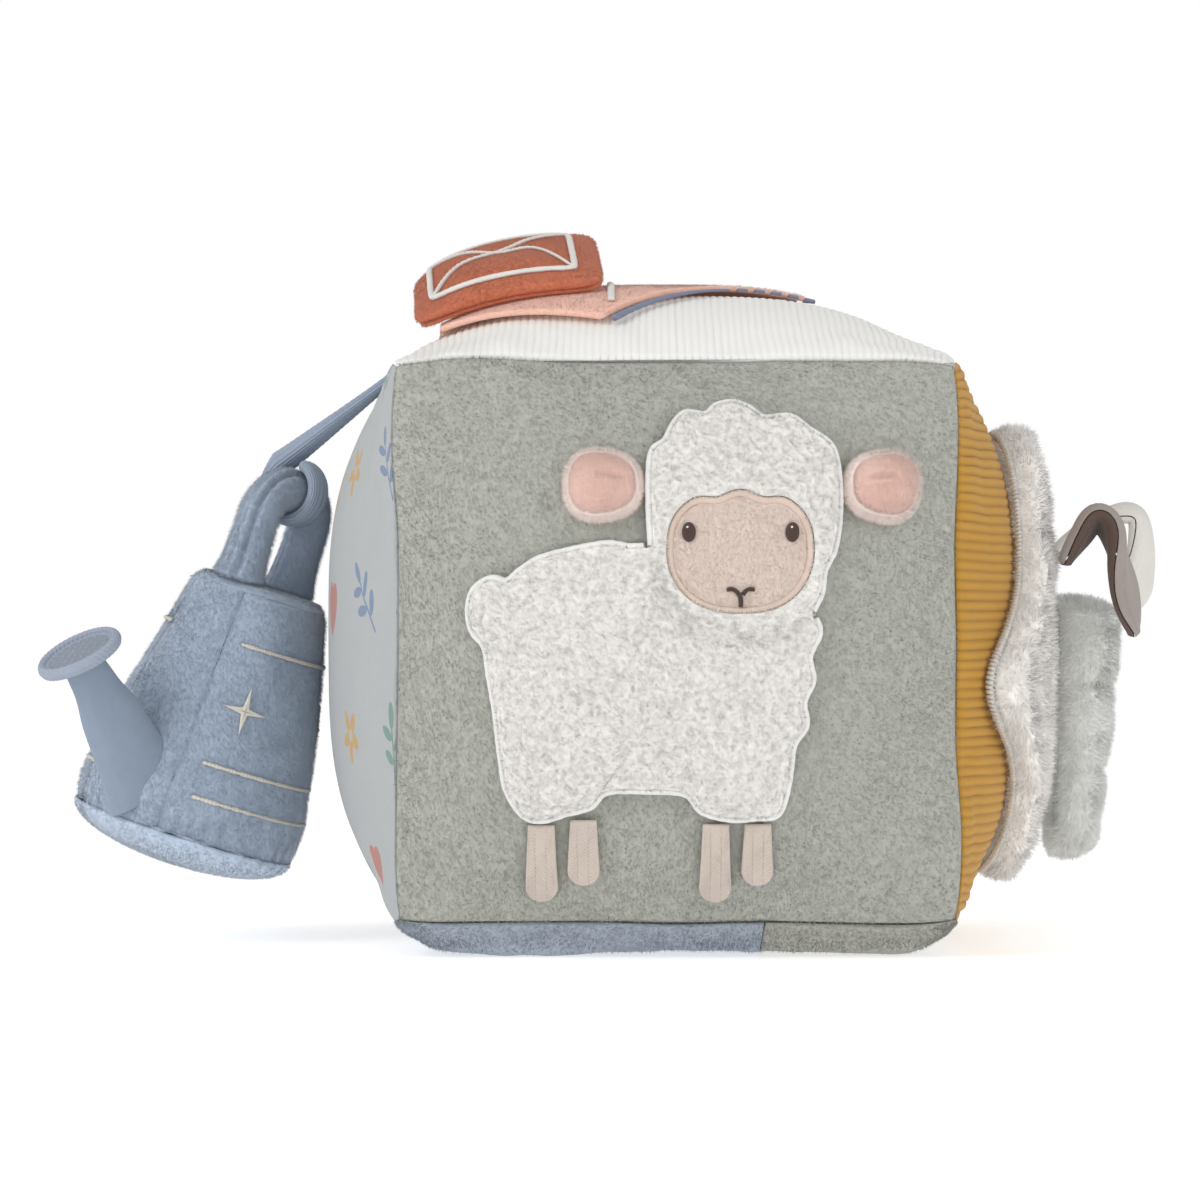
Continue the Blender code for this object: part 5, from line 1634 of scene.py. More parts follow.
        patch = Patch(
            self.on_front, resampled(shifted(face, FIT_GAP), 160), SEW_GAP, self.velour - 0.0003, 0.0010,
            centre=np.array((face_x, face_y)), dome=dome, rows=50, rim_start=0.75,
        )
        mesh = patch.mesh()
        self.shop.piece("sheep_face_velour", mesh, Cloths.FACE, "block", ["sheep_face"], self.face_pile)
        lift = SEW_GAP + self.velour + 0.0005
        for side, way in (("left", -1), ("right", 1)):
            eye = np.array((face_x + way * face_w * self.eye_place[0], face_y + face_h * self.eye_place[1]))
            turn = full_turn(48)
            ring = eye + np.stack((np.cos(turn), np.sin(turn)), axis=-1) * self.eye_size

            def threads(x: Array, y: Array, edge: Array, eye: Array = eye) -> Array:
                """Upright threads over the eye."""
                return 0.00009 * np.sin((x - eye[0]) * 2 * np.pi / 0.00045) * np.clip(edge / 0.0004, 0, 1)

            patch = Patch(self.on_front, ring, lift - 0.0004, 0.0010, 0.0012, relief=threads, rows=26)
            name = f"sheep_eye_{side}"
            self.shop.piece(f"{name}_stitch", patch.mesh(), Cloths.DARK_THREAD, "block", [name])
            glint = eye + np.array((-0.0004, 0.0010))
            ring = glint + np.stack((0.0003 * np.cos(turn[::3]), 0.0003 * np.sin(turn[::3])), axis=-1)
            patch = Patch(self.on_front, ring, lift + 0.0004, 0.0004, 0.0003, rows=8)
            self.shop.piece(f"{name}_glint", patch.mesh(), Cloths.WHITE_THREAD, "block")
        nose_y = face_y - face_h * self.nose_drop
        parts = []
        for points in (
            ((-0.0035, 0.0021), (-0.0018, 0.0021), (-0.0004, 0.0008), (0, -0.0004), (0, -0.0023)),
            ((0.0035, 0.0021), (0.0018, 0.0021), (0.0005, 0.0009)),
        ):
            line = np.array((face_x, nose_y)) + smooth_curve(points, 30)
            cord = Stitching(
                self.on_front, line, 0.00105, 0.0008, lift - 0.0003, closed=False, pitch=0.0004,
                ridge=0.00006,
            )
            parts.append(cord.mesh())
        self.shop.piece("sheep_nose_stitch", gathered(parts), Cloths.DARK_THREAD, "block", ["sheep_nose"])

    def build_legs(self) -> None:
        """Four embroidered legs, filled with slanted threads in columns."""
        edge = self.border / 2 + 2 * FIT_GAP
        for pair, pair_share in enumerate(self.leg_pairs):
            for step, foot_share in enumerate(self.leg_feet):
                middle = HALF * pair_share + (step * 2 - 1) * (self.leg_width + self.leg_spacing) / 2
                half = self.leg_width / 2
                near = np.abs(self.body[:, 0] - middle) < (self.leg_width + self.border) / 2
                top = self.body[near, 1].min() - edge
                foot = HALF * foot_share + half
                arc = np.pi * (1 + np.arange(13) / 12)
                sole = np.stack((middle + half * np.cos(arc), foot + half * np.sin(arc)), axis=-1)
                narrow = half * self.leg_taper
                outline = np.vstack((sole, [(middle + narrow, top), (middle - narrow, top)]))

                def threads(x: Array, y: Array, edge: Array, middle: float = middle) -> Array:
                    """Columns of slanted threads.

                    Args:
                        x: Places across.
                        y: Places up.
                        edge: Distance to the leg's edge.
                        middle: The leg's middle.

                    Returns:
                        Heights.
                    """
                    column = (x - middle) / (self.leg_width / 3) + 100.5
                    part = np.abs(column - np.floor(column) - 0.5)
                    slant = np.where(np.floor(column) % 2 == 0, 1, -1)
                    wave = np.sin((y + slant * x * 0.8) * 2 * np.pi / 0.0009)
                    inside = np.clip(edge / 0.0006, 0, 1)
                    return (0.00011 * wave - 0.00022 * np.clip((part - 0.38) * 8, 0, 1)) * inside

                patch = Patch(
                    self.on_front, resampled(outline, 150), SEW_GAP + FIT_GAP, 0.0009, 0.0008, relief=threads,
                    rows=64,
                )
                name = f"sheep_leg_{pair * 2 + step + 1}"
                self.shop.piece(f"{name}_stitch", patch.mesh(), Cloths.LEG_THREAD, "block", [name])

    def build_ears(self) -> None:
        """Two padded ears with a rolled cream rim round a pink front."""
        middle_y = HALF * self.ear_level
        beside = self.head[np.abs(self.head[:, 1] - middle_y) < self.ear_width / 2, 0]
        rim = self.border / 2 + 3 * FIT_GAP
        for side, way in (("left", -1), ("right", 1)):
            centre_x = way * ((way * beside).max() + rim + self.ear_length / 2)
            x, y = squared_up(full_turn(160), self.ear_power)
            y = y * (self.ear_root + (1 - self.ear_root) * np.minimum(1, (1 + way * x) * 0.8))
            centre, half = np.array((centre_x, middle_y)), np.array((self.ear_length, self.ear_width)) / 2
            outline = centre + half * np.stack((x, y), axis=-1)

            def fullness(x: Array, y: Array, centre: Array = centre) -> Array:
                """Height of the padding over the ear's seam."""
                out = np.hypot((x - centre[0]) / half[0], (y - centre[1]) / half[1])
                return self.ear_fill * np.maximum(0, 1 - np.minimum(1, out) ** 3)

            def rolled(x: Array, y: Array, edge: Array) -> Array:
                """The cream ply stands up round the rim."""
                return 0.0010 * bell(edge - 0.0008, 0.0008)

            def darted(x: Array, y: Array, edge: Array, centre: Array = centre, way: int = way) -> Array:
                """A short sewn dart from the ear's middle towards the head, and soft unevenness.

                Args:
                    x: Places across.
                    y: Places up.
                    edge: Distance to the ear's edge.
                    centre: The ear's middle.
                    way: Which side of the head it is on.

                Returns:
                    Heights.
                """
                along, aside = (x - centre[0]) * way, y - centre[1] - 0.0004
                run = np.clip((0.0012 - along) / 0.0012, 0, 1) * np.clip((along + 0.0062) / 0.0015, 0, 1)
                soft = flat_noise(x, y, 0.004, 3) * 0.0003
                return soft - 0.0008 * run * bell(aside, 0.0008)

            back = Patch(
                self.on_front, outline, SEW_GAP, self.ear_ply * 0.9, 0.0011, centre=centre, relief=rolled,
                rows=50,
            )
            front = Patch(
                self.on_front, shifted(outline, -self.ear_rim), SEW_GAP + self.ear_ply + FIT_GAP,
                self.ear_ply * 0.8, 0.0022, centre=centre, dome=fullness, relief=darted,
            )
            for patch, name, ply, cloth, pile, full in (
                (back, "rim", "back", Cloths.EAR_CREAM, self.rim_pile, 0.5),
                (front, "velour", "front", Cloths.EAR_PINK, self.pink_pile, 0.6),
            ):
                ear = f"ear_{side}"
                self.shop.piece(
                    f"{ear}_{name}", patch.mesh(), cloth, ear, [f"{ear}_{ply}"], pile, stuffed=full,
                )


@dataclass
class Masks:
    """Tells where no pile needs to grow."""

    sheep: Sheep

    def inside(self, path: Array, x: Array, y: Array) -> Array:
        """Whether flat places lie inside a closed path.

        Args:
            path: The path's points.
            x: Places across.
            y: Places up.

        Returns:
            True inside.
        """
        found = np.zeros(len(x), bool)
        for one, two in zip(path, np.roll(path, -1, axis=0)):
            crosses = (one[1] > y) != (two[1] > y)
            with np.errstate(divide="ignore", invalid="ignore"):
                at = one[0] + (y - one[1]) * (two[0] - one[0]) / (two[1] - one[1])
            found ^= crosses & (x < at)
        return found

    def front(self, points: Array) -> Array:
        """1 on the front where the panel's plush shows.

        Args:
            points: World places.

        Returns:
            One share for each place.
        """
        sheep = self.sheep
        x, y = points[:, 0], points[:, 2] - CENTRE[2]
        covered = self.inside(np.vstack((sheep.body[::4], sheep.neck[::-6])), x, y)
        covered |= self.inside(np.vstack((sheep.head[::4], sheep.neck[::6])), x, y)
        return np.where(covered, 0.0, 1.0)

    def bottom(self, points: Array) -> Array:
        """Less pile on the flat that rests on the floor."""
        return np.clip((points[:, 2] - 0.0012) / 0.002, 0.05, 1)


@dataclass
class Barn:
    """The barn and its door flap on the top."""

    shop: Workshop
    outline_shares: tuple = ((-0.82, -0.645), (-0.26, -0.81), (0.49, 0.0), (-0.26, 0.81), (-0.89, 0.78))
    thick: float = 0.0014
    cord_width: float = 0.0028
    cord_share: float = 0.55
    dash_width: float = 0.0010
    line_points: int = 60
    solid_points: int = 34
    trim_width: float = 0.0019
    trim_inset: float = 0.0030
    door_width: float = 0.0480
    door_depth: float = 0.0400
    ply: float = 0.0010
    fill: float = 0.0034
    hinge_share: float = -0.60
    clearance: float = 0.0006
    opened: float = math.radians(18)
    frame_inset: float = 0.0062
    frame_width: float = 0.0016
    brace_width: float = 0.0009
    stitch_height: float = 0.0008
    corner_power: float = 0.24
    frame_power: float = 0.12
    tuft_reach: float = 0.0045
    wall_pile: Pile = Pile(0.0006, 26000, 0.00016, (0.2, -0.3, 0), 0.3, 0.4)
    back_pile: Pile = Pile(0.0007, 14000, 0.00016, (0.15, 0.25, -0.3), 0.3, 0.5)
    front_pile: Pile = Pile(0.0007, 26000, 0.00016, (0.15, 0.25, -0.3), 0.3, 0.5)

    def on_top(self, x: Array, y: Array, lift: Array) -> Array:
        """Places on the top panel."""
        return surface(Side.TOP, x, y, lift)

    def build(self) -> None:
        """Make the wall, the roof's stitching, the trim and the door."""
        corners = HALF * np.array(self.outline_shares)
        patch = Patch(
            self.on_top, resampled(corners, 300), SEW_GAP, self.thick, 0.0010, centre=np.array((-0.018, 0.0)),
            rows=90,
        )
        self.shop.piece("barn_velour", patch.mesh(), Cloths.SALMON, "block", ["barn_wall"], self.wall_pile)
        self.build_roof(corners)
        trim_x = corners[1, 0] + self.trim_inset
        slack = self.trim_inset + self.trim_width + self.cord_width
        reach = abs(corners[1, 1]) - slack
        line = np.stack((np.full(40, trim_x), np.linspace(-reach, reach, 40)), axis=-1)
        lift = SEW_GAP + self.thick + FIT_GAP
        cord = Stitching(self.on_top, line, self.trim_width, self.stitch_height, lift, closed=False)
        self.shop.piece("barn_trim_stitch", cord.mesh(), Cloths.WHITE_THREAD, "block", ["barn_trim"])
        self.build_door(trim_x)

    def build_roof(self, corners: Array) -> None:
        """Slate stitching along the roof, thick at the eaves and dashed towards the ridge's tip.

        Args:
            corners: The barn's corners.
        """
        parts = []
        size, solid = self.line_points, self.solid_points
        for eave, way in ((corners[1], 1), (corners[3], -1)):
            line = eave + (corners[2] - eave) * np.linspace(0, 1, size)[:, None]
            line = (line + np.array((self.cord_width + FIT_GAP, 0)))[::way]
            widths = np.linspace(self.cord_width, self.cord_width / 2, 20)[::way]
            parts.append(Stitching(
                self.on_top, line[:solid] if way > 0 else line[-solid:], self.cord_width * self.cord_share,
                0.0009, SEW_GAP, False, 0.0009, 0.0003, widths * self.cord_share, 0.3,
            ))
            dashes = line[solid + 1:] if way > 0 else line[:size - solid - 1][::-1]
            for start in range(0, len(dashes) - 3, 5):
                dash = resampled(dashes[start:start + 4], 8, closed=False)
                parts.append(Stitching(
                    self.on_top, dash, self.dash_width, self.stitch_height, SEW_GAP, closed=False,
                ))
        parts = [part.mesh() for part in parts]
        self.shop.piece("barn_roof_stitch", gathered(parts), Cloths.SLATE, "block", ["barn_roof_cord"])

    def build_door(self, trim_x: float) -> None:
        """The padded flap with its stitched frame and crossed braces.

        Args:
            trim_x: Where the trim runs.
        """
        right = trim_x - self.trim_width / 2 - self.clearance
        centre = np.array((right - self.door_width / 2, HALF * self.hinge_share + self.door_depth / 2))
        half = np.array((self.door_width, self.door_depth)) / 2
        outline = resampled(centre + box_outline(*half, self.corner_power), OUTLINE_POINTS)
        lift = SEW_GAP + self.thick + FIT_GAP
        hinge_y = centre[1] - self.door_depth / 2
        ends = [self.on_top(centre[0] + way * self.door_width / 2, hinge_y, lift) for way in (-1, 1)]
        axis = Vector((ends[1] - ends[0]).tolist()).normalized()
        pivot = self.on_top(centre[0], hinge_y, lift + self.ply)
        turned = np.array(Matrix.Rotation(self.opened, 3, axis))

        def place(x: Array, y: Array, lift: Array) -> Array:
            """Places on the door as it stands open."""
            return (self.on_top(x, y, lift) - pivot) @ turned.T + pivot

        half_x, half_y = half - self.frame_inset
        frame_line = resampled(centre + box_outline(half_x, half_y, self.frame_power), OUTLINE_POINTS)
        braces = [
            centre + smooth_curve(points, 60) for points in (
                ((-half_x, -half_y), (-half_x * 0.55, -half_y * 0.05), (half_x * 0.05, half_y * 0.1),
                 (half_x * 0.5, half_y * 0.62), (half_x, half_y)),
                ((-half_x, half_y), (-half_x * 0.45, half_y * 0.62), (half_x * 0.0, half_y * 0.02),
                 (half_x * 0.5, -half_y * 0.02), (half_x, -half_y)),
            )
        ]

        def padding(x: Array, y: Array) -> Array:
            """Share of the full padding, drawn in along the stitched lines.

            Args:
                x: Places across.
                y: Places up.

            Returns:
                Shares from 0 to 1.
            """
            across = np.minimum(1, np.abs(x - centre[0]) / half[0])
            upward = np.minimum(1, np.abs(y - centre[1]) / half[1])
            full = np.maximum(0, (1 - across ** 3.5) * (1 - upward ** 3.5))
            near = np.full(x.shape, 1.0)
            flat = np.stack((x, y), axis=-1)
            for line in [frame_line[::3]] + [brace[::2] for brace in braces]:
                distance = np.min(np.linalg.norm(flat[:, None] - line[None], axis=-1), axis=1)
                near = np.minimum(near, distance / self.tuft_reach)
            return full * (0.80 + 0.20 * np.clip(near, 0, 1) ** 0.6)

        def front_low(x: Array, y: Array) -> Array:
            """Height of the front ply's inner face."""
            return lift + self.ply + FIT_GAP + self.fill * padding(x, y)

        patch = Patch(place, outline, lift, self.ply, 0.0009, centre=centre)
        self.shop.piece("door_back_velour", patch.mesh(), Cloths.RUST, "door", ["door_back"], self.back_pile)
        patch = Patch(
            place, outline, lift + self.ply + FIT_GAP, self.ply, 0.0012, centre=centre, rows=100,
            relief=lambda x, y, edge: self.fill * padding(x, y),
        )
        nodes = ["door_front", "door_padding"]
        self.shop.piece(
            "door_front_velour", patch.mesh(), Cloths.RUST, "door", nodes, self.front_pile, stuffed=0.6,
        )

        def front_high(x: Array, y: Array) -> Array:
            """Height of the front ply's outer face."""
            return front_low(x, y) + self.ply + 0.0002

        lines = [(frame_line, True, self.frame_width)]
        lines += [(brace, False, self.brace_width) for brace in braces]
        parts = [
            Stitching(place, line, width, self.stitch_height, front_high, closed).mesh()
            for line, closed, width in lines
        ]
        self.shop.piece("door_frame_stitch", gathered(parts), Cloths.WHITE_THREAD, "door", ["door_cord"])


@dataclass(frozen=True)
class Leaf:
    """One leaf: where it grows, its bend seen from the front, and its two cloths."""

    name: str
    way: int
    root_share: float
    reach: float
    rise: float
    twists: tuple
    bend_shares: tuple
    outer: Cloths
    inner: Cloths


@dataclass
class Meadow:
    """The long pile field on the right, with the wing and the two leaves."""

    shop: Workshop
    thick: float = 0.0088
    field_shares: tuple = (0.0, 0.0, 0.70, 0.82)
    field_drop: float = 0.88
    wave: float = 0.21
    wave_at: float = -0.16
    wave_span: float = 0.26
    wing_height: float = 0.0690
    wing_width: float = 0.0480
    wing_thick: float = 0.0170
    wing_backing: float = 0.0014
    wing_top: float = 0.14
    leaf_ply: float = 0.0016
    leaf_width: float = 0.0180
    leaf_fill: float = 0.0013
    leaf_gap: float = 0.0020
    zigzag_points: int = 700
    zigzag_width: float = 0.0008
    wing_rows: int = 150
    lobes: int = 3
    field_pile: Pile = Pile(
        0.0032, 45900, 0.00028, (0.0, 0.0, -0.10), 0.55, 0.9, 0.0035, bend=0.10, joints=1,
    )
    wing_pile: Pile = Pile(0.0030, 45000, 0.00026, (0.0, 0.0, -0.45), 0.50, 0.8, 0.005, bend=0.2, joints=1)
    leaves: tuple = (
        Leaf(
            "near", -1, 0.27, 0.0196, 0.0130, (-0.30, 0.12),
            ((0, 0), (0.25, 0.56), (0.46, 0.96), (0.66, 0.7), (0.78, -0.1), (0.88, -0.8), (1, -1.5)),
            Cloths.TAUPE, Cloths.LINING,
        ),
        Leaf(
            "far", 1, 0.24, 0.0290, 0.0170, (-0.06, 0.62),
            ((0, 0), (0.3, 0.52), (0.66, 0.92), (0.94, 0.98), (1, 0.5), (0.95, -0.2), (0.84, -0.65)),
            Cloths.CREAM_JERSEY, Cloths.CREAM_JERSEY,
        ),
    )

    def on_right(self, x: Array, y: Array, lift: Array) -> Array:
        """Places on the right panel."""
        return surface(Side.RIGHT, x, y, lift)

    def outline(self) -> Array:
        """Wavy outline of the field.

        Returns:
            Flat points.
        """
        points = superellipse(self.field_shares, 3.4, 720)
        points[:, 1] *= np.where(points[:, 1] > 0, self.field_drop, 1)
        level = (points[:, 1] / HALF - self.wave_at) / self.wave_span
        points[:, 0] *= 1 + self.wave * np.exp(-level ** 2) * 2 - self.wave
        return points

    def face(self, across: float, upward: float) -> float:
        """Outermost place of the field near a place on the right panel."""
        return float(self.on_right(across, upward, SEW_GAP + self.thick)[0])

    def build(self) -> None:
        """Make the field, its zigzag edging, the wing and the leaves."""
        def tufts(x: Array, y: Array, edge: Array) -> Array:
            """Lumps of the matted pile."""
            return flat_noise(x, y, 0.0045, 3) * 0.0013 * np.clip(edge / 0.004, 0, 1)

        patch = Patch(
            self.on_right, resampled(self.outline(), 260), SEW_GAP, 0.0066, 0.0036, centre=np.zeros(2),
            relief=tufts, rows=120,
        )
        mesh = patch.mesh()
        self.shop.piece("field_fur", mesh, Cloths.PINK_PILE, "block", ["plush_field"], self.field_pile)
        line = shifted(resampled(self.outline(), self.zigzag_points), self.zigzag_width + FIT_GAP)
        swing = np.where(np.arange(self.zigzag_points) % 2 == 0, 0.0010, -0.0007)[:, None]
        cord = Stitching(
            self.on_right, line + normals_of(line) * swing, self.zigzag_width, 0.0014, SEW_GAP, pitch=0.0009,
            ridge=0.0, ragged=0.0,
        )
        self.shop.piece("field_zigzag", cord.mesh(), Cloths.WHITE_THREAD, "block", ["field_edge_cord"])
        self.build_wing()
        self.build_leaves()

    def build_wing(self) -> None:
        """Three stuffed lobes on a flat backing."""
        top_z = CENTRE[2] + HALF * self.wing_top
        hang_x = self.face(0, HALF * self.wing_top) + SEW_GAP
        rows = self.wing_rows
        level = np.linspace(0, 1, rows + 1)
        within = np.where(level < 1, level * self.lobes % 1, 0)
        bulge = np.sqrt(np.maximum(0, 1 - (2 * within - 1) ** 2))
        ends = np.clip(np.minimum(level, 1 - level) / 0.05, 0, 1)
        squeeze = (1 - 0.05 * (1 - bulge)) * (0.35 + 0.65 * np.sqrt(ends))
        half_wide = self.wing_width / 2 * (1 - 0.46 * level ** 2) * squeeze
        thick = (self.wing_thick - self.wing_backing - FIT_GAP) * (1 - 0.42 * level ** 1.6) * squeeze
        start = hang_x + self.wing_backing * 0.3
        thick = thick + self.wing_backing * 0.7 + FIT_GAP
        middles = np.stack((start + thick / 2, np.zeros(rows + 1), top_z - self.wing_height * level), axis=-1)
        axes = (np.tile((1.0, 0, 0), (rows + 1, 1)), np.tile((0, 1.0, 0), (rows + 1, 1)))

        def folds(turn: Array, share: Array) -> Array:
            """Short creases that run out of the quilting lines.

            Args:
                turn: Turns round the wing.
                share: Shares down it.

            Returns:
                Changes of its thickness.
            """
            part = share * self.lobes % 1
            line = np.rint(share * self.lobes)
            sewn = ((line > 0) & (line < self.lobes)) * np.clip((np.cos(turn) - 0.05) / 0.3, 0.08, 1)
            groove = bell(share * self.lobes - line, 0.035) * sewn
            near = bell(part - np.rint(part), 0.16)
            return -0.0026 * groove - 0.0004 * near * (0.5 + 0.5 * np.sin(turn * 11 + line * 2))

        mesh = tube(middles, axes, (thick / 2, half_wide), 120, 2.5, folds)
        self.shop.piece(
            "wing_fur", mesh, Cloths.GREY_PILE, "wing", ["wing_front"], self.wing_pile, stuffed=0.8,
        )

        def backing(across: Array, upward: Array) -> tuple[Array, Array]:
            """A flat sheet with a front and a back.

            Args:
                across: Shares across it.
                upward: Shares down its front and up its back.

            Returns:
                Places and pile heights.
            """
            shown = upward < 0.5 + HAIR
            share = np.where(shown, upward * 2, 2 - upward * 2)
            half = np.interp(share, level, half_wide) - 0.0040
            y = (across * 2 - 1) * half
            x = np.where(shown, hang_x, hang_x + self.wing_backing * 0.6)
            return np.stack((x, y, top_z - self.wing_height * share), axis=-1), np.ones(len(x))

        mesh = closed_sides(laid_grid(40, 120, backing))
        self.shop.piece("wing_lining", mesh, Cloths.WING_BACK, "wing", ["wing_backing"])

    def build_leaves(self) -> None:
        """Two folded leaves, each of two plies with a sewn edge."""
        steps = 100
        level = np.linspace(0, 1, steps + 1)
        swell = 0.55 + 0.45 * np.sin(np.pi * np.minimum(1, level * 1.15) * 0.62)
        tip = np.where(level < 0.8, 1, np.sqrt(np.maximum(0.12, 1 - ((level - 0.8) / 0.2) ** 2)))
        half = self.leaf_width / 2 * swell * np.maximum(0.35, tip)
        full = self.leaf_fill * np.sin(np.pi * np.clip(level * 1.05, 0, 1)) ** 0.5
        for leaf in self.leaves:
            middle_y = leaf.way * (self.wing_width / 2 + self.leaf_gap + self.leaf_width / 2)
            root_z = HALF * leaf.root_share
            root_x = self.face(middle_y, root_z) + SEW_GAP + self.leaf_ply + FIT_GAP
            bend = np.array(leaf.bend_shares) * (leaf.reach, leaf.rise)
            line = smooth_curve(bend + (root_x, CENTRE[2] + root_z), steps + 1)
            along = unit(np.gradient(line, axis=0))
            flat = np.stack((-along[:, 1], 0 * level, along[:, 0]), axis=-1)
            ahead = np.stack((along[:, 0], 0 * level, along[:, 1]), axis=-1)
            cross = np.tile((0.0, 1.0, 0.0), (steps + 1, 1))
            late = np.clip(level * 1.6 - 0.4, 0, 1) ** 2
            turn = (np.sin(2 * np.pi * level) * leaf.twists[0] + late * leaf.twists[1])[:, None]
            outer = flat * np.cos(turn) + np.cross(ahead, flat) * np.sin(turn)
            wide = cross * np.cos(turn) + np.cross(ahead, cross) * np.sin(turn)
            middle = line[:, [0, 0, 1]] * (1, 0, 1) + (0, middle_y, 0)
            for ply, side, cloth in (("front", 1, leaf.outer), ("back", -1, leaf.inner)):
                thick = self.leaf_ply + full * (1 if side > 0 else 0.6)
                mesh = self.leaf_ply_mesh(middle, outer, wide, half, thick, side)
                name = f"leaf_{leaf.name}"
                self.shop.piece(f"{name}_{ply}_cloth", mesh, cloth, name, [f"{name}_{ply}"], stuffed=0.5)

    def leaf_ply_mesh(
        self, middle: Array, outer: Array, wide: Array, half: Array, thick: Array, side: int,
    ) -> bpy.types.Mesh:
        """One ply of a leaf.

        Args:
            middle: The leaf's middle line.
            outer: The direction out of its outer face at each point.
            wide: The direction across it at each point.
            half: Half its width at each point.
            thick: The ply's thickness at each point.
            side: 1 for the outer ply, -1 for the inner one.

        Returns:
            The mesh.
        """
        steps = len(middle) - 1

        def mapping(across: Array, upward: Array) -> tuple[Array, Array]:
            """Outer face over half of the columns, inner face over the rest.

            Args:
                across: Shares across the outer face and back.
                upward: Shares along the leaf.

            Returns:
                Places and pile heights.
            """
            row = np.rint(upward * steps).astype(int)
            shown = across <= 0.5 + HAIR
            place = np.sin(np.pi / 2 * np.where(shown, 4 * across - 1, 3 - 4 * across))
            end = np.clip(np.minimum(upward, 1 - upward) / 0.02, 0, 1) ** 0.5
            rise = np.maximum(0, 1 - np.abs(place) ** 6) ** 0.6 * end
            sewn = 0.00035 * bell(np.abs(place) - 0.80, 0.05) * end
            spot = np.stack((place, upward * 5, 0 * place + side), axis=-1)
            soft = lattice(spot, 0.6, 6) * 0.0002 * rise
            lift = FIT_GAP / 2 + np.where(shown, thick[row] * rise + soft - sewn, 0)
            point = middle[row] + outer[row] * (side * lift)[:, None]
            return point + wide[row] * (place * half[row])[:, None], np.where(shown, 1.0, 0.0)

        return closed_sides(laid_grid(96, steps, mapping))


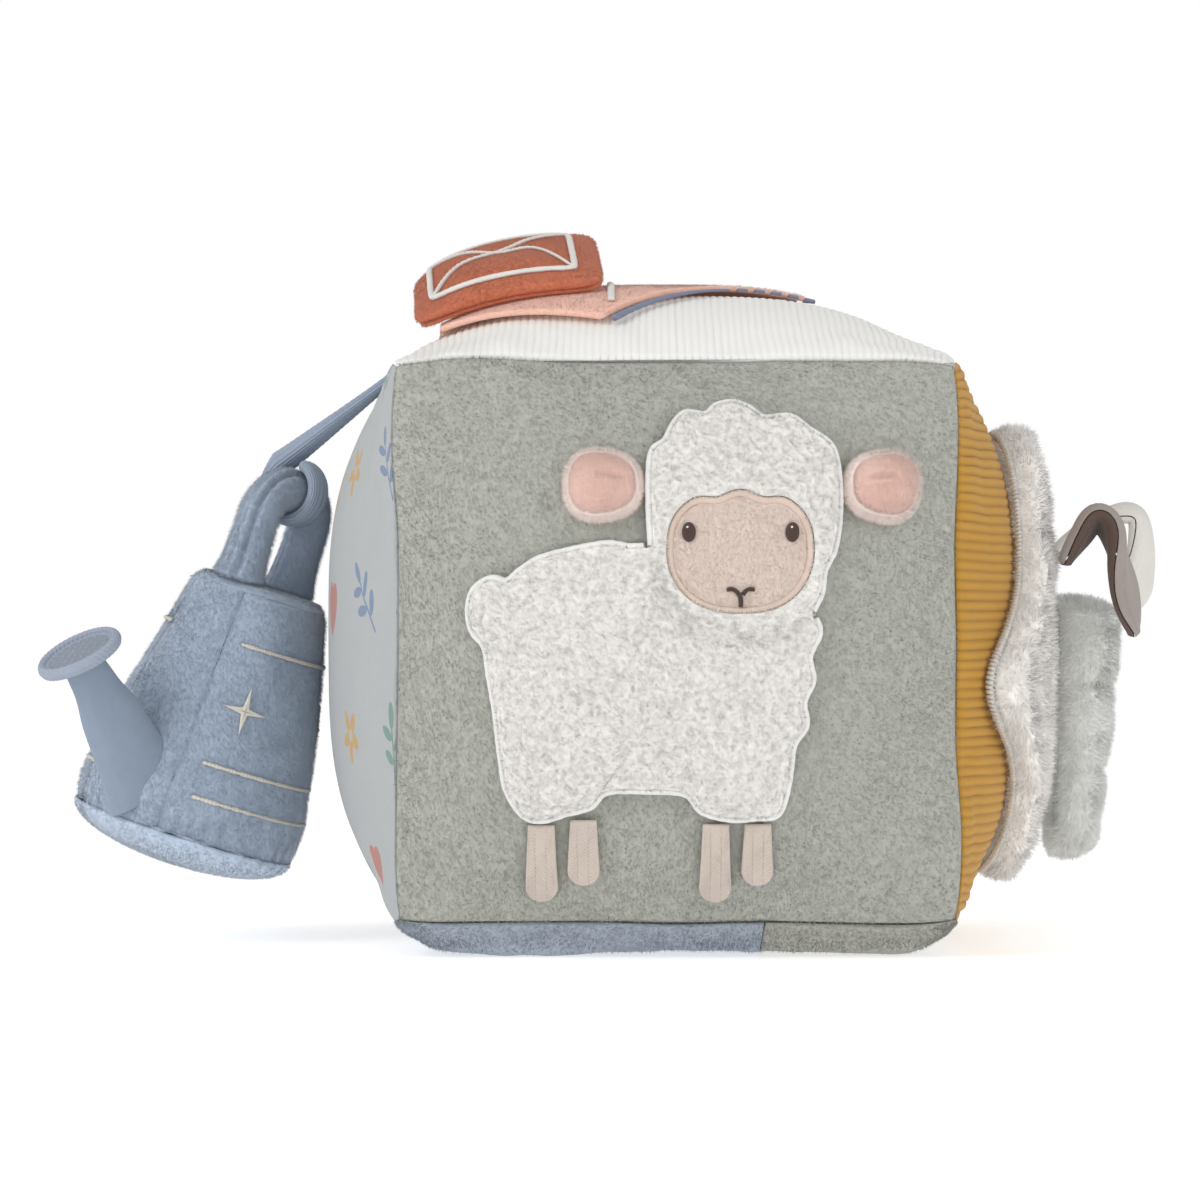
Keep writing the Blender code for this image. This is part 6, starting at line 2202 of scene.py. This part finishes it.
@dataclass
class Can:
    """The stuffed can that hangs on its strap."""

    shop: Workshop
    height: float = 0.0680
    base_radius: float = 0.0310
    top_radius: float = 0.0190
    barrel: float = 0.0012
    ply: float = 0.0016
    bulge: float = 0.0090
    handle_radius: float = 0.0058
    handle_spread: float = 0.0125
    handle_rise: float = 0.0300
    handle_bend: float = 0.0090
    bands: tuple = (0.17, 0.31, 0.80)
    band_break: float = math.radians(32)
    star_reach: float = 0.0066
    star_turns: tuple = (math.radians(47), math.radians(137))
    seam_turn: float = math.radians(20)
    fold_radius: float = 0.0280
    fill_gap: float = 0.0012
    band_size: tuple = (0.0010, 0.0005, 0.0006)
    star_height: float = 0.55
    star_waist: float = 0.2
    body_pile: Pile = Pile(0.0013, 58000, 0.00018, (0.1, 0, -0.9), 0.3, 0.6, 0.009)
    base_pile: Pile = Pile(0.0008, 24000, 0.00017, (0.05, 0, -0.3), 0.3, 0.6, 0.009)
    top_pile: Pile = Pile(0.0008, 12000, 0.00017, (0.1, -0.2, -0.1), 0.3, 0.6)
    handle_pile: Pile = Pile(0.0012, 27000, 0.00018, (0, 0, -0.9), 0.3, 0.6)
    handle_points: int = 101
    spout_height: float = 0.0130
    spout_run: tuple = (-0.0135, -0.0120, 0.0300)
    spout_root: float = 0.0075
    spout_sizes: tuple = ((0.0210, 0.0104), (0.0100, 0.0080))
    rose_size: tuple = (0.0120, 0.0040, 0.0022)
    rose_dots: tuple = ((0.0024, 6), (0.0050, 12), (0.0076, 18))
    rose_rows: int = 90
    strap_size: tuple = (0.0020, 0.0080)
    strap_play: float = 0.0005
    loop_start: float = math.radians(135)
    loop_sweep: float = math.radians(305)
    place_rows: tuple = (
        (0.475528, -0.823639, 0.309017, -0.134854), (0.866025, 0.5, 0.0, -0.006),
        (-0.154508, 0.267616, 0.951057, 0.030628), (0.0, 0.0, 0.0, 1.0),
    )
    matrix: Array = field(init=False)

    def __post_init__(self) -> None:
        """Keep the can's place as an array."""
        self.matrix = np.array(self.place_rows)

    def world(self, local: Array) -> Array:
        """World places of places in the can's own frame."""
        return local @ self.matrix[:3, :3].T + self.matrix[:3, 3]

    def local(self, points: Array) -> Array:
        """Places in the can's own frame of places in the world."""
        return (points - self.matrix[:3, 3]) @ self.matrix[:3, :3]

    def radius(self, height: Array) -> Array:
        """Outer radius of the wall.

        Args:
            height: Heights up the can.

        Returns:
            Radii.
        """
        share = np.clip(height / self.height, 0, 1)
        narrowing = (self.top_radius - self.base_radius) * share
        return self.base_radius + narrowing + self.barrel * np.sin(np.pi * share)

    def creases(self, turn: Array, height: Array) -> Array:
        """Soft hollows and folds of the wall, and its upright seams.

        Args:
            turn: Turns round the can.
            height: Heights up it.

        Returns:
            Changes of the radius.
        """
        local = turned_place(self.fold_radius, turn, height * 0.7)
        slow = lattice(local, 0.019, 31) * 0.0013
        folds = lattice(local * np.array((1, 1, 0.45)), 0.0085, 32) * 0.0006
        low_end, high_end = np.exp(-height / 0.0035), np.exp(-(self.height - height) / 0.0028)
        low_swell = 0.0014 * bell(height - 0.010, 0.007)
        seam = np.zeros_like(turn)
        for at in (math.pi + self.seam_turn, math.pi - self.seam_turn * 2.2, self.seam_turn):
            away = turn_between(turn, at) * self.fold_radius
            seam += -0.0007 * bell(away, 0.0006) - 0.0009 * bell(away, 0.004)
        pucker = 0.0006 * np.sin(turn * 31 + 4 * np.sin(turn * 5)) * bell(height - 0.003, 0.003)
        return slow + folds + seam + low_swell + pucker - 0.0009 * low_end - 0.0004 * high_end

    def on_wall(self, length: Array, height: Array, lift: Array) -> Array:
        """Places on the wall.

        Args:
            length: Lengths round the base.
            height: Heights.
            lift: How far they stand off the wall.

        Returns:
            Places in the world.
        """
        turn = length / self.base_radius
        out = self.radius(height) + self.creases(turn, height) * 0.6 + lift
        return self.world(turned_place(out, turn, height))

    def lathe(
        self, profile: Array, columns: int, rows: int, relief: Callable[[Array, Array], Array],
        shown: float = 1.0,
    ) -> bpy.types.Mesh:
        """A shape turned about the can's axis.

        Args:
            profile: Radii and heights along it.
            columns: Squares round it.
            rows: Squares along the profile.
            relief: Change of the radius from turns and heights.
            shown: Share of the profile that shows and grows pile.

        Returns:
            The mesh.
        """
        line = resampled(profile, rows + 1, closed=False)

        def mapping(across: Array, upward: Array) -> tuple[Array, Array]:
            """Round by columns, along the profile by rows.

            Args:
                across: Shares round it.
                upward: Shares along the profile.

            Returns:
                Places and pile heights.
            """
            row = np.rint(upward * rows).astype(int)
            turn = np.where(across > 1 - HAIR, 0, across) * 2 * np.pi
            seen = upward <= shown + HAIR
            out, high = line[row, 0], line[row, 1]
            out = out + np.where(seen & (out > 0.001), relief(turn, high), 0) * np.minimum(1, out / 0.01)
            return self.world(turned_place(out, turn, high)), np.where(seen, 1.0, 0.0)

        return laid_grid(columns, rows, mapping)

    def build(self) -> None:
        """Make the can and its strap."""
        heights = np.linspace(0, self.height, 40)
        wall = np.stack((self.radius(heights), heights), axis=-1)
        back = np.stack((self.radius(heights[::-1]) - self.ply, heights[::-1]), axis=-1)
        profile = np.vstack((wall, back[::3], back[-1:], wall[:1]))
        outer = np.linalg.norm(np.diff(wall, axis=0), axis=1).sum()
        whole = np.linalg.norm(np.diff(profile, axis=0), axis=1).sum()
        mesh = self.lathe(profile, 200, 150, self.creases, outer / whole)
        self.shop.piece("can_body_velour", mesh, Cloths.CAN, "can", ["can_wall"], self.body_pile, stuffed=0.8)
        turns = np.linspace(0, np.pi / 2, 24)
        bowl = np.stack((self.base_radius * np.sin(turns), -FIT_GAP - self.bulge * np.cos(turns)), axis=-1)
        lid = np.array((
            (self.base_radius - 0.0012, 0.0008), (self.base_radius - 0.0030, -FIT_GAP), (0.0, -FIT_GAP),
        ))

        def base_folds(turn: Array, height: Array) -> Array:
            """Puckers round the base's seam."""
            near = np.clip((height + self.bulge + FIT_GAP) / self.bulge, 0, 1)
            return 0.0005 * near * np.sin(turn * 23 + 3 * np.sin(turn * 4)) - 0.0004 * near

        mesh = self.lathe(np.vstack((bowl, lid)), 180, 70, base_folds, 0.62)
        self.shop.piece(
            "can_base_velour", mesh, Cloths.CAN_BASE, "can", ["can_base"], self.base_pile, stuffed=0.8,
        )
        self.build_top()
        self.build_handle()
        self.build_spout()
        self.build_stitching()
        self.build_strap()
        fill_heights = np.linspace(0, self.height, 30)
        sides = np.stack((self.radius(fill_heights) - self.ply - self.fill_gap, fill_heights), axis=-1)
        wide, deep = (size - self.ply - self.fill_gap for size in (self.base_radius, self.bulge))
        floor = np.stack((wide * np.sin(turns[:-1]), -deep * np.cos(turns[:-1])), axis=-1)

        def lumps(turn: Array, height: Array) -> Array:
            """Small lumps of the wadding."""
            return lattice(turned_place(self.fold_radius, turn, height), 0.008, 5) * 0.0003 - 0.0003

        mesh = self.lathe(np.vstack((floor, sides, [(0.0, self.height - 0.0003)])), 60, 60, lumps)
        self.shop.piece("can_wadding", mesh, Cloths.WADDING, "can", ["can_fill"], stuffed=0.9)

    def build_top(self) -> None:
        """The top with its sewn slot between the handle's legs."""
        low, high = self.height + FIT_GAP, self.height + FIT_GAP + self.ply
        profile = np.array((
            (0.0, low), (self.top_radius - 0.0020, low), (self.top_radius - 0.0009, low - 0.0006),
            (self.top_radius - 0.0004, low), (self.top_radius - 0.0011, high - 0.0008),
            (self.top_radius - 0.0026, high), (0.0, high),
        ))
        mesh = self.lathe(profile, 140, 70, lambda turn, height: 0 * turn)
        local = self.local(Grower.read(mesh.vertices, "co", 3))
        slot = bell(local[:, 1], 0.0016) * np.clip((0.0072 - np.abs(local[:, 0])) / 0.0015, 0, 1)
        puff = 0.0012 * np.clip(1 - np.hypot(local[:, 0], local[:, 1]) / self.top_radius, 0, 1)
        upper = local[:, 2] > high - 0.0004
        local[:, 2] += np.where(upper, puff - 0.0019 * slot, 0)
        moved(mesh, self.world(local))
        # Painted shade: the sewn slot is darker than the rest of the top, and the hidden underside is darker
        # still.
        layer = mesh.attributes["pile_height"].data
        layer.foreach_set("value", np.where(upper, 1 - 0.9 * slot, 0.4).astype(np.float32))
        self.shop.piece("can_top_velour", mesh, Cloths.CAN, "can", ["can_top"], self.top_pile)

    def build_handle(self) -> None:
        """The padded carrying loop, with a seam along it."""
        foot = self.height + self.ply + SEW_GAP
        crest = self.height + self.handle_rise
        bend_z, flat = crest - self.handle_bend, self.handle_spread - self.handle_bend
        turn = np.linspace(0, np.pi / 2, 12)
        aside = -flat - self.handle_bend * np.cos(turn)
        bend = np.stack((aside, bend_z + self.handle_bend * np.sin(turn)), axis=-1)
        leg = [(-self.handle_spread, foot), (-self.handle_spread, (foot + bend_z) / 2)]
        half = np.vstack((leg, bend))
        line = resampled(np.vstack((half, half[::-1] * (-1, 1))), self.handle_points, closed=False)
        along = unit(np.gradient(line, axis=0))
        nothing = np.zeros(self.handle_points)
        local = np.stack((line[:, 0], nothing, line[:, 1]), axis=-1)
        outer = np.stack((-along[:, 1], nothing, along[:, 0]), axis=-1)
        turned = self.matrix[:3, :3].T
        axes = (outer @ turned, np.tile((0, 1.0, 0), (self.handle_points, 1)) @ turned)
        share = np.linspace(0, 1, self.handle_points)
        from_end = np.minimum(share, 1 - share)
        flare = np.exp(-from_end / 0.07) * 0.0022
        size = (self.handle_radius + flare) * np.minimum(1, (0.35 + from_end / 0.012 * 0.65))

        def creases(turn: Array, share: Array) -> Array:
            """Seam groove on the outside and folds in the bends.

            Args:
                turn: Turns round the handle.
                share: Shares along it.

            Returns:
                Changes of its radius.
            """
            seam = np.zeros_like(turn)
            for at in (5.85, 2.7):
                away = ((turn - at + np.pi) % (2 * np.pi) - np.pi) / 0.14
                seam += -0.0010 * bell(away, 1) + 0.0005 * bell(away - 2.2, 1)
            fold = 0.00035 * np.sin(share * 2 * np.pi * 17) * np.clip(-np.cos(turn), 0, 1)
            return seam + fold * (bell(share - 0.27, 0.1) + bell(share - 0.73, 0.1)) - 0.0002

        mesh = tube(self.world(local), axes, (size, size), 72, 2.0, creases)
        self.shop.piece(
            "can_handle_velour", mesh, Cloths.CAN, "can", ["can_handle"], self.handle_pile, stuffed=0.8,
        )

    def build_spout(self) -> None:
        """The tapered felt spout and its rose."""
        at = np.array((-float(self.radius(np.array(self.spout_height))), 0, self.spout_height))
        root = Vector(self.world(at[None])[0])
        run = Vector(self.spout_run)
        along = run.normalized()
        seam = Vector(self.matrix[:3, 2])
        deep = along.cross(seam).normalized()
        wide = deep.cross(along).normalized()
        tip = root + run
        rows = 80
        start = root - along * self.spout_root
        shares = np.linspace(0, 1, rows + 1)
        middles = np.array(start) + np.outer(shares, np.array(tip - start))
        from_root = np.clip((shares * (tip - start).length - self.spout_root) / run.length, -0.3, 1)
        sizes = tuple((low + (high - low) * from_root) / 2 for low, high in self.spout_sizes)
        axes = tuple(np.tile(np.array(axis), (rows + 1, 1)) for axis in (wide, deep))

        def wrinkles(turn: Array, share: Array) -> Array:
            """Slight unevenness and a seam on the back."""
            local = turned_place(0.006, turn, share * 0.04)
            return lattice(local, 0.008, 3) * 0.0006 + 0.0004 * np.abs(np.cos(turn)) ** 12

        mesh = tube(middles, axes, sizes, 64, 2.2, wrinkles)
        self.clipped(mesh)
        self.shop.piece("can_spout_felt", mesh, Cloths.SPOUT, "can", ["can_spout"], stuffed=0.7)
        self.build_rose(tip, along)

    def clipped(self, mesh: bpy.types.Mesh) -> None:
        """Draw the spout's root back to just outside the wall.

        Args:
            mesh: The spout.
        """
        local = self.local(Grower.read(mesh.vertices, "co", 3))
        out = np.hypot(local[:, 0], local[:, 1])
        turn = np.arctan2(local[:, 1], local[:, 0]) % (2 * np.pi)
        wall = self.radius(local[:, 2]) + self.creases(turn, local[:, 2]) - 0.0003
        pushed = np.where((out < wall) & (local[:, 2] < self.height), wall / np.maximum(out, HAIR), 1.0)
        local[:, :2] *= pushed[:, None]
        moved(mesh, self.world(local))

    def build_rose(self, tip: Vector, along: Vector) -> None:
        """The rose: a dished disc with a stitched rim and rings of small dots.

        Args:
            tip: The spout's end.
            along: The spout's direction.
        """
        spread, thick, rim = self.rose_size
        turned = along.to_track_quat("Z", "Y").to_matrix()
        profile = np.array((
            (0.0, FIT_GAP), (spread - rim, FIT_GAP), (spread - 0.0006, FIT_GAP + 0.0006),
            (spread, FIT_GAP + 0.0020), (spread - 0.0003, FIT_GAP + thick - 0.0008),
            (spread - 0.0011, FIT_GAP + thick), (spread - rim + 0.0002, FIT_GAP + thick - 0.0006),
            (spread - rim, FIT_GAP + thick - 0.0014), (0.0, FIT_GAP + thick - 0.0012),
        ))
        line = resampled(profile, self.rose_rows + 1, closed=False)

        def mapping(across: Array, upward: Array) -> tuple[Array, Array]:
            """Round by columns, along the profile by rows.

            Args:
                across: Shares round it.
                upward: Shares along the profile.

            Returns:
                Places and pile heights.
            """
            row = np.rint(upward * self.rose_rows).astype(int)
            turn = np.where(across > 1 - HAIR, 0, across) * 2 * np.pi
            out, high = line[row, 0], line[row, 1]
            face = (upward > 0.6) & (out < spread - rim - 0.0008)
            dots = np.zeros(len(row))
            for ring, count in self.rose_dots:
                dots = np.maximum(dots, bell(out - ring, 0.0006) * np.clip(np.cos(turn * count), 0, 1) ** 2)
            high = high + np.where(face, 0.0004 * dots, 0)
            stitch = np.where(out > spread - rim, 0.00018 * np.sin(turn * 46 + high * 2600), 0)
            local = turned_place(out + stitch, turn, high)
            # Painted shade: the dished face is darker between the raised dots.
            return local @ np.array(turned).T + np.array(tip), np.where(face, 0.35 + 0.65 * dots, 1.0)

        mesh = laid_grid(180, self.rose_rows, mapping)
        self.shop.piece("can_rose_disc", mesh, Cloths.ROSE, "can", ["can_rose"])

    def build_stitching(self) -> None:
        """Satin bands round the wall and two four-pointed stars."""
        for number, share in enumerate(self.bands, 1):
            reach = (math.pi - self.band_break) * self.base_radius
            line = np.stack((np.linspace(-reach, reach, 200), np.full(200, self.height * share)), axis=-1)
            cord = Stitching(self.on_wall, line, *self.band_size, closed=False, pitch=0.0011, ragged=0.3)
            name = f"can_band_{number}"
            self.shop.piece(f"{name}_stitch", cord.mesh(), Cloths.STRIPE, "can", [name])
        angle = full_turn(8)
        reach = np.where(np.arange(8) % 2 == 0, self.star_reach, self.star_reach * self.star_waist)
        for number, turn in enumerate(self.star_turns, 1):
            level = self.height * self.star_height
            start = (math.pi + turn) * self.base_radius
            stretch = self.base_radius / float(self.radius(np.array(level)))
            points = (start + reach * np.cos(angle) * stretch, level + reach * np.sin(angle))

            def threads(x: Array, y: Array, edge: Array, start: float = start, level: float = level) -> Array:
                """Threads that run out of the star's middle."""
                turn = np.arctan2(y - level, x - start)
                return 0.00008 * np.sin(turn * 44) * np.clip(edge / 0.0004, 0, 1)

            patch = Patch(
                self.on_wall, resampled(np.stack(points, axis=-1), 120), 0.0004, 0.0010, 0.0006,
                relief=threads, rows=30, centre=np.array((start, level)),
            )
            name = f"can_star_{number}"
            self.shop.piece(f"{name}_stitch", patch.mesh(), Cloths.STRIPE, "can", [name])

    def build_strap(self) -> None:
        """The ribbed knit strap with its loop round the handle."""
        thick, width = self.strap_size
        crest = self.world(np.array((0, 0, self.height + self.handle_rise))[None])[0]
        turned = self.matrix[:3, :3]
        along, aside, up = turned[:, 0], -turned[:, 1], turned[:, 2]
        radius = self.handle_radius + self.strap_play + thick / 2
        root = surface(Side.LEFT, np.array(HALF * 0.08), np.array(HALF), FIT_GAP + thick / 2)
        steps = 60
        angle = self.loop_start + self.loop_sweep * np.arange(2 * steps + 1)[:, None] / (2 * steps)
        round_handle = aside * np.cos(angle) + up * np.sin(angle)
        start = crest + round_handle[0] * radius
        share = np.arange(steps)[:, None] / steps
        wide = unit(np.array((0, 1.0, 0)) * (1 - share) + along * share)
        outer = unit(np.cross(start - root, wide))
        outer = np.where(outer[:, 2:] > 0, outer, -outer)
        turning = np.clip((share * steps - 44) / 16, 0, 1)
        outer = outer * (1 - turning) + round_handle[0] * turning
        middles = np.vstack((root + (start - root) * share, crest + round_handle * radius))
        outers = np.vstack((outer, round_handle))
        wides = np.vstack((wide, np.tile(along, (2 * steps + 1, 1))))
        run = np.arange(len(middles))
        from_seam = 0.0008 + 0.0034 * (run / steps) ** 1.5
        full = np.where(run < steps, from_seam, 0.0014 + 0.0028 * np.exp(-(run - steps) / 9))
        full[-1] = 0.0010

        def ribs(turn: Array, share: Array) -> Array:
            """Knit ribs along the tape and small rows across it."""
            return 0.00012 * np.cos(turn * 18) + 0.00006 * np.sin(share * 2 * np.pi * 110)

        mesh = tube(
            middles + outers * full[:, None] / 2, (outers, wides),
            ((thick + full) / 2 - 0.0002, np.full(len(middles), width / 2)), 90, 2.8, ribs,
        )
        self.shop.piece("can_strap_knit", mesh, Cloths.STRAP, "strap", ["can_strap"])


@dataclass
class Inside:
    """What lies in the block: wadding and the rattle."""

    shop: Workshop

    def build(self) -> None:
        """Dress the rattle and replace the wadding."""
        self.shop.dressed(Cloths.CAPSULE, "rattle_shell_lower", "rattle_shell_upper")
        self.shop.dressed(Cloths.BEAD, "rattle_bead_1", "rattle_bead_2", "rattle_bead_3")
        for name, low, high in (("fill_lower", 0.0, CENTRE[2]), ("fill_upper", CENTRE[2], 1.0)):
            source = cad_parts[name].data
            shape = bmesh.new()
            shape.from_mesh(source)
            bmesh.ops.remove_doubles(shape, verts=shape.verts[:], dist=0.00001)
            bmesh.ops.subdivide_edges(shape, edges=shape.edges[:], cuts=1, use_grid_fill=True)
            for corner in shape.verts:
                outer = abs(corner.co.z - CENTRE[2]) > 0.0005 and (corner.co - Vector(CENTRE)).length > 0.03
                if outer:
                    noise = float(lattice(np.array(corner.co)[None], 0.012, 3)[0])
                    corner.co += (Vector(CENTRE) - corner.co).normalized() * (0.0004 + 0.0004 * noise)
            bmesh.ops.recalc_face_normals(shape, faces=shape.faces[:])
            mesh = bpy.data.meshes.new("wadding")
            shape.to_mesh(mesh)
            shape.free()
            self.shop.piece(f"{name}_wadding", mesh, Cloths.WADDING, "block", [name], stuffed=0.9)


@dataclass
class Studio:
    """Floor, lights and camera."""

    eye: tuple = (-0.0200, -1.2750, 0.0940)
    seen_width: float = 0.3131
    distance: float = 1.2
    sensor: float = 36.0
    floor_glow: float = 0.52
    glow_on_object: float = 0.85
    room_light: float = 0.60
    boxes: tuple = (
        ("key_box", (-1.3, -1.1, 1.1), 0.9, 11.5),
        ("fill_box", (1.3, -1.1, 0.6), 1.1, 6.0),
    )

    def build(self) -> None:
        """Set the stage."""
        scene = bpy.context.scene
        camera = bpy.data.objects.new("camera", bpy.data.cameras.new("camera"))
        scene.collection.objects.link(camera)
        camera.location = self.eye
        camera.rotation_euler = (math.radians(90), 0, 0)
        camera.data.sensor_width = self.sensor
        camera.data.lens = self.sensor * self.distance / self.seen_width
        camera.data.clip_start, camera.data.clip_end = 0.01, 30
        scene.camera = camera
        scene.view_settings.view_transform = "Standard"
        self.floor()
        self.lamps()

    def floor(self) -> None:
        """A wide pale floor that keeps the object's shadow."""
        shape = bmesh.new()
        bmesh.ops.create_grid(shape, x_segments=1, y_segments=1, size=6)
        mesh = bpy.data.meshes.new("floor")
        shape.to_mesh(mesh)
        shape.free()
        item = bpy.data.objects.new("floor", mesh)
        bpy.context.scene.collection.objects.link(item)
        sheet = NodeSheet("floor_paper")
        rays = sheet.wire("ShaderNodeLightPath", "Is Camera Ray")
        rays = rays + sheet.wire("ShaderNodeLightPath", "Is Diffuse Ray") * self.glow_on_object
        paper = sheet.wire("ShaderNodeBsdfDiffuse", 0, None, Color=(0.86, 0.86, 0.86, 1))
        strength = rays * self.floor_glow
        glow = sheet.wire("ShaderNodeEmission", 0, None, Color=(1, 1, 1, 1), Strength=strength)
        both = sheet.node("ShaderNodeAddShader", None, {0: paper, 1: glow})
        sheet.node("ShaderNodeOutputMaterial", None, {"Surface": Wire(sheet, both.outputs[0])})
        mesh.materials.append(sheet.material)

    def lamps(self) -> None:
        """A bright room and two soft boxes."""
        world = bpy.data.worlds.new("room")
        world.use_nodes = True
        tree = world.node_tree
        tree.nodes.clear()
        sheet = NodeSheet.__new__(NodeSheet)
        sheet.tree = tree
        rays = sheet.wire("ShaderNodeLightPath", "Is Camera Ray")
        room = sheet.wire("ShaderNodeBackground", 0, None, Color=(1, 1, 1, 1), Strength=self.room_light)
        backdrop = sheet.wire("ShaderNodeBackground", 0, None, Color=(1, 1, 1, 1), Strength=1.0)
        mix = sheet.node("ShaderNodeMixShader", None, {0: rays, 1: room, 2: backdrop})
        sheet.node("ShaderNodeOutputWorld", None, {"Surface": Wire(sheet, mix.outputs[0])})
        bpy.context.scene.world = world
        for name, place, size, power in self.boxes:
            lamp = bpy.data.lights.new(name, "AREA")
            lamp.size, lamp.energy = size, power
            item = bpy.data.objects.new(name, lamp)
            item.location = place
            item.rotation_euler = (Vector((0, 0, 0.08)) - Vector(place)).to_track_quat("-Z", "Y").to_euler()
            bpy.context.scene.collection.objects.link(item)


def main() -> None:
    """Build the studio and every piece, and note the sizes."""
    logging.basicConfig(level=logging.INFO, format="%(name)s %(message)s")
    Studio().build()
    shop = Workshop()
    sheep = Sheep(shop)
    Cover(shop).build(Masks(sheep))
    sheep.build()
    Barn(shop).build()
    Meadow(shop).build()
    Can(shop).build()
    Inside(shop).build()


if __name__ == "__main__":
    main()
